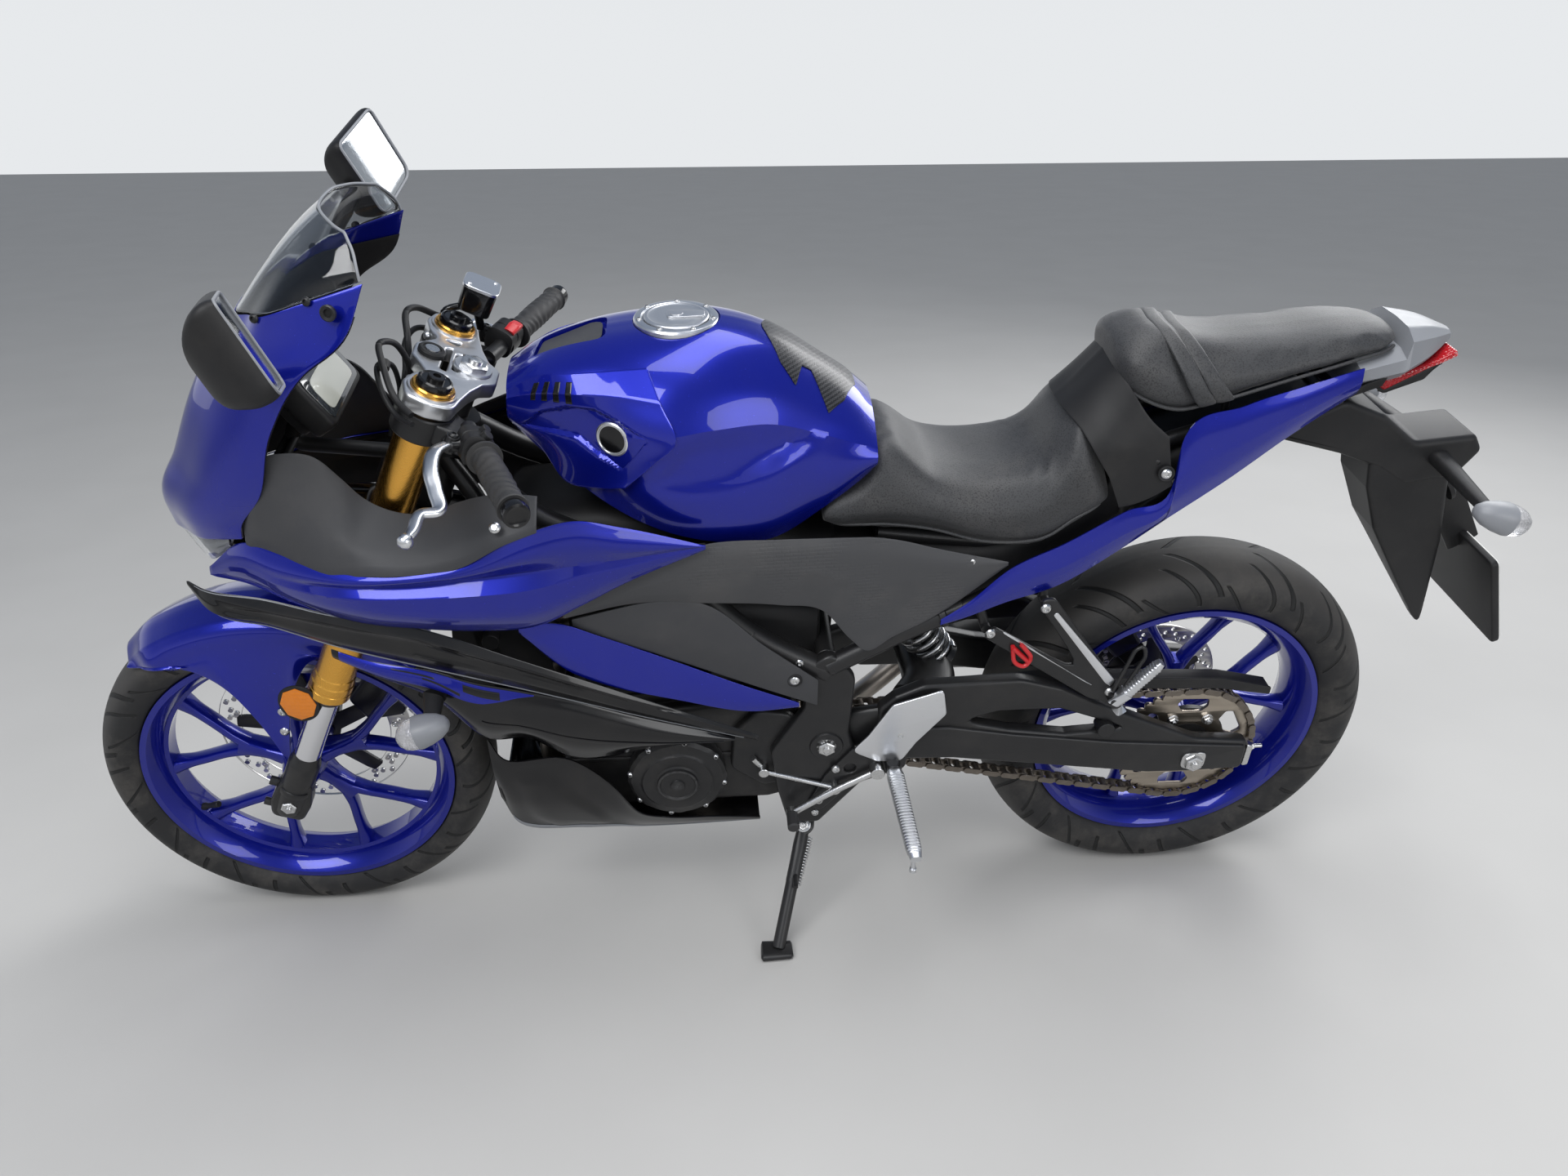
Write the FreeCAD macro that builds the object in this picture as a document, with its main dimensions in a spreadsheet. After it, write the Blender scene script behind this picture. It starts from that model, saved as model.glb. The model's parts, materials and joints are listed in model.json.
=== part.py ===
import FreeCAD, Part
import math
import os
import Sketcher
from FreeCAD import Placement, Rotation, Vector

# A sport bike parked on its side stand, leaning to its left.
# Bike frame, in which everything is drawn: X forward, Y to the rider's left, Z up, bike upright,
# origin on the ground half way between the wheel axles. Stance turns and lowers it onto the floor.

# Driving sizes: millimetres, degrees or numbers of pieces.
SIZES = dict(
    # chassis
    wheelbase=1380.0,
    lean_angle=11.0,
    rake_angle=25.0,
    fork_offset=37.7,
    swingarm_length=577.0,
    pivot_height=380.0,
    running_gap=0.3,
    seam_gap=0.6,
    seat_gap=0.4,
    # front wheel
    front_tyre_radius=292.0,
    front_tyre_width=110.0,
    front_rim_width=92.0,
    front_disc_radius=149.0,
    front_disc_inset=62.0,
    # rear wheel
    rear_tyre_radius=312.0,
    rear_tyre_width=140.0,
    rear_rim_width=118.0,
    rear_disc_radius=110.0,
    rear_disc_inset=74.0,
    # both wheels
    rim_radius=231.0,
    rim_well_depth=28.0,
    flange_thickness=9.0,
    spoke_count=5,
    spoke_thickness=30.0,
    spoke_spread=15.0,
    hub_radius=31.0,
    disc_thickness=4.5,
    disc_band=34.0,
    disc_hole_count=15,
    axle_radius=8.0,
    axle_bore_radius=4.0,
    # chain drive
    chain_pitch=15.875,
    sprocket_teeth=43,
    sprocket_thickness=6.0,
    drive_teeth=14,
    chain_line=88.0,
    chain_width=15.0,
    drive_ahead_of_pivot=77.0,
    # fork
    fork_spacing=188.0,
    stanchion_radius=18.5,
    fork_tube_radius=27.0,
    fork_clamp_radius=23.5,
    lower_clamp_height=488.0,
    clamp_thickness=34.0,
    upper_clamp_height=712.0,
    upper_clamp_thickness=20.0,
    tube_start_height=222.0,
    stem_radius=15.0,
    stem_bore_radius=8.0,
    stem_bore_depth=60.0,
    head_tube_radius=30.0,
    # handlebars
    bar_radius=11.0,
    grip_radius=16.5,
    grip_length=125.0,
    # frame
    main_tube_radius=17.0,
    rail_radius=12.5,
    plate_inner=112.0,
    plate_thickness=20.0,
    pivot_bolt_radius=10.0,
    # panels
    panel_thickness=3.0,
    screen_thickness=3.0,
    tank_cap_radius=42.0,
    # side stand
    stand_pivot_x=-86.0,
    stand_pivot_y=108.0,
    stand_pivot_z=188.0,
    stand_foot_x=-35.0,
    stand_foot_y=255.0,
    stand_leg_radius=9.0,
    stand_foot_radius=22.0,
    stand_foot_thickness=7.0,
)

doc = FreeCAD.newDocument("SportBike")
sheet = doc.addObject("Spreadsheet::Sheet", "Sizes")
for row, (alias, value) in enumerate(SIZES.items(), start=1):
    sheet.set(f"A{row}", alias)
    sheet.set(f"B{row}", str(value))
    sheet.setAlias(f"B{row}", alias)
doc.recompute()


class Size:
    """Reads a driving size from the sheet by its name."""

    def __getattr__(self, alias):
        return float(sheet.get(alias))


size = Size()
nodes = {}
X_AXIS, Y_AXIS, Z_AXIS = Vector(1, 0, 0), Vector(0, 1, 0), Vector(0, 0, 1)
HERE = Placement()

# Chassis points, from which every sub-part takes its place.
rear_axle = Vector(-size.wheelbase / 2, 0, size.rear_tyre_radius)
front_axle = Vector(size.wheelbase / 2, 0, size.front_tyre_radius)
pivot_reach = math.sqrt(size.swingarm_length ** 2 - (size.pivot_height - rear_axle.z) ** 2)
pivot = Vector(rear_axle.x + pivot_reach, 0, size.pivot_height)
steering_turn = Rotation(Y_AXIS, -size.rake_angle)
fork_frame = Placement(front_axle - steering_turn.multVec(Vector(size.fork_offset, 0, 0)), steering_turn)
head = fork_frame.multVec(Vector(0, 0, size.lower_clamp_height))
leg_y = size.fork_spacing / 2

# The body tables are drawn on a chassis whose pivot and head are here.
DRAWN_PIVOT = Vector(-116.9, 0, 380.0)
DRAWN_HEAD = Vector(449.6, 0, 718.4)


def carried(x):
    """X and lift of a drawn station: it keeps its place from the pivot behind it, from the head ahead of it."""
    share = min(max((x - DRAWN_PIVOT.x) / (DRAWN_HEAD.x - DRAWN_PIVOT.x), 0.0), 1.0)
    shift = (pivot - DRAWN_PIVOT) * (1 - share) + (head - DRAWN_HEAD) * share
    return x + shift.x, shift.z


def at(x, y, z):
    """A drawn point, carried along with the chassis."""
    new_x, lift = carried(x)
    return Vector(new_x, y, z + lift)


def outline(corners, closed=True):
    """Lines through (u, v) corners; a third number rounds that corner with an arc."""
    points = [Vector(corner[0], corner[1], 0) for corner in corners]
    radii = [corner[2] if len(corner) > 2 else 0.0 for corner in corners]
    count = len(points)
    geometry = []
    ends = []
    for i, point in enumerate(points):
        before, after = points[i - 1] - point, points[(i + 1) % count] - point
        is_end = not closed and i in (0, count - 1)
        if radii[i] <= 0 or is_end:
            ends.append((point, None, point))
            continue
        half_angle = before.getAngle(after) / 2
        run = min(radii[i] / math.tan(half_angle), 0.49 * before.Length, 0.49 * after.Length)
        radius = run * math.tan(half_angle)
        middle = (before.normalize() + after.normalize()).normalize()
        crown = point + middle * (radius / math.sin(half_angle) - radius)
        ends.append((point + before * run, crown, point + after * run))
    for i, (start, crown, end) in enumerate(ends):
        if crown is not None:
            geometry.append(Part.ArcOfCircle(start, crown, end))
        if closed or i < count - 1:
            geometry.append(Part.LineSegment(end, ends[(i + 1) % count][0]))
    return geometry


def ring(u, v, radius):
    """A circle as an outline of its own."""
    return [Part.Circle(Vector(u, v, 0), Z_AXIS, radius)]


def new_body(label):
    body = doc.addObject("PartDesign::Body", label)
    body.Label = label
    return body


def origin_feature(body, role):
    return next(feature for feature in body.Origin.OriginFeatures if feature.Role == role)


def new_sketch(body, role, outlines, offset=0.0):
    """Sketch of closed outlines on an origin plane, moved by offset along the axis that the plane faces."""
    sketch = body.newObject("Sketcher::SketchObject", "Sketch")
    sketch.AttachmentSupport = (origin_feature(body, role), [""])
    sketch.MapMode = "FlatFace"
    facing = -1 if role == "XZ_Plane" else 1
    sketch.AttachmentOffset = Placement(Vector(0, 0, facing * offset), Rotation())
    for closed_outline in outlines:
        for edge in closed_outline:
            sketch.addGeometry(edge)
    sketch.Visibility = False
    return sketch


def plate(body, role, outlines, thickness, offset=0.0):
    """Pad of the outlines, as thick as the expression says, half to each side of offset."""
    pad = body.newObject("PartDesign::Pad", "Pad")
    pad.Profile = new_sketch(body, role, outlines, offset)
    pad.SideType = "Symmetric"
    pad.setExpression("Length", thickness)
    return pad


def pocket(body, role, outlines, depth, offset=0.0):
    """Pocket of the outlines, as deep as the expression says, half to each side of offset."""
    cut = body.newObject("PartDesign::Pocket", "Pocket")
    cut.Profile = new_sketch(body, role, outlines, offset)
    cut.SideType = "Symmetric"
    cut.setExpression("Length", depth)
    return cut


def turned(body, corners, role="YZ_Plane", axis="H_Axis"):
    """Revolution of an outline: about the wheel axle on YZ, about Z with V_Axis on XZ."""
    turn = body.newObject("PartDesign::Revolution", "Turn")
    sketch = new_sketch(body, role, [outline(corners)])
    turn.Profile = sketch
    turn.ReferenceAxis = (sketch, [axis])
    turn.Angle = 360
    return turn


def around(body, features, count, role="Y_Axis"):
    """Repeats features around one of the body's axes."""
    pattern = body.newObject("PartDesign::PolarPattern", "Pattern")
    pattern.Originals = features
    pattern.Axis = (origin_feature(body, role), [""])
    pattern.Angle = 360
    pattern.setExpression("Occurrences", count)
    body.Tip = pattern
    return pattern


def lofted(label, sections):
    """Body with straight-ruled skin through (x, corners) sections across the bike."""
    body = new_body(label)
    sketches = [new_sketch(body, "YZ_Plane", [outline(corners)], x) for x, corners in sections]
    loft = body.newObject("PartDesign::AdditiveLoft", "Loft")
    loft.Profile = sketches[0]
    loft.Sections = sketches[1:]
    loft.Ruled = True
    return body


def keep(node, frame=HERE):
    """Registers a node and the frame in which it was drawn."""
    nodes[node.Label] = (node, frame)
    return node


def keep_shape(label, shape, frame=HERE):
    """Registers a node made from a plain shape."""
    node = doc.addObject("Part::Feature", label)
    node.Label = label
    node.Shape = shape.removeSplitter()
    return keep(node, frame)


def keep_pair(label, left):
    """Registers a left piece and its mirror image on the right as one node."""
    left.Label = label + " left"
    right = doc.addObject("Part::Mirroring", label + "_right")
    right.Source = left
    right.Normal = Y_AXIS
    both = doc.addObject("Part::Compound", label)
    both.Label = label
    both.Links = [left, right]
    return keep(both)


def pair_shape(label, left_shape):
    """Registers a plain left shape and its mirror image as one node."""
    left = doc.addObject("Part::Feature", label + "_left")
    left.Shape = left_shape.removeSplitter()
    return keep_pair(label, left)


def both_sides(shape):
    """A shape with its mirror image on the other side of the bike."""
    return shape.fuse(shape.mirror(Vector(), Y_AXIS))


def hull_rows(rows):
    """Sections of a piece across the bike: x, then z and half width at bottom, middle, shoulder and top."""
    sections = []
    for x, *levels in rows:
        new_x, lift = carried(x)
        left = [(levels[i + 1], levels[i] + lift) for i in range(0, len(levels), 2)]
        right = [(-y, z) for y, z in reversed(left)]
        sections.append((new_x, left + right))
    return sections


def skin_rows(rows, inward=(-1.0, 0.0)):
    """Sections of a left panel: x, then z and y at top, middle and bottom; its inner face lies inward."""
    sections = []
    for x, *levels in rows:
        new_x, lift = carried(x)
        outer = [(levels[i + 1], levels[i] + lift) for i in range(0, len(levels), 2)]
        inner = [
            (y + inward[0] * size.panel_thickness, z + inward[1] * size.panel_thickness)
            for y, z in reversed(outer)
        ]
        sections.append((new_x, outer + inner))
    return sections


def slab(corners, low, high):
    """Side-view outline in (x, z), extruded from y = low to y = high."""
    wire = Part.Wire(Part.__sortEdges__([edge.toShape() for edge in outline(corners)]))
    face = Part.Face(wire)
    face.rotate(Vector(), X_AXIS, 90)
    face.translate(Vector(0, low, 0))
    return face.extrude(Vector(0, high - low, 0))


def drawn(corners):
    """Side-view corners, carried along with the chassis."""
    moved = []
    for x, z, *rounding in corners:
        new_x, lift = carried(x)
        moved.append((new_x, z + lift, *rounding))
    return moved


def rod(start, end, radius):
    """Round bar between two points."""
    return Part.makeCylinder(radius, (end - start).Length, start, end - start)


def bent_tube(points, radius, bend):
    """Round tube along straight runs joined by tangent arcs."""
    pieces = []
    last = points[0]
    for before, corner, after in zip(points, points[1:], points[2:]):
        back, ahead = (before - corner), (after - corner)
        half_angle = back.getAngle(ahead) / 2
        run = min(bend / math.tan(half_angle), 0.45 * back.Length, 0.45 * ahead.Length)
        bend_radius = run * math.tan(half_angle)
        back.normalize()
        ahead.normalize()
        start, end = corner + back * run, corner + ahead * run
        centre = corner + (back + ahead).normalize() * (bend_radius / math.sin(half_angle))
        section = Part.Face(Part.Wire(Part.Circle(start, back, radius).toShape()))
        pieces.append(rod(last, start, radius))
        pieces.append(section.revolve(centre, (start - centre).cross(end - centre), 180 - 2 * math.degrees(half_angle)))
        last = end
    return fused([*pieces, rod(last, points[-1], radius)])


def fused(shapes):
    return shapes[0].multiFuse(shapes[1:])


def wheel(label, rim_width, hub_half_length, disc_inset, frame):
    """Cast wheel: hub, forked spokes and rim, turned about the axle along Y."""
    half = rim_width / 2
    flange, well = size.rim_radius, size.rim_radius - size.rim_well_depth
    seat = flange - 12
    wall = 7
    body = new_body(label)
    bore = size.axle_radius + size.running_gap
    disc_seat = disc_inset - size.disc_thickness / 2 - size.running_gap
    turned(body, [
        (-disc_seat, bore), (-disc_seat, size.hub_radius - 8), (-hub_half_length + 14, size.hub_radius),
        (hub_half_length - 14, size.hub_radius), (hub_half_length, size.hub_radius - 8), (hub_half_length, bore),
    ])
    near, far = size.spoke_spread - 2.6, size.spoke_spread + 2.8
    reach = well - 2

    def arm(angle):
        return reach * math.sin(math.radians(angle)), reach * math.cos(math.radians(angle))

    right_side = [(14, 22), (12, 84, 30), arm(far), arm(near), (0, 112, 8)]
    left_side = [(-u, *rest) for u, *rest in reversed(right_side[:-1])]
    spoke = plate(body, "XZ_Plane", [outline(right_side + left_side)], "Sizes.spoke_thickness")
    around(body, [spoke], "Sizes.spoke_count")
    turned(body, [
        (-half, flange), (-half + 6, flange), (-half + 9, seat), (-half + 24, seat - 2), (-14, well), (14, well),
        (half - 24, seat - 2), (half - 9, seat), (half - 6, flange), (half, flange),
        (half, flange - 9), (half - 14, seat - wall - 4), (16, well - wall), (-16, well - wall),
        (-half + 14, seat - wall - 4), (-half, flange - 9),
    ])
    return keep(body, frame)


def tyre(label, tyre_radius, tyre_width, rim_width, frame):
    """Tyre of few flat bands, seated on the rim's two bead seats and over its flanges."""
    half = rim_width / 2
    bead = half - size.flange_thickness - size.running_gap
    seat = size.rim_radius - 12 + size.running_gap
    shoulder = size.rim_radius + 1 + size.running_gap
    crown = tyre_width / 2
    drop = tyre_radius - size.rim_radius
    left = [
        (bead, seat), (bead, shoulder), (0.97 * crown, size.rim_radius + 0.22 * drop),
        (0.95 * crown, tyre_radius - 0.52 * drop), (0.74 * crown, tyre_radius - 0.24 * drop),
        (0.42 * crown, tyre_radius - 0.07 * drop), (0.12 * crown, tyre_radius),
    ]
    right = [(-y, radius) for y, radius in reversed(left)]
    body = new_body(label)
    turned(body, left + right)
    keep(body, frame)
    return left


def brake_disc(label, disc_radius, middle, hub_outer, frame):
    """Drilled brake ring on a five-armed carrier."""
    body = new_body(label)
    inner = disc_radius - size.disc_band
    bolt_circle = hub_outer - 6
    plate(body, "XZ_Plane", [ring(0, 0, disc_radius), ring(0, 0, inner)], "Sizes.disc_thickness", middle)
    arm = plate(body, "XZ_Plane", [outline([(-9, bolt_circle - 4), (-7, inner + 4), (7, inner + 4),
                                            (9, bolt_circle - 4)])], "Sizes.disc_thickness", middle)
    around(body, [arm], "Sizes.spoke_count")
    plate(body, "XZ_Plane", [ring(0, 0, hub_outer), ring(0, 0, size.axle_radius + 8)], "Sizes.disc_thickness", middle)
    hole_radius = 4.0
    rows = [(0.25, 0.0), (0.55, 8.0), (0.80, 16.0)]
    holes = []
    for share, turn in rows:
        radius = inner + share * size.disc_band
        u, v = radius * math.sin(math.radians(turn)), radius * math.cos(math.radians(turn))
        holes.append(pocket(body, "XZ_Plane", [ring(u, v, hole_radius)], "Sizes.disc_thickness * 2", middle))
    around(body, holes, "Sizes.disc_hole_count")
    return keep(body, frame)


front_wheel_frame = Placement(front_axle, Rotation())
rear_wheel_frame = Placement(rear_axle, Rotation())
front_hub_half = 52.0
rear_hub_half = 62.0
wheel("front_rim", size.front_rim_width, front_hub_half, size.front_disc_inset, front_wheel_frame)
wheel("rear_rim", size.rear_rim_width, rear_hub_half, size.rear_disc_inset, rear_wheel_frame)
front_profile = tyre("front_tyre", size.front_tyre_radius, size.front_tyre_width, size.front_rim_width,
                     front_wheel_frame)
rear_profile = tyre("rear_tyre", size.rear_tyre_radius, size.rear_tyre_width, size.rear_rim_width,
                    rear_wheel_frame)
brake_disc("front_disc", size.front_disc_radius, -size.front_disc_inset, 34.0, front_wheel_frame)
brake_disc("rear_disc", size.rear_disc_radius, -size.rear_disc_inset, 34.0, rear_wheel_frame)


def pitch_radius(teeth):
    return size.chain_pitch / (2 * math.sin(math.pi / teeth))


def rear_sprocket():
    """Toothed ring on a carrier that reaches out from the hub to the chain line."""
    body = new_body("rear_sprocket")
    teeth = int(size.sprocket_teeth)
    root = pitch_radius(teeth) - 6.0
    tip = pitch_radius(teeth) + 2.5
    corners = []
    for tooth in range(teeth):
        for share, radius in ((-0.30, root), (-0.09, tip), (0.09, tip), (0.30, root)):
            angle = 2 * math.pi * (tooth + share) / teeth
            corners.append((radius * math.sin(angle), radius * math.cos(angle)))
    inner = root - 18
    plate(body, "XZ_Plane", [outline(corners), ring(0, 0, inner)], "Sizes.sprocket_thickness", size.chain_line)
    arm = plate(body, "XZ_Plane", [outline([(-10, 48), (-7, inner + 3), (7, inner + 3), (10, 48)])],
                "Sizes.sprocket_thickness", size.chain_line)
    around(body, [arm], "Sizes.spoke_count")
    hub_face = rear_hub_half + size.running_gap
    turned(body, [
        (hub_face, size.axle_radius + 6), (hub_face, 40), (size.chain_line - 6, 54),
        (size.chain_line + 2.5, 54), (size.chain_line + 2.5, 40), (size.chain_line - 2, size.axle_radius + 6),
    ])
    return keep(body, rear_wheel_frame)


def chain_loop():
    """One closed chain round both sprockets: straight runs joined by arcs, wide at each outer link."""
    drive = Vector(pivot.x + size.drive_ahead_of_pivot, 0, pivot.z + 5)
    big, small = pitch_radius(size.sprocket_teeth), pitch_radius(size.drive_teeth)
    between = drive - rear_axle
    rise = math.atan2(between.z, between.x)
    spread = math.acos((big - small) / between.Length)
    run = math.sqrt(between.Length ** 2 - (big - small) ** 2)
    around_rear, around_drive = 2 * math.pi - 2 * spread, 2 * spread
    length = 2 * run + big * around_rear + small * around_drive
    links = 2 * round(length / size.chain_pitch / 2)
    step = length / links

    def on_loop(along):
        """Place and outward direction at a distance along the loop, from the top of the rear sprocket."""
        along = along % length
        if along < run:
            angle = rise + spread
            centre, radius, forward = rear_axle, big, along
        elif along < run + small * around_drive:
            angle = rise + spread - (along - run) / small
            centre, radius, forward = drive, small, 0.0
        elif along < 2 * run + small * around_drive:
            angle = rise - spread
            centre, radius, forward = drive, small, along - run - small * around_drive
        else:
            angle = rise - spread - (along - 2 * run - small * around_drive) / big
            centre, radius, forward = rear_axle, big, 0.0
        outward = Vector(math.cos(angle), 0, math.sin(angle))
        ahead = Vector(outward.z, 0, -outward.x)
        return centre + outward * radius + ahead * forward, outward

    wide, narrow = 7.4, 5.2
    outer, inner = [], []
    for link in range(links // 2):
        for share, half_height in ((0.12, wide), (0.88, wide), (1.5, narrow)):
            place, outward = on_loop((2 * link + share) * step)
            outer.append(place + outward * half_height)
            inner.append(place - outward * half_height)
    faces = [Part.Face(Part.makePolygon(points + points[:1])) for points in (outer, inner)]
    half_width = Vector(0, size.chain_width / 2, 0)
    middle = Vector(0, size.chain_line, 0)
    solids = [face.translated(middle - half_width).extrude(half_width * 2) for face in faces]
    groove_half = Vector(0, size.sprocket_thickness / 2 + 1.0, 0)
    loop = solids[0].cut(solids[1])
    shrunk = Part.Face(Part.makePolygon([on_loop(step * i)[0] - on_loop(step * i)[1] * -3.6
                                         for i in list(range(links)) + [0]]))
    slot = shrunk.translated(middle - groove_half).extrude(groove_half * 2)
    return loop.cut(slot), drive


rear_sprocket()
chain_shape, drive_centre = chain_loop()
keep_shape("chain", chain_shape)


# Bodywork tables, drawn in the bike frame.
# Whole pieces: x, then z and half width at the bottom, middle, shoulder and top.
TANK = [
    (300, 880, 36, 905, 50, 930, 52, 942, 36),
    (270, 858, 56, 905, 66, 945, 64, 962, 42),
    (200, 808, 98, 890, 101, 955, 90, 988, 52),
    (118, 772, 132, 885, 150, 962, 108, 1000, 58),
    (44, 748, 130, 870, 147, 955, 104, 1003, 50),
    (-30, 742, 116, 855, 132, 930, 95, 985, 42),
    (-98, 778, 100, 840, 112, 890, 85, 945, 36),
    (-168, 832, 92, 850, 103, 868, 84, 892, 34),
]
RIDER_SEAT = [
    (-100, 742, 74, 758, 106, 768, 106, 772, 74),
    (-150, 735, 80, 765, 113, 798, 104, 804, 60),
    (-170, 733, 80, 785, 113, 812, 98, 820, 55),
    (-176, 731, 80, 790, 113, 838, 92, 850, 50),
    (-250, 722, 85, 768, 118, 795, 96, 802, 50),
    (-340, 704, 95, 756, 122, 780, 100, 789, 50),
    (-400, 704, 95, 765, 120, 802, 98, 814, 50),
    (-440, 728, 90, 800, 114, 862, 88, 882, 46),
    (-484, 768, 84, 778, 106, 788, 84, 800, 44),
]
PASSENGER_SEAT = [
    (-443, 930, 56, 942, 78, 962, 72, 975, 45),
    (-480, 905, 70, 935, 88, 965, 76, 980, 45),
    (-545, 888, 75, 920, 94, 955, 80, 973, 45),
    (-600, 902, 75, 925, 92, 948, 80, 963, 45),
    (-700, 932, 70, 942, 88, 955, 78, 964, 45),
    (-798, 954, 56, 960, 74, 967, 64, 973, 42),
    (-866, 962, 30, 964, 45, 967, 42, 970, 28),
]
TAIL_TOP = [
    (-801, 904, 54, 926, 77, 942, 77, 950, 50),
    (-868, 918, 50, 934, 66, 950, 62, 958, 40),
    (-873, 920, 50, 938, 66, 974, 56, 985, 38),
    (-947, 955, 14, 959, 18, 964, 16, 967, 10),
]
# Panels of the left side, mirrored for the right: x, then z and y at the top, middle and bottom.
SIDE_FAIRING = [
    (704, 712, 92, 702, 96, 694, 88),
    (640, 766, 122, 735, 138, 704, 128),
    (591, 766, 150, 728, 166, 692, 150),
    (493, 762, 190, 722, 202, 674, 180),
    (432, 766, 200, 722, 209, 667, 185),
    (361, 778, 205, 728, 211, 662, 188),
    (268, 822, 201, 750, 208, 668, 187),
    (219, 830, 191, 766, 200, 691, 182),
    (162, 806, 180, 768, 188, 719, 176),
    (58, 764, 163, 761, 164, 757, 162),
]
AIR_FIN = [
    (726, 708, 118, 704, 119, 700, 117),
    (696, 706, 138, 686, 146, 668, 134),
    (624, 698, 150, 676, 160, 651, 148),
    (544, 682, 166, 658, 174, 626, 163),
    (430, 660, 176, 634, 184, 590, 172),
    (305, 601, 178, 582, 184, 545, 172),
    (137, 511, 168, 498, 173, 475, 163),
    (-10, 424, 149, 419, 152, 412, 148),
]
LOWER_FAIRING = [
    (552, 622, 162, 615, 164, 606, 161),
    (510, 606, 167, 596, 172, 582, 166),
    (431, 587, 172, 562, 180, 534, 168),
    (366, 560, 172, 510, 184, 454, 165),
    (318, 546, 172, 500, 184, 448, 160),
    (259, 526, 171, 490, 180, 404, 156),
    (137, 471, 162, 445, 172, 410, 150),
    (24, 425, 150, 422, 156, 418, 148),
]
# Front cover on the tank's left flank: x, then places up the tank's side, 0 at its bottom row, 1 at its middle.
TANK_COVER = [
    (296, 2.4, 2.0, 1.0, 0.4),
    (270, 2.4, 2.0, 1.0, 0.4),
    (200, 2.4, 2.0, 1.0, 0.4),
    (160, 2.4, 2.0, 1.0, 0.72),
    (118, 2.4, 2.0, 1.02, 1.0),
    (94, 2.1, 2.0, 1.6, 1.5),
]
SIDE_STRIP = [
    (306, 655, 168, 648, 169, 640, 168),
    (247, 648, 165, 610, 168, 574, 170),
    (204, 624, 160, 575, 164, 548, 168),
    (100, 566, 152, 530, 156, 505, 160),
    (0, 510, 146, 490, 149, 470, 150),
    (-70, 474, 141, 470, 142, 466, 141),
]
MID_PANEL = [
    (237, 650, 157, 645, 157, 640, 157),
    (176, 664, 155, 640, 158, 606, 154),
    (139, 671, 154, 635, 158, 588, 152),
    (64, 663, 150, 610, 154, 549, 148),
    (-20, 584, 147, 548, 149, 506, 145),
    (-96, 515, 142, 492, 143, 468, 141),
]
FRAME_COVER = [
    (246, 668, 166, 664, 166, 659, 165),
    (147, 728, 156, 700, 160, 672, 155),
    (62, 756, 150, 715, 154, 664, 150),
    (-40, 755, 142, 715, 146, 650, 142),
    (-100, 752, 138, 700, 142, 634, 138),
    (-140, 750, 136, 670, 140, 582, 136),
    (-163, 748, 134, 655, 139, 560, 135),
    (-200, 740, 131, 665, 136, 581, 133),
    (-253, 722, 127, 668, 132, 608, 129),
    (-354, 692, 120, 689, 121, 686, 120),
]
TAIL_SIDE = [
    (-266, 607, 132, 602, 132, 597, 132),
    (-300, 632, 131, 620, 132, 608, 131),
    (-356, 683, 126, 656, 128, 627, 125),
    (-428, 717, 120, 682, 123, 647, 118),
    (-508, 765, 117, 733, 121, 700, 114),
    (-562, 790, 114, 766, 119, 742, 111),
    (-569, 868, 106, 808, 116, 747, 110),
    (-646, 908, 99, 856, 107, 801, 101),
    (-720, 930, 93, 895, 99, 860, 93),
    (-799, 950, 85, 932, 88, 914, 83),
]
SEAT_COVER = [
    (-392, 932, 84, 928, 85, 924, 84),
    (-432, 970, 90, 935, 98, 894, 98),
    (-462, 950, 96, 900, 105, 852, 106),
    (-486, 912, 102, 860, 110, 806, 112),
    (-520, 893, 104, 835, 112, 776, 114),
    (-561, 862, 106, 830, 112, 796, 113),
]
COCKPIT_PANEL = [
    (632, 786, 117, 780, 122, 774, 128),
    (595, 838, 137, 800, 146, 768, 150),
    (523, 842, 126, 805, 160, 768, 184),
    (438, 808, 138, 792, 168, 772, 200),
    (361, 830, 138, 808, 178, 784, 206),
    (300, 842, 150, 828, 182, 812, 203),
    (262, 842, 158, 832, 178, 822, 196),
]


def on_hull(rows, x, place):
    """Height and half width of a whole piece at a station, at a place up its side."""
    before, after = next(pair for pair in zip(rows, rows[1:]) if pair[1][0] <= x <= pair[0][0])
    share = (before[0] - x) / (before[0] - after[0])
    levels = [low + (high - low) * share for low, high in zip(before[1:], after[1:])]
    row = min(int(place), len(levels) // 2 - 2)
    rise = place - row
    z, y, next_z, next_y = levels[2 * row:2 * row + 4]
    return z + (next_z - z) * rise, y + (next_y - y) * rise


def cover_rows(rows, places):
    """Panel stations that lie on the flank of a whole piece, a seam apart."""
    outward = size.panel_thickness + size.seam_gap
    panel = []
    for x, *row in places:
        points = [on_hull(rows, x, place) for place in row]
        panel.append((x, *[value for z, y in points for value in (z, y + outward)]))
    return panel


def stud(root, seat, radius=5.0):
    """Stay that ends in a ball at its seat."""
    return fused([rod(root, seat, radius), Part.makeSphere(radius, seat)])


def seat_below(rows, x, y, radius=5.0):
    """Centre of a ball that carries a whole piece from below."""
    height, ahead, behind = (on_hull(rows, x + step, 0)[0] for step in (0, 3, -3))
    slope = (ahead - behind) / 6
    return at(x, y, height - (radius + size.seat_gap) * math.sqrt(1 + slope ** 2))


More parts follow.
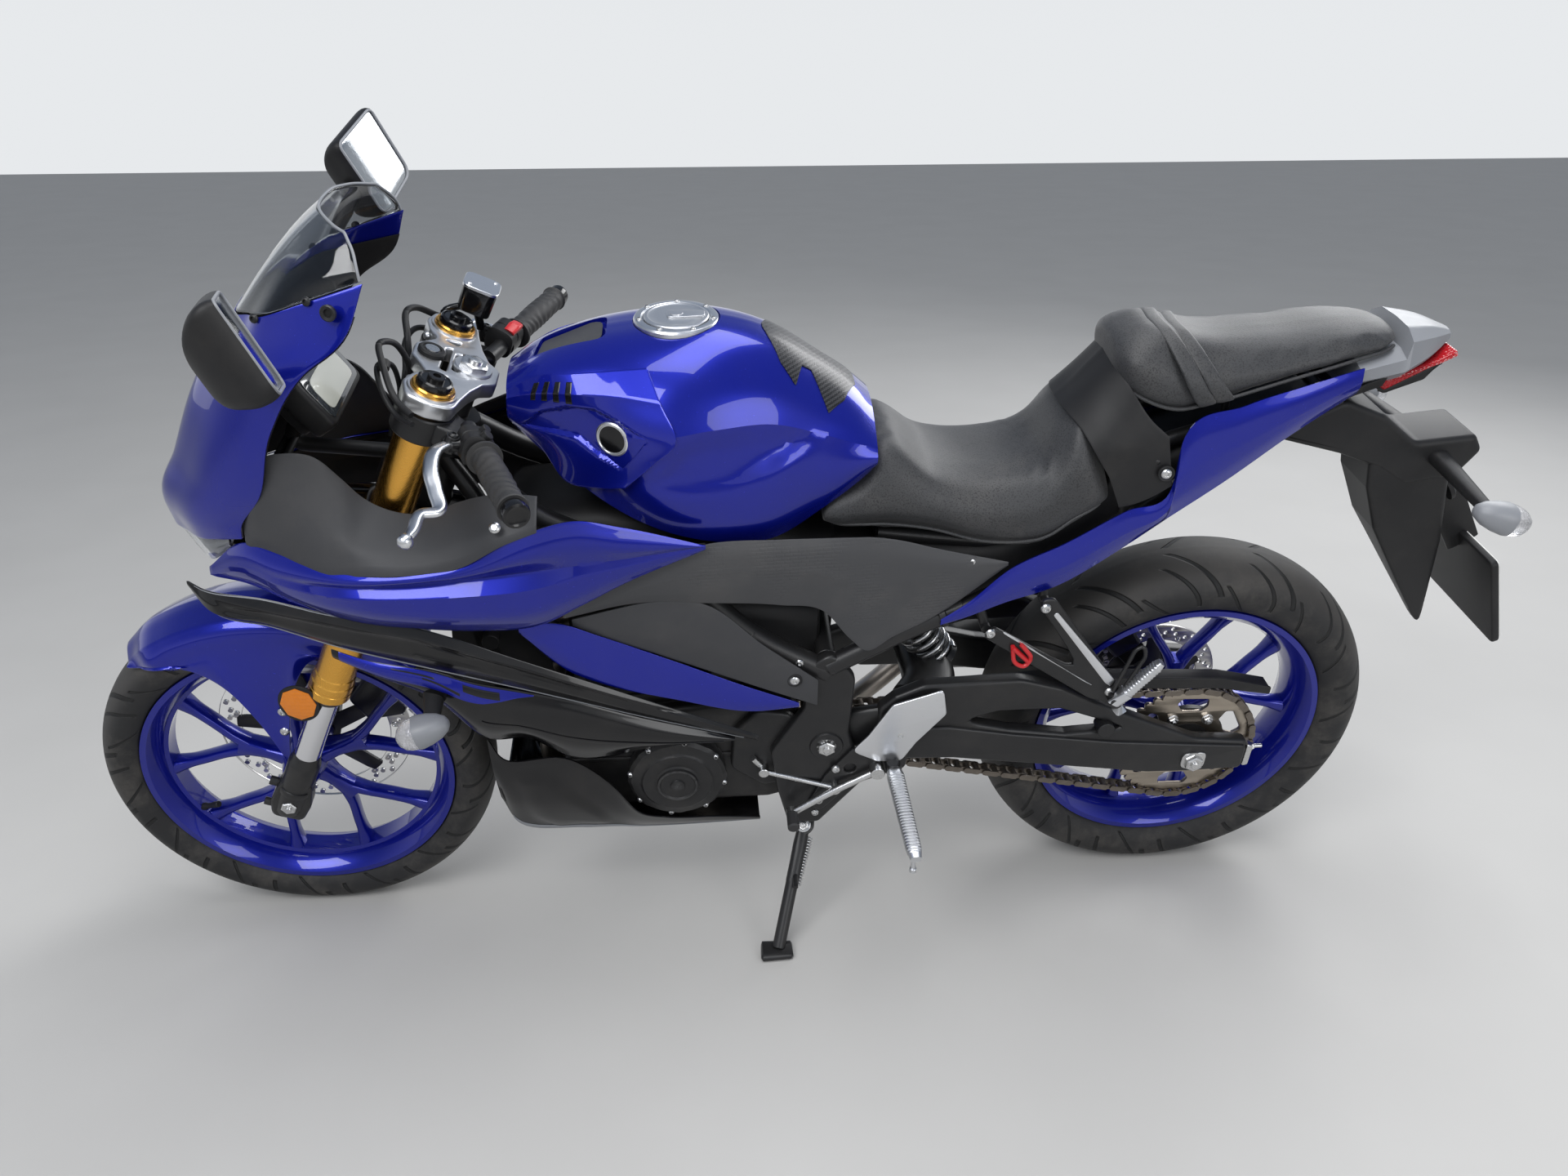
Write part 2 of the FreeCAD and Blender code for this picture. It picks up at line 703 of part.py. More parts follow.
def seat_inside(rows, x, place, radius=5.0):
    """Centre of a ball that carries a left panel from behind."""
    (z, y), (_, y_ahead), (_, y_behind) = (on_hull(rows, x + step, place) for step in (0, 3, -3))
    (z_up, y_up), (z_down, y_down) = (on_hull(rows, x, place + step) for step in (-0.05, 0.05))
    steepness = math.sqrt(1 + ((y_ahead - y_behind) / 6) ** 2 + ((y_up - y_down) / (z_up - z_down)) ** 2)
    return at(x, y - size.panel_thickness - (radius + size.seat_gap) * steepness, z)


SHOCK_TUBE = (-215, 116, 583)


def seat_rail_route():
    """Lower rail from the pivot plate back to the joint with the rear frame."""
    plate_middle = size.plate_inner + size.plate_thickness / 2
    return [at(-112, plate_middle, 524), at(-228, plate_middle - 4, 586), at(-300, 112, 612)]


def main_frame():
    """Tubes from the head tube back to two pivot plates, with cross tubes."""
    head_low = fork_frame.multVec(Vector(0, 0, size.lower_clamp_height + size.clamp_thickness + size.running_gap))
    head_high = fork_frame.multVec(Vector(0, 0, size.upper_clamp_height - size.running_gap))
    tube_top = fork_frame.multVec(Vector(0, 16, size.upper_clamp_height - 60))
    tube_low = fork_frame.multVec(Vector(0, 16, size.lower_clamp_height + 120))
    plate_middle = size.plate_inner + size.plate_thickness / 2
    tube_y = size.plate_inner + 1
    tube_bend = fork_frame.multVec(Vector(-111.6, 85, size.upper_clamp_height - 109.5))
    upper = [tube_top, tube_bend, at(110, tube_y, 700), at(-5, tube_y, 572), at(-112, plate_middle - 4, 512)]
    lower = [tube_low, fork_frame.multVec(Vector(-76, 48, size.lower_clamp_height + 80)), at(330, 80, 636), at(232, 103, 556), at(120, tube_y, 600), at(52, tube_y, 645)]
    outer = slab(drawn([
        (-176, 307, 12), (-147, 402, 20), (-152, 505, 25), (-118, 556, 20), (-72, 520, 20), (-80, 455, 25),
        (-30, 369, 20), (-40, 295, 20), (-58, 221, 12), (-106, 217, 12),
    ]), size.plate_inner, size.plate_inner + size.plate_thickness)
    left = fused([
        bent_tube(upper, size.main_tube_radius, 60), bent_tube(lower, size.rail_radius, 45),
        bent_tube(seat_rail_route(), size.rail_radius, 60), outer,
        rod(at(226, 85.3, 548), at(226, 103, 548), 13),
        stud(at(70, size.plate_inner - 4, 668), seat_below(TANK, 70, 100)),
        stud(at(240, 101, 562), seat_inside(LOWER_FAIRING, 250, 0.5)),
        stud(at(296, 88, 608), at(352.3 - 1.02 * (5 + size.seat_gap), 88, 600)),
    ])
    across = size.plate_inner + 4
    crossers = [
        rod(at(-110, -across, 532), at(-110, across, 532), 14),
        rod(at(-96, -across, 272), at(-96, across, 272), 9),
        rod(at(*SHOCK_TUBE), at(SHOCK_TUBE[0], -SHOCK_TUBE[1], SHOCK_TUBE[2]), 12),
    ]
    shock_ear = slab(drawn([(-240, 545, 6), (-236, 590, 6), (-205, 590, 6), (-205, 545, 6)]), 20.3, 28)
    solid = fused([both_sides(left), rod(head_low, head_high, size.head_tube_radius), *crossers,
                   both_sides(shock_ear)])
    stem_hole = rod(head_low - (head_high - head_low), head_high + (head_high - head_low),
                    size.stem_radius + size.running_gap)
    pivot_hole = rod(pivot - Y_AXIS * 200, pivot + Y_AXIS * 200, size.pivot_bolt_radius + size.running_gap)
    return keep_shape("main_frame", solid.cut(fused([stem_hole, pivot_hole])))


def subframe():
    """Rear rails that carry the seats and the tail."""
    lower = [at(-301, 112, 612.5), at(-430, 98, 668), at(-620, 60, 800), at(-800, 44, 892)]
    upper = [at(-180, 62, 710), at(-330, 66, 691.8), at(-408, 66, 691.8), at(-486, 62, 742), at(-560, 58, 838),
             at(-690, 50, 873)]
    rails = fused([bent_tube(lower, size.rail_radius, 80), bent_tube(upper, size.rail_radius - 2, 60),
                   rod(at(-186, 62, 707), at(-192, 106, 650), 9), rod(at(-192, 106, 650), at(-196, 114, 582), 9),
                   rod(at(-520, 80, 730), at(-520, 60, 787), 9),
                   stud(at(-640, 53, 860), seat_below(PASSENGER_SEAT, -640, 53)),
                   stud(at(-792, 44, 888), seat_below(TAIL_TOP, -825, 44)),
                   stud(at(-430, 98, 668), seat_inside(TAIL_SIDE, -430, 1.0)),
                   stud(at(-556, 58, 834), seat_inside(SEAT_COVER, -540, 1.0)),
                   rod(at(-414, 100, 661), at(-414, 112, 624), 7), rod(at(-414, 106, 624), at(-414, 126, 624), 7),
                   rod(at(-322, 110, 620), at(-334, 114, 582), 7), rod(at(-334, 106, 582), at(-334, 126, 582), 7)])
    cross = [rod(at(x, -y, z), at(x, y, z), 9) for x, y, z in
             ((-186, 62, 707), (-430, 98, 668), (-620, 60, 800), (-790, 44, 887))]
    tube, gap = at(*SHOCK_TUBE), size.running_gap
    room = fused([both_sides(bent_tube(seat_rail_route(), size.rail_radius + gap, 60)),
                  rod(tube, tube - Y_AXIS * 2 * tube.y, 12 + gap)])
    return keep_shape("subframe", fused([both_sides(rails), *cross]).cut(room))


main_frame()
subframe()


EXHAUST_ROUTE = [(246, 40, 515), (282, 40, 500), (296, 38, 400), (306, 34, 300), (285, 28, 230), (190, 20, 230)]


def engine():
    """Two-cylinder engine: crankcase, inclined cylinders and head, round side covers."""
    half = size.plate_inner - size.running_gap
    crankcase = slab(drawn([
        (-70, 262, 15), (-72, 440, 20), (60, 446, 10), (225, 425, 20), (280, 345, 25), (272, 262, 25), (200, 250, 10),
        (-30, 250, 10),
    ]), -half, half)
    cylinders = slab(drawn([(60, 400), (125, 592, 8), (240, 560, 8), (222, 395)]), -84, 84)
    cover = slab(drawn([(112, 570), (128, 628, 18), (252, 594, 18), (246, 540)]), -85, 85)
    crank = at(110, 0, 326)
    generator = rod(crank + Y_AXIS * (half - 4), crank + Y_AXIS * 142, 72)
    generator_cap = rod(crank + Y_AXIS * 141, crank + Y_AXIS * 148, 30)
    clutch = rod(at(64, -half + 4, 335), at(64, -142, 335), 80)
    oil_filter = rod(at(270, -88, 300), at(310, -88, 288), 27)
    chain_room = slab([
        (drive_centre.x + 55, drive_centre.z + 55, 50), (drive_centre.x + 55, drive_centre.z - 55, 50),
        (drive_centre.x - 200, drive_centre.z - 75), (drive_centre.x - 200, drive_centre.z + 55),
    ], size.chain_line - 14, half + 20)
    shaft = rod(drive_centre + Y_AXIS * (size.chain_line - 20), drive_centre + Y_AXIS * (size.chain_line + 9), 14)
    drive_disc = rod(drive_centre + Y_AXIS * (size.chain_line - 3), drive_centre + Y_AXIS * (size.chain_line + 3),
                     pitch_radius(size.drive_teeth) - 7)
    pivot_room = rod(pivot - Y_AXIS * 200, pivot + Y_AXIS * 200, 30)
    solid = fused([crankcase, cylinders, cover, clutch, oil_filter]).cut(fused([chain_room, pivot_room]))
    port = EXHAUST_ROUTE[0]
    out = (at(*EXHAUST_ROUTE[1]) - at(*port)).normalize()
    ports = both_sides(rod(at(*port) - out * 30, at(*port) - out * size.seat_gap, 17))
    pan_stays = both_sides(rod(at(100, 75, 256), at(100, 75, 204.4 + size.panel_thickness + size.seat_gap), 6))
    return keep_shape("engine", fused([solid, generator, generator_cap, shaft, drive_disc, ports, pan_stays]))


def radiator():
    core = slab(drawn([(360, 640, 4), (386, 636, 4), (346, 428, 4), (320, 432, 4)]), -118, 118)
    neck = rod(at(352, 104, 600), at(352, 132, 600), 12)
    return keep_shape("radiator", fused([core, both_sides(neck)]))


def exhaust():
    """Two header pipes under the engine into one silencer on the right."""
    left = [at(*point) for point in EXHAUST_ROUTE]
    pipes = [bent_tube([Vector(p.x, side * p.y, p.z) for p in left], 16, 60) for side in (1, -1)]
    collector = bent_tube([at(200, 0, 230), at(40, -10, 230), at(-100, -74, 232), at(-200, -124, 258),
                           at(-292, -174, 300)], 18, 90)
    start, end = at(-285, -170, 298), at(-590, -218, 384)
    along = (end - start).normalize()
    body = [
        Part.makeCone(22, 50, 90, start, along), Part.makeCylinder(50, 190, start + along * 90, along),
        Part.makeCone(50, 40, 26, start + along * 280, along),
    ]
    tail_pipe = Part.makeCylinder(18, 30, start + along * 300, along)
    joined = fused([*pipes, Part.makeBox(60, 76, 36, at(165, -38, 212)), collector, *body, tail_pipe])
    outlet = Part.makeCylinder(15, 60, start + along * 285, along)
    return keep_shape("exhaust", joined.cut(outlet))


engine()
radiator()
exhaust()


def swingarm():
    """Two arms, each a deep beam with an arched brace above a window, joined at the pivot and ahead of the tyre."""
    inner, outer = 102.0, 128.0
    arm = slab(drawn([
        (-190, 338, 12), (-190, 440, 15), (-213, 462, 10), (-254, 481, 30), (-400, 484, 60), (-463, 464, 40),
        (-559, 412, 60), (-690, 350, 60), (-778, 340, 12), (-778, 284, 12), (-690, 282, 60), (-623, 284, 40),
        (-309, 334, 60),
    ]), inner, outer)
    window = slab(drawn([
        (-318, 408, 8), (-371, 424, 20), (-465, 424, 25), (-578, 378, 6), (-480, 373, 20), (-390, 388, 20),
    ]), inner - 1, outer + 1)
    nose = slab([
        (pivot.x + 26, pivot.z - 20, 18), (pivot.x + 26, pivot.z + 20, 18), (pivot.x - 85, pivot.z + 40),
        (pivot.x - 85, pivot.z - 40),
    ], inner - 5, inner + 9)
    left = fused([arm.cut(window), nose])
    pivot_tube = rod(pivot - Y_AXIS * (inner + 9), pivot + Y_AXIS * (inner + 9), 24)
    brace = slab(drawn([(-345, 356, 10), (-345, 404, 10), (-215, 408, 15), (-215, 350, 15)]), -inner - 2, inner + 2)
    chain_gap = slab(drawn([(-420, 330), (-420, 470), (-100, 470), (-100, 404), (-160, 404), (-420, 404)]),
                     size.chain_line - 12, size.chain_line + 12)
    lower_gap = slab(drawn([(-420, 200), (-420, 330), (-200, 352), (-150, 352), (-100, 356), (-100, 200)]),
                     size.chain_line - 12, size.chain_line + 12)
    joined = fused([both_sides(left), pivot_tube, brace]).cut(fused([chain_gap, lower_gap]))
    pivot_hole = rod(pivot - Y_AXIS * 200, pivot + Y_AXIS * 200, size.pivot_bolt_radius + size.running_gap)
    axle_hole = rod(rear_axle - Y_AXIS * 200, rear_axle + Y_AXIS * 200, size.axle_radius + size.running_gap)
    return keep_shape("swingarm", joined.cut(fused([pivot_hole, axle_hole])))


def chain_guard():
    wall = slab(drawn([
        (-330, 436), (-330, 452, 8), (-470, 460, 40), (-720, 444, 40), (-800, 424, 8), (-800, 416), (-720, 436, 40),
        (-470, 452, 40),
    ]), 74, 101.6)
    return keep_shape("chain_guard", wall)


def bolts():
    """Pivot bolt and rear axle, with their nuts."""
    nut_out = size.plate_inner + size.plate_thickness + 10
    pivot_bolt = fused([
        rod(pivot - Y_AXIS * nut_out, pivot + Y_AXIS * nut_out, size.pivot_bolt_radius),
        rod(pivot + Y_AXIS * (nut_out - 10 + size.running_gap), pivot + Y_AXIS * nut_out, 17),
        rod(pivot - Y_AXIS * (nut_out - 10 + size.running_gap), pivot - Y_AXIS * nut_out, 17),
    ])
    keep_shape("pivot_bolt", pivot_bolt)
    axle_out = 128 + 12
    axle = fused([
        rod(rear_axle - Y_AXIS * (axle_out + 6), rear_axle + Y_AXIS * (axle_out + 6), size.axle_radius),
        rod(rear_axle + Y_AXIS * (128 + size.running_gap), rear_axle + Y_AXIS * axle_out, 15),
        rod(rear_axle - Y_AXIS * (128 + size.running_gap), rear_axle - Y_AXIS * axle_out, 15),
        rod(rear_axle + Y_AXIS * (size.chain_line + 4), rear_axle + Y_AXIS * (102 - size.running_gap), 14),
        rod(rear_axle - Y_AXIS * (size.rear_disc_inset + 10), rear_axle - Y_AXIS * (102 - size.running_gap), 14),
    ])
    keep_shape("rear_axle", axle.cut(rod(rear_axle - Y_AXIS * 200, rear_axle + Y_AXIS * 200,
                                         size.axle_bore_radius)))


def shock_absorber():
    top, bottom = at(-222, 0, 558), at(-312, 0, 421)
    along = (bottom - top).normalize()
    length = (bottom - top).Length
    coil_count = 7
    pitch = (length - 40) / coil_count
    corners = [(0, 0), (20, 0), (20, 20), (34, 20), (34, 27)]
    for coil in range(coil_count):
        corners += [(25, 27 + pitch * coil), (33, 27 + pitch * (coil + 0.5))]
    corners += [(25, length - 13), (34, length - 13), (34, length - 5), (9, length - 5), (9, length), (0, length)]
    spring = Part.makePolygon([Vector(r, 0, h) for r, h in corners + corners[:1]])
    spring = Part.Face(spring).revolve(Vector(), Z_AXIS, 360)
    spring.Placement = Placement(top, Rotation(Z_AXIS, along))
    eye = rod(top - Y_AXIS * 20, top + Y_AXIS * 20, 12)
    foot = rod(bottom - Y_AXIS * 20, bottom + Y_AXIS * 20, 15)
    return keep_shape("shock_absorber", fused([spring, eye, foot]))


swingarm()
chain_guard()
bolts()
shock_absorber()

# Everything below turns with the steering and is drawn in the fork frame: Z up the steering axis,
# X forward, level with the front axle at Z = 0.


# How far the stem and the legs stand above the upper clamp.
ABOVE_CLAMP = 14.0


def fork_legs():
    """Upside-down legs: wide tube above, bright stanchion, axle clamp below."""
    x, y = size.fork_offset, leg_y
    tube, chrome, clamp_round = size.fork_tube_radius, size.stanchion_radius, size.fork_clamp_radius
    low = size.tube_start_height
    cap = size.upper_clamp_height + size.upper_clamp_thickness + ABOVE_CLAMP
    profile = [
        (0, -26), (clamp_round, -26), (clamp_round, 22), (clamp_round + 2, 22), (clamp_round + 2, 30),
        (clamp_round, 30), (clamp_round, 84), (chrome + 2, 84), (chrome + 2, 96), (chrome, 96), (chrome, low),
        (tube + 3, low), (tube + 3, low + 30), (tube + 1.5, low + 30), (tube + 1.5, low + 42), (tube, low + 42),
        (tube, cap), (tube - 6, cap), (tube - 6, cap + 7), (0, cap + 7),
    ]
    outline_wire = Part.makePolygon([Vector(x + radius, y, height) for radius, height in profile + profile[:1]])
    leg = fused([
        Part.Face(outline_wire).revolve(Vector(x, y, 0), Z_AXIS, 360),
        rod(Vector(x, y, 0), Vector(x, y + clamp_round + 3, 0), 19),
        rod(Vector(x, y, 0), Vector(x, y - clamp_round + 1, 0), 14),
    ])
    bore = rod(Vector(x, 0, 0), Vector(x, 200, 0), size.axle_radius + size.running_gap)
    legs = pair_shape("fork_legs", leg.cut(bore))
    nodes["fork_legs"] = (legs, fork_frame)


def clamp(label, half_outline, thickness, low, stem=False):
    """Fork clamp: plate with a bore for each leg and one for the stem."""
    whole = half_outline + [(x, -y, *rest) for x, y, *rest in reversed(half_outline)]
    bore = size.fork_tube_radius + size.running_gap
    openings = [ring(size.fork_offset, leg_y, bore), ring(size.fork_offset, -leg_y, bore)]
    openings.append(ring(0, 0, size.stem_radius - 3 if stem else size.stem_radius + size.running_gap))
    body = new_body(label)
    middle = low + float(sheet.get(thickness)) / 2
    plate(body, "XY_Plane", [outline(whole), *openings], f"Sizes.{thickness}", middle)
    return body


def upper_clamp():
    body = clamp("upper_clamp", [
        (76, 16, 12), (64, 32, 10), (52, 50, 16), (66, 66, 16), (74, 92, 22), (66, 124, 20), (36, 131, 25),
        (8, 122, 20), (2, 92, 20), (-6, 62, 25), (-18, 34, 20), (-34, 20, 16),
    ], "upper_clamp_thickness", size.upper_clamp_height)
    slot_middle = size.upper_clamp_height + size.upper_clamp_thickness
    for x, half_length in ((22, 24), (33, 31), (44, 24)):
        slot = outline([(x - 3, -half_length, 3), (x + 3, -half_length, 3), (x + 3, half_length, 3),
                        (x - 3, half_length, 3)])
        pocket(body, "XY_Plane", [slot], "Sizes.upper_clamp_thickness", slot_middle)
    keep(body, fork_frame)


def lower_clamp():
    """Lower clamp with the steering stem, which is bored from its open top."""
    body = clamp("lower_clamp", [
        (64, 30, 20), (74, 80, 20), (72, 118, 24), (36, 131, 25), (6, 122, 22), (-4, 84, 20), (-30, 36, 26),
    ], "clamp_thickness", size.lower_clamp_height, stem=True)
    top = size.upper_clamp_height + size.upper_clamp_thickness
    low = size.lower_clamp_height
    bore, seat = size.stem_bore_radius, top + ABOVE_CLAMP - size.stem_bore_depth
    turned(body, [(0, low), (size.stem_radius, low), (size.stem_radius, top + ABOVE_CLAMP), (bore, top + ABOVE_CLAMP),
                  (bore, seat), (0, seat)], "XZ_Plane", "V_Axis")
    keep(body, fork_frame)


def stem_nut():
    top = size.upper_clamp_height + size.upper_clamp_thickness
    body = new_body("stem_nut")
    turned(body, [(size.stem_radius + size.running_gap, top), (21, top), (21, top + 8), (18, top + 12),
                  (size.stem_radius + size.running_gap, top + 12)], "XZ_Plane", "V_Axis")
    lock_x = 54
    keep(body, fork_frame)
    lock = fused([
        Part.makeCylinder(17, 8, Vector(lock_x, 0, top)), Part.makeCylinder(13, 3, Vector(lock_x, 0, top + 8)),
    ])
    keep_shape("ignition_lock", lock, fork_frame)


def handlebars():
    """Clip-on bars under the upper clamp, with switch housings, grips, levers and end weights."""
    clamp_high = size.upper_clamp_height - 2
    clamp_low = clamp_high - 34
    bar_height = size.upper_clamp_height - 5
    inner_end, outer_end = Vector(-20, 115, bar_height), Vector(-87, 318, bar_height + 36)
    ball = Vector(8, 306, bar_height - 69)
    along = (outer_end - inner_end).normalize()
    span = (outer_end - inner_end).Length

    def on_bar(distance, radius, length):
        return Part.makeCylinder(radius, length, inner_end + along * distance, along)

    grip_start = span - size.grip_length - 16
    collar = Part.makeCylinder(36, clamp_high - clamp_low, Vector(size.fork_offset, leg_y, clamp_low))
    wire = Part.Wire([edge.toShape() for edge in outline([
        (14, 70, 6), (24, 128, 6), (-24, 134, 12), (-27, 106, 12),
    ])])
    arm = Part.Face(wire).translated(Vector(0, 0, clamp_low + 4)).extrude(Vector(0, 0, clamp_high - clamp_low - 4))
    lever_pivot = inner_end + along * 46 + Vector(34, 0, -8)
    lever = bent_tube([lever_pivot, lever_pivot + Vector(18, 34, -8), lever_pivot + Vector(14, 90, -38),
                       ball], 5.5, 30)
    lever_ball = Part.makeSphere(9, ball)
    perch = fused([rod(inner_end + along * 46, lever_pivot, 9),
                   rod(lever_pivot - Vector(0, 0, 9), lever_pivot + Vector(0, 0, 9), 9)])
    left = fused([
        collar, arm, on_bar(-10, size.bar_radius, span), on_bar(26, 22, 16), on_bar(48, 25, grip_start - 50),
        on_bar(grip_start, size.grip_radius + 4, 6), on_bar(grip_start, size.grip_radius, size.grip_length),
        on_bar(span - 14, size.grip_radius - 2, 16), lever, lever_ball, perch,
    ])
    bore = Part.makeCylinder(size.fork_tube_radius + size.running_gap, 200,
                             Vector(size.fork_offset, leg_y, clamp_low - 60))
    bars = pair_shape("handlebars", left.cut(bore))
    nodes["handlebars"] = (bars, fork_frame)


def brake_reservoir():
    """Square fluid reservoir on a stay ahead of the right bar clamp."""
    low = Vector(22, -150, size.upper_clamp_height + 33)
    stay = rod(low + Vector(-17, -8, -26.7), low + Vector(-4, -2, 3), 6)
    tank = Part.makeBox(46, 46, 34, low - Vector(23, 23, 0))
    lid = Part.makeBox(50, 50, 5, low + Vector(-25, -25, 34))
    keep_shape("brake_reservoir", fused([stay, tank, lid]), fork_frame)


def polar(radius, degrees):
    """Point about the front axle in side view, angles from straight ahead, in the fork frame."""
    turn = math.radians(degrees - size.rake_angle)
    return size.fork_offset + radius * math.cos(turn), radius * math.sin(turn)


def front_fender():
    """Mudguard close round the tyre with a pointed skirt beside each leg."""
    gap = 12.0
    crown = size.front_tyre_radius + gap
    outer = [(63, crown - 44), (64, crown - 22), (54, crown - 5), (26, crown + 5), (9, crown + 10)]
    inner = [(y - 3, r - (0 if i == 0 else 3)) for i, (y, r) in enumerate(outer)]
    half = outer + inner[::-1]
    front, back = 50.0, 134.0
    start_x, start_z = math.cos(math.radians(front - size.rake_angle)), math.sin(math.radians(front - size.rake_angle))
    ring_points = outer + [(-y, r) for y, r in reversed(outer)] + [(-y, r) for y, r in inner] + inner[::-1]
    profile = Part.makePolygon([Vector(r * start_x, y, r * start_z) for y, r in ring_points + ring_points[:1]])
    shell = Part.Face(profile).revolve(Vector(), -Y_AXIS, back - front)
    shell.translate(Vector(size.fork_offset, 0, 0))
    skirt = slab([
        (*polar(crown - 30, 64), 10), (*polar(crown - 30, 101), 5), (*polar(206, 104), 5), (*polar(62, 96), 10),
        (*polar(36, 14), 3), (*polar(112, 80), 40), (*polar(196, 76), 40),
    ], 69.5, 72.5)
    joint = slab([
        polar(crown - 26, 66), polar(crown - 26, 100), polar(crown - 40, 100), polar(crown - 40, 66),
    ], 61, 72.5)
    lug = rod(Vector(63.2, 70, 60), Vector(63.2, 82, 60), 5)
    keep_shape("front_fender", fused([shell, both_sides(fused([skirt, joint, lug]))]), fork_frame)


def front_caliper():
    inset = size.front_disc_inset
    block = slab([(*polar(96, 136), 12), (*polar(96, 164), 12), (*polar(170, 160), 16), (*polar(170, 138), 16)],
                 -inset - 28, -inset + 18)
    slot = rod(Vector(size.fork_offset, -inset - 5, 0), Vector(size.fork_offset, -inset + 5, 0),
               size.front_disc_radius + 4)
    bracket = slab([(*polar(150, 118), 6), (*polar(150, 142), 6), (*polar(100, 142), 6), (*polar(60, 118), 6)],
                   -inset - 28, -inset - 12)
    clear = Part.makeCylinder(size.fork_clamp_radius + size.running_gap, 400, Vector(size.fork_offset, -leg_y, 0))
    keep_shape("front_caliper", fused([block.cut(slot), bracket]).cut(clear), fork_frame)


def front_axle_pin():
    x = size.fork_offset
    out = leg_y + size.fork_clamp_radius + 3
    collar = front_hub_half + size.running_gap
    leg_face = leg_y - size.fork_clamp_radius - size.running_gap
    shapes = [rod(Vector(x, -out - 8, 0), Vector(x, out + 10, 0), size.axle_radius),
              rod(Vector(x, out + size.running_gap, 0), Vector(x, out + 9, 0), 14),
              rod(Vector(x, -out - size.running_gap, 0), Vector(x, -out - 6, 0), 14)]
    for side in (1, -1):
        low = collar if side > 0 else size.front_disc_inset + 6
        shapes.append(rod(Vector(x, side * low, 0), Vector(x, side * leg_face, 0), 13))
    pin = fused(shapes)
    keep_shape("front_axle", pin.cut(rod(Vector(x, -300, 0), Vector(x, 300, 0), size.axle_bore_radius)), fork_frame)


fork_legs()
upper_clamp()
lower_clamp()
stem_nut()
handlebars()
brake_reservoir()
front_fender()
front_caliper()
front_axle_pin()

cap_seat = at(84, 0, 996)


def bodywork():
    """Every lofted piece."""
    tank = lofted("fuel_tank", hull_rows(TANK))
    pocket(tank, "XY_Plane", [ring(cap_seat.x, cap_seat.y, size.tank_cap_radius + 13 + size.running_gap)],
           "20", cap_seat.z + 10)
    keep(tank)
    for label, rows in (("rider_seat", RIDER_SEAT), ("passenger_seat", PASSENGER_SEAT), ("tail_top", TAIL_TOP)):
        keep(lofted(label, hull_rows(rows)))
    for label, rows in (("tank_covers", cover_rows(TANK, TANK_COVER)), ("side_fairings", SIDE_FAIRING), ("air_fins", AIR_FIN),
                        ("lower_fairings", LOWER_FAIRING), ("side_strips", SIDE_STRIP), ("mid_panels", MID_PANEL),
                        ("frame_covers", FRAME_COVER), ("tail_sides", TAIL_SIDE), ("seat_covers", SEAT_COVER)):
        keep_pair(label, lofted(label + "_left", skin_rows(rows)))
    keep_pair("cockpit_panels", lofted("cockpit_panels_left", skin_rows(COCKPIT_PANEL, (-0.7, -0.9))))


bodywork()


def cowl_section(x_nose, z_nose, y_nose, x_corner, y_corner, x_rear, z_rear, y_rear, wall):
    """Closed outline open to the rear like a U: out round the nose and back along the inner face."""

    shift, lift = carried(x_corner)
    shift -= x_corner

    def placed(x, y):
        share = (x_nose - x) / (x_nose - x_rear)
        return Vector(x + shift, y, z_nose + share * (z_rear - z_nose) + lift)

    half = [(x_nose, y_nose), (x_corner, y_corner), (x_rear, y_rear)]
    inner = [(x_rear, y_rear - wall), (x_corner - 0.8 * wall, y_corner - 0.8 * wall),
             (x_nose - wall, y_nose - 0.4 * wall)]
    left = half + inner
    right_outer = [(x, -y) for x, y in reversed(half)]
    right_inner = [(x, -y) for x, y in reversed(inner)]
    points = [placed(x, y) for x, y in left + right_inner + right_outer]
    return Part.makePolygon(points + points[:1])


# U-shaped sections of the nose: x, z and half width at the nose, x and half width at the corner,
# then x, z and half width at the rear edge.
COWL = [
    (751, 753, 44, 700, 100, 638, 774, 127),
    (757, 790, 42, 702, 106, 634, 792, 129),
    (724, 857, 46, 668, 122, 594, 846, 148),
    (674, 950, 58, 620, 129, 556, 940, 160),
    (634, 1008, 64, 585, 132, 505, 1010, 163),
    (608, 1036, 68, 556, 131, 450, 1046, 150),
    (596, 1050, 70, 545, 127, 430, 1104, 130),
]
SCREEN = [
    (595, 1050.5, 68, 544, 125.5, 431, 1104.5, 128),
    (548, 1108, 56, 503, 98, 437, 1124, 115),
    (484, 1160, 38, 470, 66, 446, 1148, 90),
]
# Lamps under the nose: x, then z and y at the top, middle and bottom.
HEADLIGHT = [
    (742, 754.2, 53, 747, 49, 738, 44),
    (700, 762, 97.5, 740, 95, 720, 86),
    (658, 769.8, 116.5, 763, 117.5, 756, 114),
]
NOSE_DUCT = [
    (640, 702, 70, 712, 84.6, 742, 84.6, 750, 50),
    (700, 710, 44, 716, 53, 744, 51.5, 750, 36),
    (736, 736, 22, 740, 27.5, 746, 27.5, 749, 19),
]


def nose():
    cowl = Part.makeLoft([cowl_section(*row, size.panel_thickness) for row in COWL], True, True)
    keep_shape("upper_cowl", cowl)
    screen = Part.makeLoft([cowl_section(*row, size.screen_thickness) for row in SCREEN], True, True)
    keep_shape("windscreen", screen)
    lamp_depth = 8.0
    keep_pair("headlights", lofted("headlights_left", skin_rows(HEADLIGHT, (-lamp_depth, 0.0))))
    keep(lofted("nose_duct", hull_rows(NOSE_DUCT)))


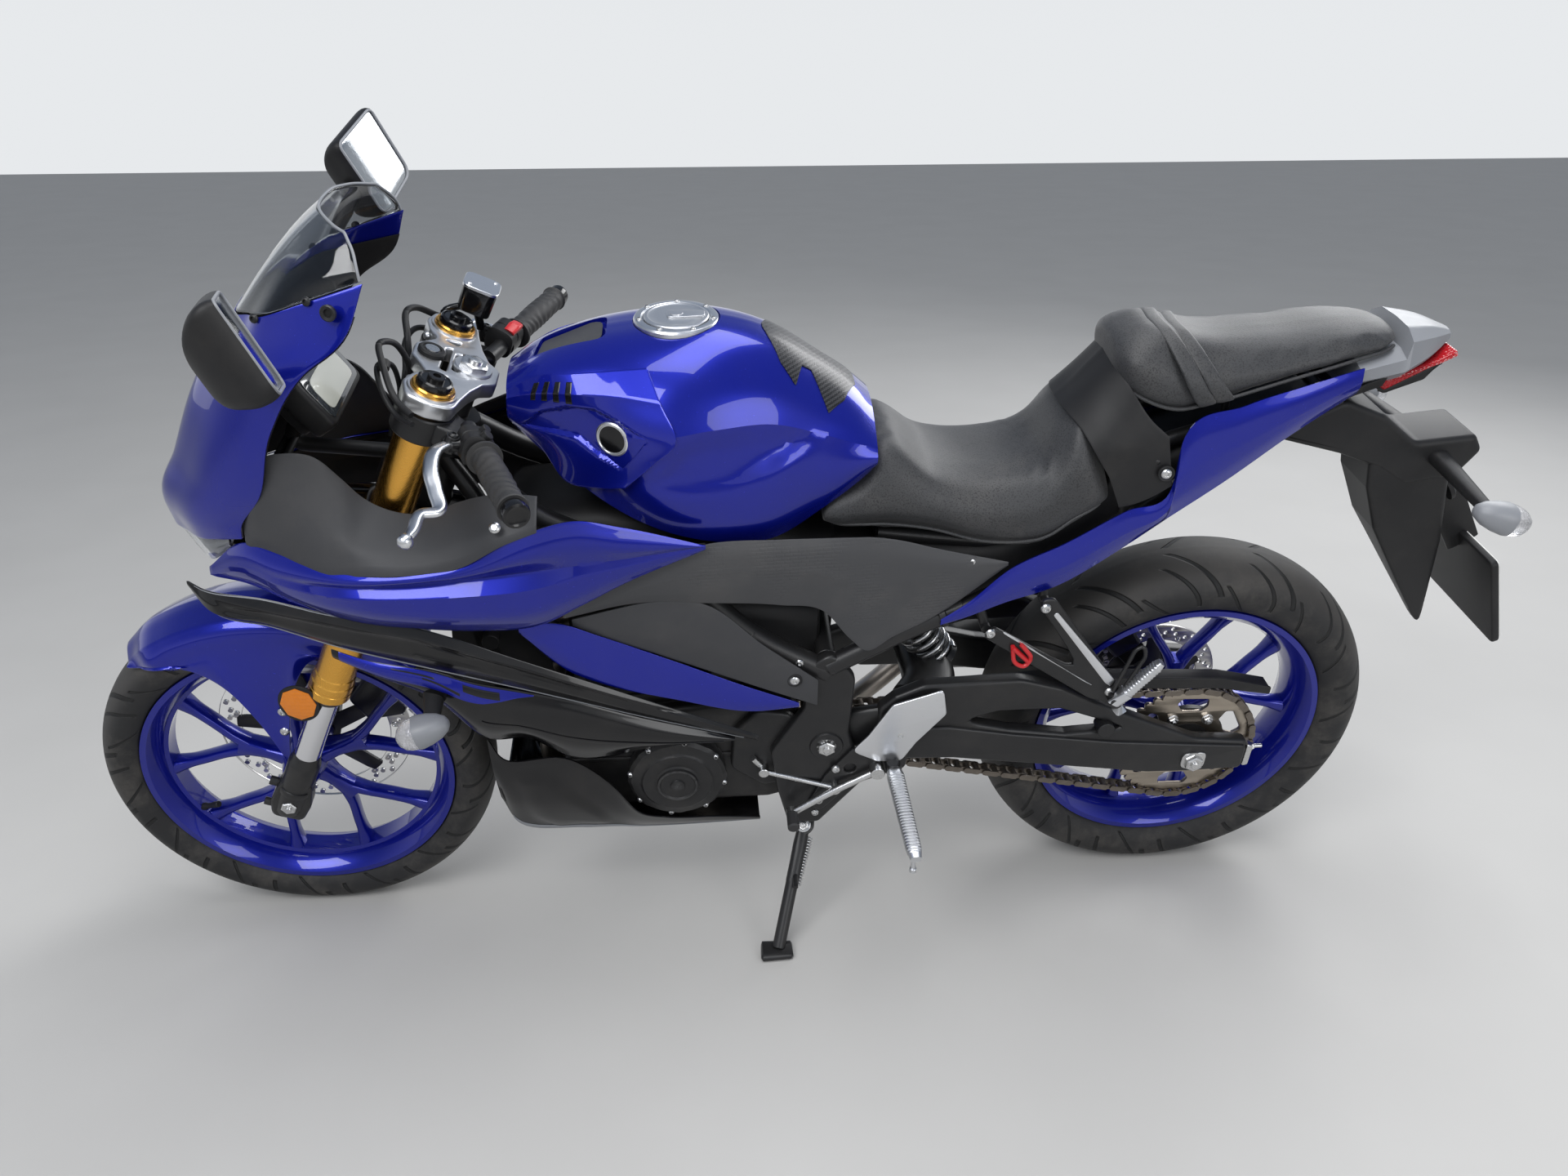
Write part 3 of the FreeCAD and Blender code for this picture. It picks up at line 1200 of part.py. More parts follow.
def belly_pan():
    """Trough under the engine, closed below and open to the front and rear."""
    sections = []
    for x, side_z, side_y, low_z, low_y in (
        (374, 448, 158, 300, 128), (352, 402, 156, 222, 118), (262, 395, 153, 207, 112), (205, 330, 148, 205, 112),
        (173, 276, 146, 204, 112), (130, 246, 132, 204, 110), (-16, 214, 112, 206, 106),
    ):
        new_x, lift = carried(x)
        wall = size.panel_thickness
        left = [(side_y, side_z + lift), (low_y, low_z + lift)]
        inner = [(low_y - wall, low_z + lift + wall), (side_y - wall, side_z + lift)]
        right = [(-y, z) for y, z in reversed(left)]
        inner_right = [(-y, z) for y, z in reversed(inner)]
        sections.append((new_x, left + right + inner_right + inner))
    keep(lofted("belly_pan", sections))


def instrument_panel():
    """Meter and the stay that carries it and the nose from the head tube."""
    meter = slab(drawn([(571, 896, 6), (596, 880, 6), (540, 985, 6), (508, 968, 6)]), -74, 74)
    stay = fused([
        rod(fork_frame.multVec(Vector(size.head_tube_radius - 6, 0, 590)), at(600, 0, 842), 11),
        rod(at(600, 0, 842), at(560, 0, 905), 9),
        both_sides(stud(at(600, 0, 842), at(600, 137.3, 842))),
        both_sides(stud(at(600, 108, 842), seat_inside(SIDE_FAIRING, 592.5, 0.35))),
    ])
    tube_room = Part.makeCylinder(size.head_tube_radius + size.running_gap, 400, Vector(0, 0, 400))
    tube_room.Placement = fork_frame
    stay = stay.cut(tube_room)
    keep_shape("instrument_panel", fused([meter, stay]))


def mirror():
    """Left mirror: stalk on the cowl and a tapering housing with its glass to the rear."""
    sections = []
    for x, y, z, depth, height in (
        (545, 212, 1052, 22, 34), (540, 248, 1082, 46, 82), (532, 300, 1112, 52, 104), (528, 345, 1128, 44, 90),
        (528, 366, 1134, 22, 52),
    ):
        tilt = 0.32 * height
        corners = [(x + depth / 2 - tilt / 2, z + height / 2), (x + depth / 2 + tilt / 2, z - height * 0.3),
                   (x + tilt / 2, z - height / 2), (x - depth / 2 + tilt / 2, z - height / 2),
                   (x - depth / 2 - tilt / 2, z + height / 2)]
        points = [Vector(carried(u)[0], y, w + carried(u)[1]) for u, w in corners]
        sections.append(Part.makePolygon(points + points[:1]))
    head_shape = Part.makeLoft(sections, True, True)
    stalk = fused([rod(at(556, 166, 1004), at(548, 224, 1056), 9), rod(at(558, 153.3, 999.6), at(556, 172, 1006), 17)])
    pair_shape("mirrors", fused([head_shape, stalk]))


def indicators():
    """Front pair on the lower fairing and rear pair on the plate holder."""

    def lamp(root, tip, nose_x):
        stalk = rod(root, tip, 8)
        ahead = X_AXIS * nose_x
        shell = Part.makeCone(14, 21, 26, tip - ahead * 24, ahead)
        lens = Part.makeCone(21, 12, 22, tip + ahead * 2, ahead)
        return fused([stalk, shell, lens])

    front = lamp(at(430, 177.7, 545), at(430, 226, 526), 1)
    rear = lamp(at(-975, 48, 790), at(-990, 178, 782), -1)
    pair_shape("indicators", Part.Compound([front, rear]))


def tail():
    lamp = slab(drawn([(-846, 908.6), (-925, 939.6, 3), (-916, 908, 4), (-862, 888, 6)]), -46, 46)
    keep_shape("tail_lamp", lamp)
    holder = slab(drawn([
        (-736, 826, 8), (-744, 848.9, 4), (-815, 885.2, 8), (-880, 856, 20), (-935, 814, 20), (-1022, 822, 12), (-1036, 800, 12),
        (-1012, 762), (-1040, 640), (-1079, 458), (-1000, 560), (-925, 668, 20), (-890, 740, 20), (-893, 778, 8),
        (-830, 800, 20),
    ]), -46, 46)
    bracket = slab(drawn([(-1012, 700), (-1012, 740), (-1096.1, 628), (-1104.4, 606)]), -20, 20)
    keep_shape("plate_holder", fused([holder, bracket]))
    plate_shape = slab(drawn([(-1096, 638), (-1150, 496), (-1147.2, 494.9), (-1093.2, 636.9)]), -90, 90)
    keep_shape("number_plate", plate_shape)


def filler():
    """Filler ring on the tank's top and the cap that hinges at its front."""
    radius = size.tank_cap_radius
    base_frame = Placement(cap_seat + Z_AXIS * size.running_gap, Rotation())
    outer = Part.makeCylinder(radius + 13, 10).cut(Part.makeCylinder(radius + size.running_gap, 10,
                                                                   Vector(0, 0, 6)))
    keep_shape("filler_ring", outer, base_frame)
    cap = Part.makeCylinder(radius, 5, Vector(0, 0, 6 + size.running_gap))
    keep_shape("fuel_cap", cap, base_frame)
    return base_frame


nose()
belly_pan()
instrument_panel()
mirror()
indicators()
tail()
cap_frame = filler()


def footrests():
    """Rider's hanger with heel guard, peg and toe lever on each side."""
    face = size.plate_inner + size.plate_thickness + size.running_gap
    moved = pivot - DRAWN_PIVOT
    hanger = slab([(x + moved.x, z + moved.z, rounding) for x, z, rounding in (
        (-86, 262, 10), (-112, 322, 20), (-150, 374, 20), (-174, 404, 10), (-206, 461, 12), (-280, 486, 8),
        (-288, 440, 8), (-247, 387, 25), (-234, 332, 8), (-196, 322, 8), (-150, 300, 20), (-108, 250, 10),
    )], face, face + 9)
    peg_root, peg_tip = Vector(-214, face + 4, 344) + moved, Vector(-220, 318, 330) + moved
    along = (peg_tip - peg_root).normalize()
    peg = fused([
        rod(peg_root, peg_root + along * 40, 12), rod(peg_root + along * 30, peg_tip, 10.5),
        rod(peg_tip - along * 8 - Z_AXIS * 34, peg_tip - along * 8, 3),
    ])
    boss, toe_place = Vector(-190, face, 338) + moved, Vector(-62, face, 262) + moved
    lever = bent_tube([boss + Y_AXIS * 14, Vector(-120, face + 16, 300) + moved, toe_place + Y_AXIS * 18], 6, 40)
    toe = rod(toe_place + Y_AXIS * 12, toe_place + Y_AXIS * 52, 8)
    lever_boss = rod(boss + Y_AXIS * 4, boss + Y_AXIS * 18, 9)
    pair_shape("rider_footrests", fused([hanger, peg, lever, toe, lever_boss]))


def passenger_footrests():
    """V-shaped hangers bolted below the seat rails, pegs folded up."""
    low, high = 126.3, 136.0
    arms = slab(drawn([
        (-328, 575, 6), (-344, 590, 6), (-490, 494, 20), (-412, 612, 10), (-404, 634, 6), (-424, 636, 6),
        (-545, 470, 10), (-565, 452, 6), (-545, 436, 6), (-500, 452, 20),
    ]), low, high)
    peg = fused([rod(at(-536, high - 4, 456), at(-536, high + 12, 456), 10),
                 rod(at(-536, high + 12, 456), at(-590, high + 16, 530), 9.5)])
    pair_shape("passenger_footrests", fused([arms, peg]))


def rear_caliper():
    inset = size.rear_disc_inset
    centre = Placement(rear_axle, Rotation())

    def spot(radius, degrees, rounding=0.0):
        turn = math.radians(degrees)
        return radius * math.cos(turn), radius * math.sin(turn), rounding

    block = slab([spot(78, 38, 8), spot(78, 68, 8), spot(132, 64, 14), spot(132, 42, 14)], -inset - 24, -inset + 18)
    slot = rod(Y_AXIS * (-inset - 5), Y_AXIS * (-inset + 5), size.rear_disc_radius + 4)
    bracket = slab([spot(20, -20, 6), spot(100, 35, 6), spot(100, 68, 6), spot(20, 140, 6)], -inset - 24, -inset - 12)
    bore = rod(-Y_AXIS * 200, Y_AXIS * 200, 14 + size.running_gap)
    keep_shape("rear_caliper", fused([block.cut(slot), bracket]).cut(bore), centre)


footrests()
passenger_footrests()
rear_caliper()


def lowest(profile, axle, turn):
    """Lowest height of a turned tyre, from its profile of (offset, radius) circles."""
    axis = turn.multVec(Y_AXIS)
    drop = math.sqrt(1 - axis.z ** 2)
    return min(turn.multVec(axle + Y_AXIS * side * y).z - radius * drop for y, radius in profile for side in (1, -1))


def stance():
    """Leans the bike to its left and pitches it until both tyres touch the floor."""
    pitch = 0.0
    for _ in range(8):
        turn = Rotation(Y_AXIS, pitch).multiply(Rotation(X_AXIS, -size.lean_angle))
        front, rear = lowest(front_profile, front_axle, turn), lowest(rear_profile, rear_axle, turn)
        pitch += math.degrees((front - rear) / size.wheelbase)
    return Placement(Vector(0, 0, -rear), turn)


parked = stance()


def side_stand():
    """Leg from a lug on the frame down to a foot flat on the floor; it folds back and up about a slanted pin."""
    eye = Vector(*at(size.stand_pivot_x, size.stand_pivot_y, size.stand_pivot_z))
    up = parked.Rotation.inverted().multVec(Z_AXIS)
    reach = parked.inverse().multVec(Vector())
    foot_x, _ = carried(size.stand_foot_x)
    foot = Vector(foot_x, size.stand_foot_y, 0)
    foot.z = (size.stand_foot_thickness - parked.multVec(foot).z) / parked.Rotation.multVec(Z_AXIS).z
    down = (foot - eye).normalize()
    folded = Vector(-0.97, 0.16, 0.10).normalize()
    pin = down.cross(folded).normalize()
    eye_half, lug_half, gap = 7.0, 5.0, size.running_gap
    eye_radius = 15.0
    bore = rod(eye - pin * 30, eye + pin * 30, 6 + gap)
    leg = fused([
        rod(eye - pin * eye_half, eye + pin * eye_half, eye_radius), rod(eye + down * 8, eye + down * 34, 6.6),
        rod(eye + down * 28, foot, size.stand_leg_radius),
        rod(eye + down * 55, foot - down * 12, size.stand_leg_radius + 1.5),
        Part.makeCylinder(size.stand_foot_radius, size.stand_foot_thickness, foot - up * size.stand_foot_thickness,
                          up),
    ])
    below = Part.makeBox(4000, 4000, 400, Vector(-2000, -2000, -400))
    below.Placement = parked.inverse().multiply(below.Placement)
    keep_shape("side_stand", leg.cut(bore).cut(below))
    far = eye - pin * (eye_half + gap + 2 * lug_half)
    block = slab([(far.x - 15, far.z - 8, 12), (far.x - 15, 236, 6), (far.x + 15, 236, 6), (far.x + 15, far.z - 8, 12)],
                 far.y - 5, size.plate_inner - size.running_gap)
    room = rod(eye - pin * (eye_half + gap), eye + pin * 60, eye_radius + 8)
    shank = rod(far, eye + pin * (eye_half + gap + 3), 6)
    head_shape = rod(eye + pin * (eye_half + gap), eye + pin * (eye_half + gap + 5), 10)
    keep_shape("stand_bracket", fused([block.cut(room), shank, head_shape]))
    return eye, pin


stand_eye, stand_pin = side_stand()

doc.recompute()

for node, frame in nodes.values():
    node.Placement = parked.multiply(frame)
doc.recompute()
box = FreeCAD.BoundBox()
for node, frame in nodes.values():
    box.add(node.Shape.BoundBox)
to_origin = Placement(Vector(-box.Center.x, -box.Center.y, -box.ZMin), Rotation())
for node, frame in nodes.values():
    node.Placement = to_origin.multiply(parked).multiply(frame)
doc.recompute()

for made in doc.Objects:
    if "Invalid" in made.State or "Error" in made.State:
        raise RuntimeError(f"{made.Label} failed to build")
for label, (node, frame) in nodes.items():
    if node.Shape.isNull() or not node.Shape.isValid():
        raise RuntimeError(f"{label} has no sound shape")

os.makedirs("parts", exist_ok=True)
for label, (node, frame) in nodes.items():
    node.Shape.exportStep(f"parts/{label}.step")

bike_to_part = to_origin.multiply(parked)
print("size", [round(v, 1) for v in (box.XLength, box.YLength, box.ZLength)])
for name, place, along in (
    ("front_axle", front_axle, Y_AXIS), ("rear_axle", rear_axle, Y_AXIS), ("pivot", pivot, Y_AXIS),
    ("steering", head, steering_turn.multVec(Z_AXIS)), ("stand", stand_eye, stand_pin),
    ("cap", cap_frame.multVec(Vector(size.tank_cap_radius, 0, 13)), Y_AXIS),
):
    print(name, [round(v, 3) for v in bike_to_part.multVec(place)],
          [round(v, 6) for v in bike_to_part.Rotation.multVec(along)])
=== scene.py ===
"""Faired sport bike on its side stand: the finished surfaces over the CAD frame.

Shapes are worked out in the bike's own frame, in millimetres: X forward, Y to the left, Z up, with the
origin on the ground midway between the axles, and then placed in the model's frame in metres.
"""

import json
import math

import bmesh
import bpy
import numpy as np
from mathutils import Matrix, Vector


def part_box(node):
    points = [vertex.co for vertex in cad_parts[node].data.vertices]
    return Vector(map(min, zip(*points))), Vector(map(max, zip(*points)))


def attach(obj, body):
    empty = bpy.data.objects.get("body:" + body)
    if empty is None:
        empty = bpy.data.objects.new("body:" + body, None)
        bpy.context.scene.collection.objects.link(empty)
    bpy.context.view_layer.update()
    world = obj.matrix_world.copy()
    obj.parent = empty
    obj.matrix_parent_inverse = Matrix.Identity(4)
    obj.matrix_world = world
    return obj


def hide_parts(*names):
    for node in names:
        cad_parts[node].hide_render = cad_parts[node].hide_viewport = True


bl_info = {
    "name": "Sport bike",
    "version": (1, 0, 0),
    "blender": (4, 5, 0),
    "location": "View3D > Sidebar > Sport bike",
    "description": "Builds the bodywork, wheels, fork, seats and fittings of a faired sport bike",
    "category": "Mesh",
}

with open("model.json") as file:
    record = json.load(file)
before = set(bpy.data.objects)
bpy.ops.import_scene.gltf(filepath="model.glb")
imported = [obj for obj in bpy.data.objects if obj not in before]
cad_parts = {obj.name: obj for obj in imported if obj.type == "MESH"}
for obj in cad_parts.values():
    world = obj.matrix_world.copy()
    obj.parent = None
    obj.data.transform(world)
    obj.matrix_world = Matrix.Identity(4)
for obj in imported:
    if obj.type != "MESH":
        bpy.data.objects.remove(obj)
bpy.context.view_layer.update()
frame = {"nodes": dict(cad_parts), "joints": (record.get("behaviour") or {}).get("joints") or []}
JOINTS = {joint["name"]: joint for joint in frame["joints"]}

WHEELBASE = 1380.0
FRONT_AXLE = np.array([690.0, 0.0, 292.0])
REAR_AXLE = np.array([-690.0, 0.0, 312.0])
RAKE = math.radians(25.0)
FORK_OFFSET = 37.7
LEG_Y = 94.0


def bike_frame():
    """Origin and axes of the bike in the model, from the two wheel joints."""
    front = np.array(JOINTS["front_wheel_spin"]["pos_m"]) * 1000
    rear = np.array(JOINTS["rear_wheel_spin"]["pos_m"]) * 1000
    left = np.array(JOINTS["front_wheel_spin"]["axis"])
    span = front - rear
    span = span - left * (span @ left)
    span /= np.linalg.norm(span)
    above = np.cross(span, left)
    slope = math.atan2(REAR_AXLE[2] - FRONT_AXLE[2], WHEELBASE)
    forward = math.cos(slope) * span + math.sin(slope) * above
    up = math.cos(slope) * above - math.sin(slope) * span
    origin = rear - forward * REAR_AXLE[0] - up * REAR_AXLE[2]
    return origin, np.array([forward, left, up])


ORIGIN, AXES = bike_frame()
UP = (0.0, 0.0, 1.0)
LEFT = np.array([0.0, 1.0, 0.0])


def placed(points):
    """Bike frame in millimetres to model frame in metres."""
    return (ORIGIN + np.asarray(points, float) @ AXES) / 1000


def in_bike(points):
    """Model frame in metres to bike frame in millimetres."""
    return (np.asarray(points, float) * 1000 - ORIGIN) @ AXES.T


def points_of(mesh):
    """A mesh's vertices as rows of x, y and z."""
    flat = np.zeros(len(mesh.vertices) * 3, np.float32)
    mesh.vertices.foreach_get("co", flat)
    return flat.reshape(-1, 3).astype(float)


def on_fork(points):
    """Fork frame (Z up the steering axis, X forward, level with the axle) to bike frame."""
    p = np.asarray(points, float)
    cos, sin = math.cos(RAKE), math.sin(RAKE)
    ahead, height = p[..., 0] - FORK_OFFSET, p[..., 2]
    return np.stack([FRONT_AXLE[0] + ahead * cos - height * sin, p[..., 1],
                     FRONT_AXLE[2] + ahead * sin + height * cos], -1)


def on_front_axle(points):
    """Points about the front axle to bike frame."""
    return np.asarray(points, float) + FRONT_AXLE


def on_rear_axle(points):
    """Points about the rear axle to bike frame."""
    return np.asarray(points, float) + REAR_AXLE


# Surfaces

def through(points, per, sharp=(), closed=False):
    """Smooth curve through the points of the first axis, per steps between each two.

    Between two points it is the cubic that leaves and arrives with the slope of the parabola through each
    point and its two neighbours; at a sharp point each side keeps its own chord.
    """
    p = np.asarray(points, float)
    if closed:
        p = np.concatenate([p, p[:1]])
    h = np.linalg.norm(np.diff(p, axis=0), axis=-1)
    h = h.reshape(len(h), -1).mean(1).clip(1e-6)
    spread = (-1,) + (1,) * (p.ndim - 1)
    slope = np.diff(p, axis=0) / h.reshape(spread)
    if closed:
        before, gap = np.roll(slope, 1, 0), np.roll(h, 1)
        leave = (before * h.reshape(spread) + slope * gap.reshape(spread)) / (h + gap).reshape(spread)
        arrive = np.roll(leave, -1, 0)
    else:
        ahead, behind = h[1:].reshape(spread), h[:-1].reshape(spread)
        middle = (slope[:-1] * ahead + slope[1:] * behind) / (ahead + behind)
        tangent = np.concatenate([slope[:1], middle, slope[-1:]])
        leave, arrive = tangent[:-1].copy(), tangent[1:].copy()
    for i in sharp:
        leave[i] = slope[i]
        arrive[i - 1] = slope[i - 1]
    t = (np.arange(per) / per).reshape((1, per) + (1,) * (p.ndim - 1))
    run = h.reshape((-1, 1) + (1,) * (p.ndim - 1))
    a, b = p[:-1][:, None], p[1:][:, None]
    curve = ((2 * t ** 3 - 3 * t ** 2 + 1) * a + (t ** 3 - 2 * t ** 2 + t) * run * leave[:, None]
             + (3 * t ** 2 - 2 * t ** 3) * b + (t ** 3 - t ** 2) * run * arrive[:, None])
    flat = curve.reshape((-1,) + p.shape[1:])
    return flat if closed else np.concatenate([flat, p[-1:]])


def grid_form(points, closed_u=False, closed_v=False, capped=False):
    """Quads between the rows and columns of a grid; capped closes each end ring with a fan."""
    nu, nv = points.shape[:2]
    index = np.arange(nu * nv).reshape(nu, nv)
    if closed_u:
        index = np.concatenate([index, index[:1]])
    if closed_v:
        index = np.concatenate([index, index[:, :1]], 1)
    quads = np.stack([index[:-1, :-1], index[1:, :-1], index[1:, 1:], index[:-1, 1:]], -1).reshape(-1, 4)
    verts, faces = points.reshape(-1, 3), quads.tolist()
    if capped:
        ends = np.array([points[0].mean(0), points[-1].mean(0)])
        verts = np.concatenate([verts, ends])
        first, last = index[0], index[-1]
        centre = nu * nv
        fans = [np.stack([first[:-1], first[1:], np.full(len(first) - 1, centre)], -1),
                np.stack([last[1:], last[:-1], np.full(len(last) - 1, centre + 1)], -1)]
        faces += np.concatenate(fans).tolist()
    return verts, faces


def joined(forms):
    """Several forms as one."""
    verts, faces, base = [], [], 0
    for points, polygons in forms:
        verts.append(np.asarray(points, float))
        faces += [[i + base for i in polygon] for polygon in polygons]
        base += len(points)
    return np.concatenate(verts), faces


def mirrored(form):
    """The same form on the other side of the bike."""
    verts, faces = form
    return verts * (1, -1, 1), [polygon[::-1] for polygon in faces]


def both(form):
    """A form with its mirror image on the other side of the bike."""
    return joined([form, mirrored(form)])


def moved(form, where):
    """A form with its points passed through a placing function."""
    return where(form[0]), form[1]


def unit(vector):
    """Vectors divided by their lengths."""
    vector = np.asarray(vector, float)
    return vector / np.linalg.norm(vector, axis=-1, keepdims=True).clip(1e-9)


def sides_of(path, up):
    """Across and upright directions at each point of a path."""
    ahead = unit(np.gradient(np.asarray(path, float), axis=0))
    across = unit(np.cross(np.broadcast_to(up, ahead.shape), ahead))
    return across, np.cross(ahead, across)


def swept(path, widths, heights, sides=16, power=2.0, up=UP):
    """Beam along a path whose section is |a/width|^power + |b/height|^power = 1, closed at its ends."""
    path = np.asarray(path, float)
    across, upright = sides_of(path, up)
    turn = np.linspace(0, 2 * np.pi, sides, endpoint=False)
    cos, sin = np.cos(turn), np.sin(turn)
    a = np.sign(cos) * np.abs(cos) ** (2 / power)
    b = np.sign(sin) * np.abs(sin) ** (2 / power)
    w = np.broadcast_to(widths, len(path))[:, None, None]
    h = np.broadcast_to(heights, len(path))[:, None, None]
    rings = path[:, None] + w * a[None, :, None] * across[:, None] + h * b[None, :, None] * upright[:, None]
    return grid_form(rings, closed_v=True, capped=True)


def tube(points, radius, per=6, sides=14, up=UP, closed=False, sharp=()):
    """Round tube of one radius, or one per point, along a smooth curve through the points."""
    path = through(points, per, sharp, closed)
    r = radius
    if np.ndim(radius):
        r = through(np.asarray(radius, float)[:, None], per)[:, 0]
    if not closed:
        return swept(path, r, r, sides, up=up)
    ring = np.concatenate([path[-1:], path, path[:1]])
    across, upright = sides_of(ring, up)
    turn = np.linspace(0, 2 * np.pi, sides, endpoint=False)[:, None]
    rings = path[:, None] + radius * (np.cos(turn) * across[1:-1, None] + np.sin(turn) * upright[1:-1, None])
    return grid_form(rings, closed_u=True, closed_v=True)


def lathe(profile, start=(0, 0, 0), axis=LEFT, sides=48, wave=None):
    """Profile of (along, radius) turned about an axis; wave(along, turn) may scale the radius."""
    start, axis = np.asarray(start, float), unit(axis)
    helper = np.array([1.0, 0, 0]) if abs(axis[0]) < 0.8 else np.array([0, 0, 1.0])
    first = unit(np.cross(axis, helper))
    second = np.cross(axis, first)
    along, radius = np.asarray(profile, float).T
    turn = np.linspace(0, 2 * np.pi, sides, endpoint=False)
    r = radius[:, None] * np.ones(sides)
    if wave is not None:
        r = r * wave(along[:, None], turn[None])
    points = (start + along[:, None, None] * axis + r[..., None]
              * (np.cos(turn)[None, :, None] * first + np.sin(turn)[None, :, None] * second))
    return grid_form(points, closed_v=True, capped=True)


def rod(start, end, radius, sides=20, edge=0.8):
    """Round bar between two points with softened ends."""
    start, end = np.asarray(start, float), np.asarray(end, float)
    length = np.linalg.norm(end - start)
    profile = [(0, radius - edge), (edge, radius), (length - edge, radius), (length, radius - edge)]
    return lathe(profile, start, end - start, sides)


def rounded(corners, steps=5):
    """Closed outline of (u, v, radius) corners, each eased by a parabola between its two sides."""
    p = np.array([corner[:2] for corner in corners], float)
    radius = np.array([corner[2] if len(corner) > 2 else 0.0 for corner in corners])
    back, ahead = np.roll(p, 1, 0) - p, np.roll(p, -1, 0) - p
    back_length, ahead_length = np.linalg.norm(back, axis=1), np.linalg.norm(ahead, axis=1)
    cos = (back * ahead).sum(1) / (back_length * ahead_length)
    run = radius / np.tan(np.arccos(cos.clip(-1, 1)) / 2).clip(0.05)
    run = np.minimum(run, 0.47 * np.minimum(back_length, ahead_length)).clip(0.01)
    start = p + back / back_length[:, None] * run[:, None]
    end = p + ahead / ahead_length[:, None] * run[:, None]
    t = np.linspace(0, 1, steps)[None, :, None]
    curve = (1 - t) ** 2 * start[:, None] + 2 * t * (1 - t) * p[:, None] + t ** 2 * end[:, None]
    return curve.reshape(-1, 2)


def circle(u, v, radius, steps=28):
    """Outline of a circle: centre plus radius times cosine and sine."""
    turn = np.linspace(0, 2 * np.pi, steps, endpoint=False)
    return np.stack([u + radius * np.cos(turn), v + radius * np.sin(turn)], -1)


def plate(outlines, low, high, bevel=1.5, plane="XZ", steps=2):
    """Flat outlines, the later ones holes, filled between two levels with rounded edges."""
    curve = bpy.data.curves.new("plate", "CURVE")
    curve.dimensions, curve.fill_mode = "2D", "BOTH"
    curve.extrude = (high - low) / 2 - bevel
    curve.bevel_depth, curve.bevel_resolution, curve.offset = bevel, steps, -bevel
    for outline in outlines:
        spline = curve.splines.new("POLY")
        spline.points.add(len(outline) - 1)
        flat = np.zeros((len(outline), 4))
        flat[:, :2], flat[:, 3] = outline, 1
        spline.points.foreach_set("co", flat.ravel())
        spline.use_cyclic_u = True
    holder = bpy.data.objects.new("plate", curve)
    bpy.context.scene.collection.objects.link(holder)
    mesh = bpy.data.meshes.new_from_object(holder.evaluated_get(bpy.context.evaluated_depsgraph_get()))
    u, v, w = points_of(mesh).T
    faces = [list(polygon.vertices) for polygon in mesh.polygons]
    bpy.data.objects.remove(holder)
    bpy.data.curves.remove(curve)
    bpy.data.meshes.remove(mesh)
    w = w + (low + high) / 2
    return np.stack([u, w, v] if plane == "XZ" else [u, v, w], -1), faces


def distance_inside(x, z, polygon):
    """Distance to a polygon's edge, positive inside it."""
    a = np.asarray(polygon, float)
    b = np.roll(a, -1, 0)
    p = np.stack([x, z], -1).reshape(-1, 1, 2)
    edge = b - a
    share = (((p - a) * edge).sum(-1) / (edge ** 2).sum(-1)).clip(0, 1)
    distance = np.linalg.norm(p - a - share[..., None] * edge, axis=-1).min(1)
    crosses = (a[:, 1] > p[..., 1]) != (b[:, 1] > p[..., 1])
    at_x = a[:, 0] + (p[..., 1] - a[:, 1]) * edge[:, 0] / np.where(edge[:, 1] == 0, 1e-9, edge[:, 1])
    inside = (crosses & (p[..., 0] < at_x)).sum(1) % 2 == 1
    return np.where(inside, distance, -distance).reshape(np.shape(x))


def eased(value, edge):
    """0 below zero, 1 above edge, smooth between."""
    t = (value / edge).clip(0, 1)
    return t * t * (3 - 2 * t)


def normals_of(grid, hint=LEFT):
    """Normal at each grid point, on the side that the hint points to."""
    du, dv = np.gradient(grid, axis=0), np.gradient(grid, axis=1)
    normal = unit(np.cross(du, dv))
    return normal if (normal @ np.asarray(hint)).mean() > 0 else -normal


def pressed(grid, polygon, depth, edge, hint=LEFT):
    """Pushes the part of a surface inside a side-view polygon inward by depth, easing over edge."""
    share = eased(distance_inside(grid[..., 0], grid[..., 2], polygon), edge)
    return grid - normals_of(grid, hint) * (share * depth)[..., None]


def table_grid(rows, per_x, per_level, sharp=(), sharp_x=()):
    """Grid through stations of x, then z and y for each level."""
    table = np.array(rows, float)
    levels = table[:, 1:].reshape(len(table), -1, 2)
    x = np.broadcast_to(table[:, :1], levels.shape[:2])
    points = np.stack([x, levels[..., 1], levels[..., 0]], -1)
    along = through(points, per_x, sharp_x)
    return through(along.swapaxes(0, 1), per_level, sharp).swapaxes(0, 1)


def hull_grid(rows, per_x, per_level, sharp=(), sharp_x=()):
    """Closed rings through stations of x, then z and half width from the bottom to the top of one side."""
    half = table_grid(rows, per_x, per_level, sharp, sharp_x)
    return np.concatenate([half, (half * (1, -1, 1))[:, ::-1]], 1)


# Pieces

def new_object(name, form, closed=True, hint=None):
    """Mesh object of a form, doubles merged and faces outward."""
    verts, faces = form
    mesh = bpy.data.meshes.new(name)
    mesh.from_pydata(placed(verts), [], faces)
    built = bmesh.new()
    built.from_mesh(mesh)
    bmesh.ops.remove_doubles(built, verts=built.verts, dist=1e-5)
    bmesh.ops.dissolve_degenerate(built, edges=built.edges, dist=1e-6)
    if closed:
        bmesh.ops.recalc_face_normals(built, faces=built.faces)
    elif hint is not None:
        toward = np.asarray(hint, float) @ AXES
        bmesh.ops.recalc_face_normals(built, faces=built.faces)
        total = sum((np.array(face.normal) * face.calc_area() for face in built.faces), np.zeros(3))
        if total @ toward < 0:
            bmesh.ops.reverse_faces(built, faces=built.faces)
    built.to_mesh(mesh)
    built.free()
    piece = bpy.data.objects.new(name, mesh)
    bpy.context.scene.collection.objects.link(piece)
    return piece


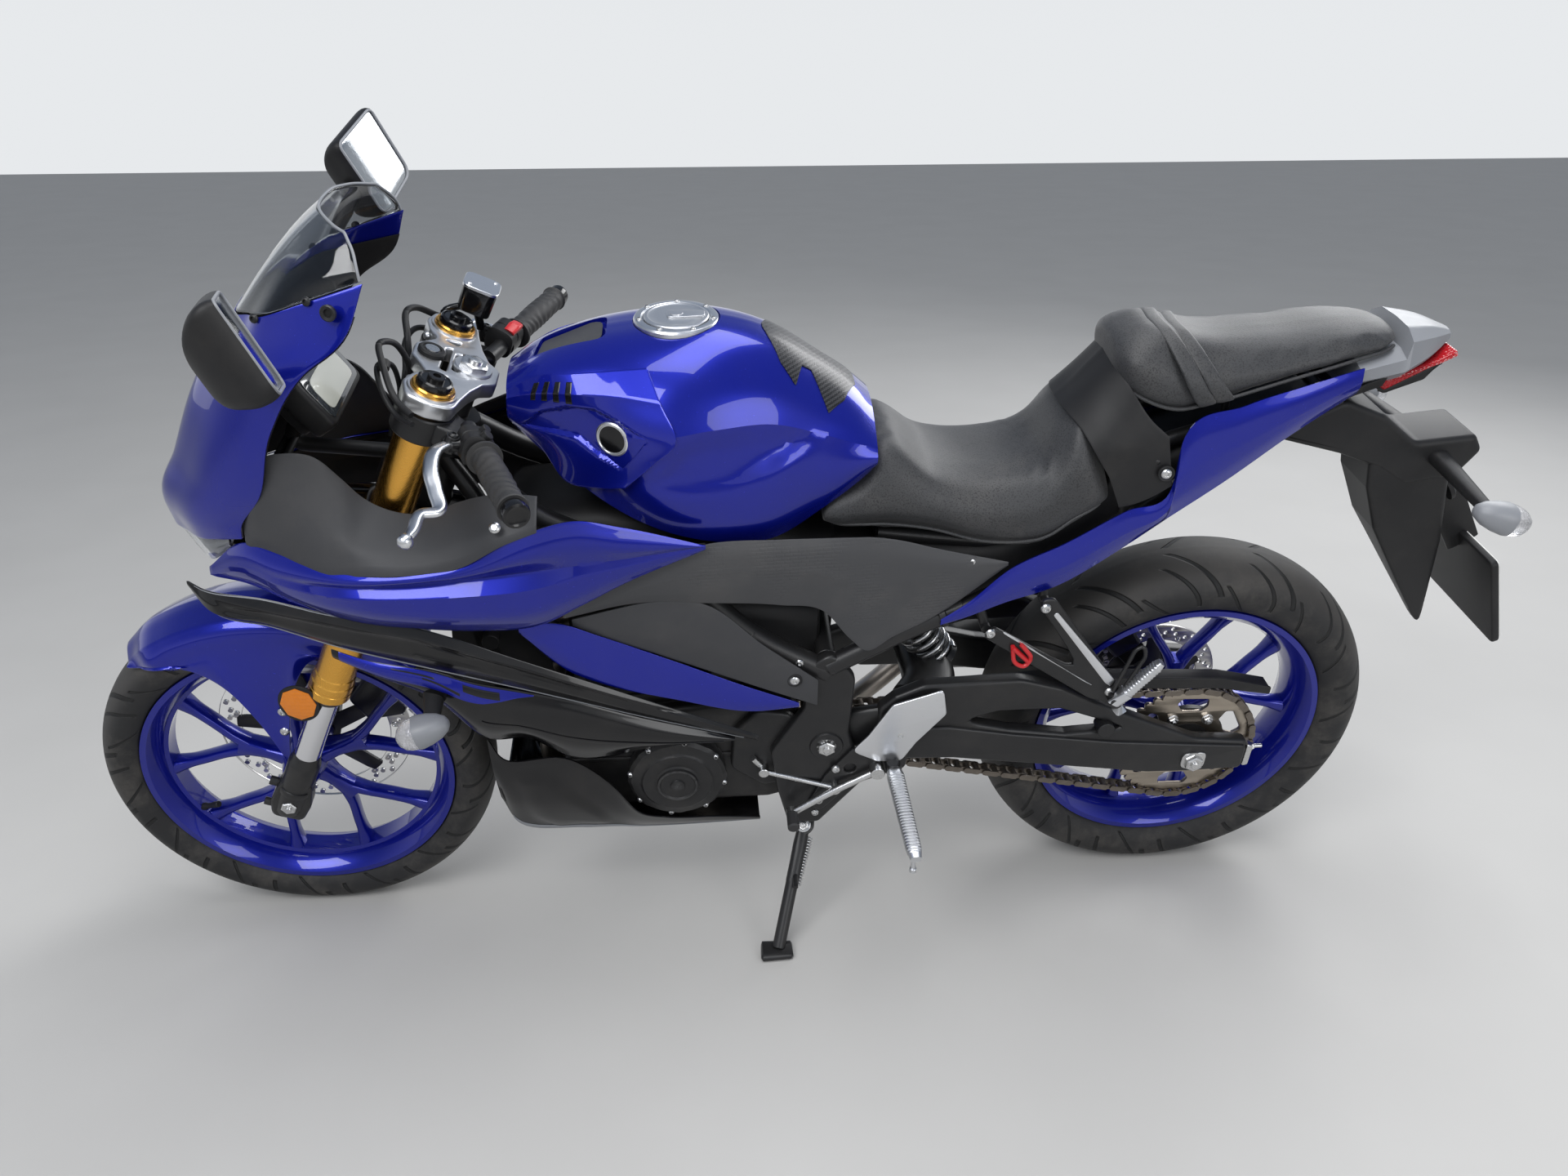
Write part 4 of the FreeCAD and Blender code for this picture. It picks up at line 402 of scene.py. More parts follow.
def baked(piece, crease=32.0):
    """The piece with its modifiers applied and shaded smooth between its sharp edges."""
    if piece.modifiers:
        mesh = bpy.data.meshes.new_from_object(piece.evaluated_get(bpy.context.evaluated_depsgraph_get()))
        old = piece.data
        piece.modifiers.clear()
        piece.data = mesh
        bpy.data.meshes.remove(old)
    piece.data.polygons.foreach_set("use_smooth", np.ones(len(piece.data.polygons), bool))
    piece.data.set_sharp_from_angle(angle=math.radians(crease))
    return piece


def dressed(piece, finish, body="chassis", replaces=(), crease=32.0):
    """Gives a piece its finish and its body, and hides the nodes that it stands for."""
    baked(piece, crease)
    piece.data.materials.clear()
    piece.data.materials.append(FINISHES[finish])
    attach(piece, body)
    if replaces:
        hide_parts(*replaces)
    return piece


def solid(name, form, finish, body="chassis", replaces=(), crease=32.0, bevel=0.0):
    """Closed piece, its edges rounded where a bevel is given."""
    piece = new_object(name, form)
    if bevel:
        rounding = piece.modifiers.new("Rounding", "BEVEL")
        rounding.width, rounding.segments, rounding.limit_method = bevel / 1000, 2, "ANGLE"
        rounding.angle_limit = math.radians(38)
    return dressed(piece, finish, body, replaces, crease)


def skin(name, grids, finish, body="chassis", replaces=(), wall=None, hint=LEFT, mirror=True):
    """Moulded panel: a surface thickened inward with softened edges, and its twin on the right."""
    wall = wall or settings().panel_wall * 1000
    pieces = []
    for grid in grids:
        piece = new_object(name, grid_form(grid), closed=False, hint=hint)
        thick = piece.modifiers.new("Wall", "SOLIDIFY")
        thick.thickness, thick.offset, thick.use_even_offset = wall / 1000, -1, False
        soft = piece.modifiers.new("Edge", "BEVEL")
        soft.width, soft.segments, soft.limit_method, soft.angle_limit = wall * 0.3 / 1000, 2, "ANGLE", 0.8
        baked(piece)
        pieces.append(piece)
    forms = [form_of(piece) for piece in pieces]
    for piece in pieces:
        bpy.data.meshes.remove(piece.data)
    whole = joined(forms)
    if mirror:
        whole = both(whole)
    return dressed(new_object(name, whole), finish, body, replaces)


def form_of(piece):
    """A piece's mesh as a form in the bike frame."""
    return in_bike(points_of(piece.data)), [list(polygon.vertices) for polygon in piece.data.polygons]


def bolt(place, toward, radius=5.0, height=3.2, sides=18):
    """Button head screw with a socket."""
    return lathe([(0, radius), (0.35 * height, radius), (0.8 * height, 0.8 * radius), (height, 0.5 * radius),
                  (height, 0.44 * radius), (0.45 * height, 0.4 * radius), (0.45 * height, 0.01)],
                 place, toward, sides)


def nut(place, toward, radius, height, bore=0.45):
    """Six-sided nut with a chamfer and a stud end."""
    flats = lathe([(0, radius * 1.12), (height * 0.82, radius * 1.12), (height, radius * 0.95),
                   (height, radius * bore)], place, toward, 6)
    stud = lathe([(0, radius * bore), (height * 1.25, radius * bore), (height * 1.35, radius * bore * 0.8)],
                 place, toward, 20)
    washer = lathe([(-0.4, radius * 1.3), (0.6, radius * 1.3), (1.0, radius * 1.22)], place, toward, 32)
    return joined([flats, stud, washer])


# Finishes

FINISHES = {}
GROUPS = {}


def settings():
    """The sizes and colours of the add-on's property group."""
    return bpy.context.scene.sport_bike


class Graph:
    """Short names for adding and linking the nodes of one tree."""

    def __init__(self, tree):
        """Keeps the tree that the nodes go into."""
        self.tree = tree

    def add(self, kind, inputs=None, **settings):
        """Node of a kind with its settings; each input is a value or a socket to link."""
        node = self.tree.nodes.new(kind)
        for key, value in settings.items():
            setattr(node, key, value)
        for key, value in (inputs or {}).items():
            if isinstance(value, bpy.types.NodeSocket):
                self.tree.links.new(value, node.inputs[key])
            else:
                node.inputs[key].default_value = value
        return node

    def math(self, operation, a, b=0.0, c=0.0, clamp=False):
        """Result of one Math node."""
        node = self.tree.nodes.new("ShaderNodeMath")
        node.operation, node.use_clamp = operation, clamp
        for i, value in enumerate((a, b, c)):
            if isinstance(value, bpy.types.NodeSocket):
                self.tree.links.new(value, node.inputs[i])
            else:
                node.inputs[i].default_value = value
        return node.outputs[0]

    def noise(self, vector, scale, detail=3.0, roughness=0.5):
        """Noise texture's value, 0 to 1."""
        return self.add("ShaderNodeTexNoise", {"Vector": vector, "Scale": scale, "Detail": detail,
                                               "Roughness": roughness}).outputs["Fac"]

    def mix(self, share, first, second):
        """Colour between two, by share."""
        node = self.tree.nodes.new("ShaderNodeMix")
        node.data_type = "RGBA"
        for key, value in ((0, share), (6, first), (7, second)):
            if isinstance(value, bpy.types.NodeSocket):
                self.tree.links.new(value, node.inputs[key])
            else:
                node.inputs[key].default_value = value
        return node.outputs[2]

    def band(self, value, low, high):
        """0 at or below low, 1 at or above high."""
        node = self.add("ShaderNodeMapRange", {"Value": value, "From Min": low, "From Max": high})
        node.interpolation_type = "SMOOTHSTEP"
        return node.outputs[0]


def group(name, inputs, outputs, fill):
    """Node group with named sockets: (name, kind, default)."""
    tree = bpy.data.node_groups.new(name, "ShaderNodeTree")
    for label, kind, default in inputs:
        socket = tree.interface.new_socket(label, in_out="INPUT", socket_type="NodeSocket" + kind)
        if default is not None:
            socket.default_value = default
    for label, kind in outputs:
        tree.interface.new_socket(label, in_out="OUTPUT", socket_type="NodeSocket" + kind)
    graph = Graph(tree)
    given = graph.add("NodeGroupInput").outputs
    results = fill(graph, given)
    end = graph.add("NodeGroupOutput")
    for label, value in results.items():
        tree.links.new(value, end.inputs[label])
    return tree


def surface_group():
    """Cloudy tone, dust that settles in patches and fine moulded or cast grain."""
    def fill(g, given):
        where = given["Vector"]
        cloud = g.noise(where, given["Cloud Scale"], 4.0, 0.6)
        fine = g.noise(where, given["Grain Scale"], 3.0, 0.55)
        patches = g.band(g.noise(where, 11.0, 6.0, 0.7), 0.42, 0.78)
        dust = g.math("MULTIPLY", patches, given["Dust"])
        deep = g.mix(g.math("MULTIPLY", cloud, given["Tone"]), given["Colour"], given["Deep Colour"])
        colour = g.mix(dust, deep, given["Dust Colour"])
        spread = g.math("MULTIPLY", g.math("SUBTRACT", fine, 0.5), given["Roughness Spread"])
        rough = g.math("ADD", g.math("ADD", given["Roughness"], spread), g.math("MULTIPLY", dust, 0.5),
                       clamp=True)
        return {"Colour": colour, "Roughness": rough, "Height": fine}

    return group("Surface", [
        ("Vector", "Vector", None), ("Colour", "Color", (0.5, 0.5, 0.5, 1)),
        ("Deep Colour", "Color", (0.3, 0.3, 0.3, 1)), ("Dust Colour", "Color", (0.42, 0.38, 0.33, 1)),
        ("Tone", "Float", 0.5), ("Cloud Scale", "Float", 9.0), ("Grain Scale", "Float", 900.0),
        ("Roughness", "Float", 0.5), ("Roughness Spread", "Float", 0.1), ("Dust", "Float", 0.05),
    ], [("Colour", "Color"), ("Roughness", "Float"), ("Height", "Float")], fill)


def wear_group():
    """Share of bare material along outer edges, broken up by noise."""
    def fill(g, given):
        edge = g.band(g.add("ShaderNodeNewGeometry").outputs["Pointiness"], given["From"], given["To"])
        broken = g.band(g.noise(given["Vector"], 160.0, 5.0, 0.7), 0.35, 0.6)
        return {"Mask": g.math("MULTIPLY", g.math("MULTIPLY", edge, broken), given["Amount"])}

    return group("Edge wear", [("Vector", "Vector", None), ("From", "Float", 0.53), ("To", "Float", 0.62),
                               ("Amount", "Float", 0.5)], [("Mask", "Float")], fill)


def vinyl_group():
    """Pebbled vinyl: cells with soft valleys between them over finer noise, and the mask of the valleys for
    their painted shade.
    """
    def fill(g, given):
        cells = g.add("ShaderNodeTexVoronoi", {"Vector": given["Vector"], "Scale": given["Scale"]},
                      feature="SMOOTH_F1").outputs["Distance"]
        fine = g.noise(given["Vector"], 2600.0, 2.0)
        height = g.math("ADD", g.math("MULTIPLY", cells, -0.8), g.math("MULTIPLY", fine, 0.25))
        return {"Height": height, "Valley": g.band(cells, 0.35, 0.75)}

    return group("Vinyl grain", [("Vector", "Vector", None), ("Scale", "Float", 620.0)],
                 [("Height", "Float"), ("Valley", "Float")], fill)


def weave_group():
    """Twill weave: diagonal steps of small squares, seen from the side."""
    def fill(g, given):
        parts = g.add("ShaderNodeSeparateXYZ", {"Vector": given["Vector"]}).outputs
        u = g.math("MULTIPLY", g.math("ADD", parts["X"], g.math("MULTIPLY", parts["Z"], 0.35)),
                   given["Scale"])
        v = g.math("MULTIPLY", g.math("SUBTRACT", parts["Z"], g.math("MULTIPLY", parts["Y"], 0.6)),
                   given["Scale"])
        step = g.math("MODULO", g.math("ADD", g.math("FLOOR", u), g.math("FLOOR", v)), 4.0)
        over = g.math("LESS_THAN", g.math("ABSOLUTE", step), 1.5)
        hump_u = g.math("SINE", g.math("MULTIPLY", u, math.pi))
        hump_v = g.math("SINE", g.math("MULTIPLY", v, math.pi))
        height = g.math("ABSOLUTE", g.add("ShaderNodeMix", {0: over, 2: hump_u, 3: hump_v}).outputs[0])
        return {"Over": over, "Height": height}

    return group("Twill weave", [("Vector", "Vector", None), ("Scale", "Float", 420.0)],
                 [("Over", "Float"), ("Height", "Float")], fill)


def start_material(name):
    """Empty node material with its shader, its output and the piece's own coordinates."""
    made = bpy.data.materials.new(name)
    made.use_nodes = True
    made.node_tree.nodes.clear()
    graph = Graph(made.node_tree)
    shader = graph.add("ShaderNodeBsdfPrincipled")
    out = graph.add("ShaderNodeOutputMaterial", {"Surface": shader.outputs[0]})
    where = graph.add("ShaderNodeTexCoord").outputs["Object"]
    FINISHES[name] = made
    return graph, shader, where, out


def finish(name, colour, rough, metallic=0.0, deep=0.55, tone=0.5, grain=900.0, depth=0.00003, spread=0.1,
           dust=0.03, coat=0.0, coat_rough=0.03, wear=0.0, worn=(0.45, 0.45, 0.46), cloud=9.0, specular=0.5):
    """Finish with cloudy tone, fine grain in colour, roughness and bump, dust and worn edges."""
    g, shader, where, _ = start_material(name)
    shade = (*(c * deep for c in colour), 1)
    base = g.add("ShaderNodeGroup", node_tree=GROUPS["surface"])
    g.tree.links.new(where, base.inputs["Vector"])
    for key, value in {"Colour": (*colour, 1), "Deep Colour": shade, "Tone": tone, "Grain Scale": grain,
                       "Roughness": rough, "Roughness Spread": spread, "Dust": dust,
                       "Cloud Scale": cloud}.items():
        base.inputs[key].default_value = value
    tint = base.outputs["Colour"]
    if wear:
        edges = g.add("ShaderNodeGroup", node_tree=GROUPS["wear"])
        g.tree.links.new(where, edges.inputs["Vector"])
        edges.inputs["Amount"].default_value = wear
        tint = g.mix(edges.outputs["Mask"], tint, (*worn, 1))
    g.tree.links.new(tint, shader.inputs["Base Color"])
    g.tree.links.new(base.outputs["Roughness"], shader.inputs["Roughness"])
    bump = g.add("ShaderNodeBump", {"Height": base.outputs["Height"], "Distance": depth, "Strength": 0.6})
    g.tree.links.new(bump.outputs[0], shader.inputs["Normal"])
    shader.inputs["Metallic"].default_value = metallic
    shader.inputs["Coat Weight"].default_value = coat
    shader.inputs["Coat Roughness"].default_value = coat_rough
    shader.inputs["Specular IOR Level"].default_value = specular
    return g, shader, where, base, bump


def paint(name, colour, rough, metallic, flake=0.25):
    """Clear-coated metallic paint with fine flakes that catch the light."""
    g, shader, where, base, bump = finish(name, colour, rough, metallic, deep=0.72, tone=0.35, grain=240.0,
                                          depth=0.00002, spread=0.06, dust=0.006, coat=1.0, coat_rough=0.02,
                                          specular=0.2)
    flakes = g.add("ShaderNodeTexVoronoi", {"Vector": where, "Scale": 5200.0})
    bright = g.band(g.add("ShaderNodeSeparateColor", {"Color": flakes.outputs["Color"]}).outputs[0],
                    0.55, 1.0)
    tint = g.mix(g.math("MULTIPLY", bright, flake), base.outputs["Colour"],
                 (*(min(1.0, 0.02 + c * 1.6) for c in colour), 1))
    g.tree.links.new(tint, shader.inputs["Base Color"])
    shader.inputs["Coat IOR"].default_value = 1.4


def seat_vinyl(name, colour):
    """Pebbled vinyl, with painted shade that darkens the valleys of its grain."""
    g, shader, where, base, bump = finish(name, colour, 0.52, deep=0.7, tone=0.5, dust=0.05, spread=0.08,
                                          specular=0.42)
    pebbles = g.add("ShaderNodeGroup", node_tree=GROUPS["vinyl"])
    g.tree.links.new(where, pebbles.inputs["Vector"])
    g.tree.links.new(pebbles.outputs["Height"], bump.inputs["Height"])
    # Painted shade: the colour falls to 0.45 of itself in the valleys between the pebbles.
    g.tree.links.new(g.mix(pebbles.outputs["Valley"], base.outputs["Colour"],
                           (*(c * 0.45 for c in colour), 1)),
                     shader.inputs["Base Color"])
    bump.inputs["Distance"].default_value = 0.00022
    bump.inputs["Strength"].default_value = 0.7
    shader.inputs["Sheen Weight"].default_value = 0.15
    shader.inputs["Sheen Roughness"].default_value = 0.4


def tyre_rubber(name):
    """Rubber with curved tread grooves laid out on the tyre's own map: u round the tyre, v across it."""
    g, shader, where, base, bump = finish(name, (0.018, 0.018, 0.019), 0.62, deep=0.6,
                                          grain=1400.0, dust=0.12, spread=0.12, specular=0.35)
    uv = g.add("ShaderNodeUVMap", uv_map="Tread").outputs[0]
    parts = g.add("ShaderNodeSeparateXYZ", {"Vector": uv}).outputs
    across = g.math("SUBTRACT", g.math("MULTIPLY", parts["Y"], 2.0), 1.0)
    side = g.math("ABSOLUTE", across)
    shift = g.math("MULTIPLY", g.math("SIGN", across), 0.5)

    def grooves(repeat, offset, start, end, lean, curl, width):
        """Line u = offset + lean*side + curl*side^2, from start to end across the tread."""
        line = g.math("ADD", g.math("MULTIPLY", side, lean),
                      g.math("MULTIPLY", g.math("MULTIPLY", side, side), curl))
        place = g.math("SUBTRACT",
                       g.math("ADD", g.math("MULTIPLY", parts["X"], repeat), g.math("ADD", shift, offset)),
                       line)
        away = g.math("ABSOLUTE", g.math("SUBTRACT", g.math("FRACT", place), 0.5))
        cut = g.math("SUBTRACT", 1.0, g.band(away, width * 0.5, width))
        kept = g.math("MULTIPLY", g.band(side, start, start + 0.03),
                      g.math("SUBTRACT", 1.0, g.band(side, end - 0.03, end)))
        return g.math("MULTIPLY", cut, kept)

    long_cut = grooves(14.0, 0.0, 0.04, 0.62, 1.5, -0.9, 0.045)
    short_cut = grooves(14.0, 0.42, 0.22, 0.74, 1.9, -1.2, 0.035)
    small_cut = grooves(14.0, 0.72, 0.48, 0.84, 0.6, 0.3, 0.03)
    cuts = g.math("MAXIMUM", g.math("MAXIMUM", long_cut, short_cut), small_cut)
    worn = g.math("SUBTRACT", 1.0, g.band(side, 0.35, 0.6))
    tint = g.mix(g.math("MULTIPLY", worn, 0.45), base.outputs["Colour"], (0.085, 0.08, 0.075, 1))
    # Painted shade: the tread grooves are coloured 0.008, darker than the rubber, as well as being cut in
    # the bump.
    tint = g.mix(cuts, tint, (0.008, 0.008, 0.008, 1))
    g.tree.links.new(tint, shader.inputs["Base Color"])
    ribs = g.math("SINE", g.math("MULTIPLY", side, 900.0))
    walls = g.math("MULTIPLY", g.math("MULTIPLY", ribs, 0.012), g.band(side, 0.86, 0.9))
    height = g.math("ADD", g.math("SUBTRACT", g.math("MULTIPLY", base.outputs["Height"], 0.03), cuts), walls)
    g.tree.links.new(height, bump.inputs["Height"])
    bump.inputs["Distance"].default_value = 0.004
    bump.inputs["Strength"].default_value = 1.0


def glass(name, colour, rough=0.02, ior=1.45, speckle=0.03):
    """Clear or tinted glass with faint smudges in colour and roughness."""
    g, shader, where, _ = start_material(name)
    smudge = g.noise(where, 30.0, 5.0, 0.6)
    g.tree.links.new(g.mix(g.math("MULTIPLY", smudge, 0.25), (*colour, 1), (*(c * 0.9 for c in colour), 1)),
                     shader.inputs["Base Color"])
    g.tree.links.new(g.math("ADD", rough, g.math("MULTIPLY", smudge, speckle)), shader.inputs["Roughness"])
    shader.inputs["Transmission Weight"].default_value = 1.0
    shader.inputs["IOR"].default_value = ior
    return g, shader, where


def lens(name, colour, scale, transmission=0.7, rough=0.08):
    """Moulded lamp lens with a pattern of small prisms."""
    g, shader, where = glass(name, colour, rough)
    shader.inputs["Transmission Weight"].default_value = transmission
    prism = g.add("ShaderNodeTexVoronoi",
                  {"Vector": where, "Scale": scale, "Randomness": 0.15}).outputs["Distance"]
    bump = g.add("ShaderNodeBump", {"Height": prism, "Distance": 0.0012, "Strength": 0.7})
    g.tree.links.new(bump.outputs[0], shader.inputs["Normal"])


def dashed_plastic(name, colour):
    """Matt plastic with rows of small raised dashes that fade in and out."""
    g, shader, where, base, bump = finish(name, colour, 0.55, deep=0.8, grain=1500.0, dust=0.04)
    turned = g.add("ShaderNodeMapping",
                   {"Vector": where, "Rotation": (math.pi / 2, 0, 0), "Scale": (1, 1, 1)}).outputs[0]
    bricks = g.add("ShaderNodeTexBrick",
                   {"Vector": turned, "Scale": 1.0, "Mortar Size": 0.0012, "Mortar Smooth": 0.4,
                    "Brick Width": 0.011, "Row Height": 0.0052}, offset=0.37)
    fade = g.band(g.noise(where, 14.0, 2.0), 0.47, 0.6)
    dashes = g.math("MULTIPLY", g.math("SUBTRACT", 1.0, bricks.outputs["Fac"]), fade)
    height = g.math("ADD", g.math("MULTIPLY", base.outputs["Height"], 0.15), dashes)
    g.tree.links.new(height, bump.inputs["Height"])
    bump.inputs["Distance"].default_value = 0.0003
    g.tree.links.new(g.math("SUBTRACT", base.outputs["Roughness"], g.math("MULTIPLY", dashes, 0.12)),
                     shader.inputs["Roughness"])


def carbon(name):
    """Film printed with a twill weave under a thin coat."""
    g, shader, where, base, bump = finish(name, (0.05, 0.05, 0.055), 0.38, deep=0.7, coat=0.25,
                                          coat_rough=0.2, specular=0.3)
    twill = g.add("ShaderNodeGroup", node_tree=GROUPS["weave"])
    g.tree.links.new(where, twill.inputs["Vector"])
    g.tree.links.new(g.mix(twill.outputs["Over"], (0.006, 0.006, 0.007, 1), (0.03, 0.03, 0.033, 1)),
                     shader.inputs["Base Color"])
    g.tree.links.new(twill.outputs["Height"], bump.inputs["Height"])
    bump.inputs["Distance"].default_value = 0.0002


def drawn_metal(name, colour, rough, across=(1, 60, 1)):
    """Turned or brushed metal: noise stretched into fine lines."""
    g, shader, where, base, bump = finish(name, colour, rough, 1.0, deep=0.75, tone=0.4, dust=0.02)
    stretched = g.add("ShaderNodeMapping", {"Vector": where, "Scale": across}).outputs[0]
    lines = g.noise(stretched, 60.0, 6.0, 0.7)
    g.tree.links.new(lines, bump.inputs["Height"])
    bump.inputs["Distance"].default_value = 0.00005
    g.tree.links.new(g.math("ADD", rough - 0.08, g.math("MULTIPLY", lines, 0.16)),
                     shader.inputs["Roughness"])


def build_finishes():
    """Makes every material from its colour, roughness and grain."""
    s = settings()
    GROUPS.update(surface=surface_group(), wear=wear_group(), vinyl=vinyl_group(), weave=weave_group())
    blue = tuple(s.body_blue)
    paint("blue_paint", blue, 0.26, 0.55)
    paint("wheel_blue", tuple(c * 0.9 for c in blue), 0.3, 0.5, flake=0.12)
    finish("gloss_black", (0.004, 0.004, 0.005), 0.18, coat=0.25, specular=0.3, coat_rough=0.02, tone=0.3,
           dust=0.02, grain=300.0, depth=0.00001, spread=0.03)
    finish("satin_black", (0.012, 0.012, 0.013), 0.38, dust=0.02, grain=1100.0, specular=0.4)
    finish("black_plastic", (0.012, 0.012, 0.013), 0.5, dust=0.02, specular=0.3, grain=1700.0, depth=0.00006)
    finish("grey_plastic", tuple(s.panel_grey), 0.5, deep=0.85, specular=0.3, dust=0.03, grain=2200.0,
           depth=0.00005)
    dashed_plastic("dashed_plastic", tuple(s.panel_grey))
    finish("pale_plastic", (0.22, 0.23, 0.25), 0.42, deep=0.85, dust=0.05, grain=2000.0, depth=0.00004)
    finish("engine_black", (0.016, 0.016, 0.017), 0.42, 0.2, dust=0.05, specular=0.4, wear=0.3, grain=520.0,
           depth=0.0001)
    finish("caliper_black", (0.012, 0.012, 0.013), 0.32, 0.1, dust=0.03, grain=600.0, depth=0.00006)
    finish("cast_aluminium", (0.62, 0.63, 0.65), 0.34, 0.95, deep=0.8, dust=0.03, grain=700.0, depth=0.00005)
    drawn_metal("aluminium", (0.72, 0.73, 0.75), 0.3)
    drawn_metal("steel", (0.6, 0.6, 0.6), 0.28)
    drawn_metal("disc_steel", (0.5, 0.49, 0.48), 0.3, (60, 1, 60))
    drawn_metal("chrome", (0.8, 0.8, 0.82), 0.12)
    drawn_metal("gold_anodised", tuple(s.fork_gold), 0.26)
    finish("chain_steel", (0.23, 0.2, 0.17), 0.42, 0.9, deep=0.4, tone=0.9, dust=0.15, cloud=60.0,
           grain=900.0)
    seat_vinyl("seat_vinyl", tuple(s.seat_black))
    tyre_rubber("tyre_rubber")
    finish("grip_rubber", (0.02, 0.02, 0.021), 0.6, dust=0.05, grain=1800.0, depth=0.00008)
    carbon("carbon_pad")
    glass("screen_smoke", (0.62, 0.64, 0.66))
    glass("lamp_glass", (0.92, 0.94, 0.96))
    lens("lens_clear", (0.9, 0.9, 0.92), 260.0)
    lens("lens_amber", (0.95, 0.28, 0.02), 170.0, 0.35, 0.12)
    lens("lens_red", (0.55, 0.012, 0.02), 200.0, 0.35, 0.1)
    drawn_metal("mirror_glass", (0.42, 0.44, 0.46), 0.08)
    finish("plate_white", (0.75, 0.75, 0.73), 0.35, deep=0.9, dust=0.06)
    finish("red_plastic", (0.55, 0.015, 0.02), 0.35, dust=0.02)
    drawn_metal("exhaust_steel", (0.42, 0.38, 0.34), 0.36)
    drawn_metal("sprocket_steel", (0.40, 0.35, 0.29), 0.36, (60, 1, 60))
    finish("display_pale", (0.55, 0.56, 0.5), 0.2, coat=1.0, dust=0.02, deep=0.95, depth=0.000005)
    finish("meter_glass", (0.03, 0.035, 0.04), 0.08, coat=1.0, dust=0.02, depth=0.000005)


# Tank

# Stations of the tank: x, then z and half width from its bottom to its top.
TANK_ROWS = [
    (300, 880, 36, 890, 44, 900, 49, 912, 52, 926, 52, 937, 43, 943, 24, 945, 0),
    (270, 858, 56, 875, 62, 890, 66, 910, 68, 938, 66, 954, 52, 962, 30, 964, 0),
    (200, 808, 98, 835, 100, 865, 101, 905, 101, 948, 93, 976, 66, 987, 36, 990, 0),
    (118, 772, 132, 800, 141, 850, 147, 908, 146, 955, 113, 988, 72, 1000, 38, 1003, 0),
    (44, 748, 130, 780, 139, 840, 143, 913, 136, 960, 103, 993, 64, 1004, 34, 1008, 0),
    (-30, 742, 117, 775, 127, 840, 130, 908, 114, 946, 88, 976, 52, 986, 28, 989, 0),
    (-98, 776, 101, 795, 107, 835, 111, 884, 101, 910, 80, 934, 50, 944, 26, 947, 0),
    (-150, 816, 95, 828, 102, 845, 106, 866, 98, 884, 77, 900, 48, 907, 24, 909, 0),
    (-168, 832, 92, 838, 99, 848, 102, 860, 94, 872, 74, 885, 46, 891, 24, 893, 0),
]
KNEE_SCOOP = [(141, 838), (83, 822), (24, 824), (-35, 842), (-78, 870), (-96, 890), (-53, 903),
              (4, 909), (50, 909), (84, 904)]
# Flank cover: each line runs from the front to the seam.
COVER_LINES = [
    [(298, 50, 934), (262, 62, 956), (215, 80, 967), (165, 87, 973), (121, 92, 978)],
    [(300, 57, 925), (266, 73, 938), (212, 99, 948), (155, 113, 951), (107, 127, 948)],
    [(301, 57, 912), (266, 75, 912), (205, 106, 908), (145, 137, 908), (90, 155, 908)],
    [(302, 54, 900), (266, 72, 886), (208, 107, 866), (160, 129, 872), (118, 153, 878)],
    [(301, 49, 891), (268, 62, 864), (233, 90, 822), (192, 113, 824), (156, 140, 838)],
]
COVER_POCKET = [(287, 888), (258, 917), (223, 932), (190, 935), (161, 925), (124, 906), (158, 858),
                (187, 870), (215, 890)]


def build_tank():
    """Tank shell with its filler opening and front recess, and what is laid on it."""
    half = table_grid(TANK_ROWS, 9, 6, sharp=(3,))
    half = pressed(half, KNEE_SCOOP, 8.0, 26.0)
    ring = np.concatenate([half, (half * (1, -1, 1))[:, ::-1]], 1)
    shell = new_object("tank_shell", grid_form(ring, closed_v=True, capped=True))
    opening = new_object("opening", lathe([(-9, 55.5), (30, 55.5)], (84, 0, 996), UP, 64))
    recess = new_object("recess",
                        plate([rounded([(266, 24, 10), (258, -24, 10), (172, -36, 16), (172, 36, 16),
                                        (258, 24, 10)])], -6, 30, 1.5, plane="XY"))
    tilt_recess(recess)
    for tool in (opening, recess):
        cut = shell.modifiers.new("Opening", "BOOLEAN")
        cut.operation, cut.solver, cut.object = "DIFFERENCE", "EXACT", tool
    baked(shell)
    for tool in (opening, recess):
        bpy.data.meshes.remove(tool.data)
    dressed(shell, "blue_paint", replaces=("fuel_tank",), crease=24)

    build_pad(half)
    build_flank_covers()
    floor = plate([rounded([(262, 20, 8), (256, -20, 8), (178, -31, 14), (178, 31, 14), (256, 20, 8)])],
                  0, 1.6, 0.4, "XY")
    pad = new_object("tank_front_recess", floor)
    tilt_recess(pad, -3.4)
    dressed(pad, "grey_plastic")


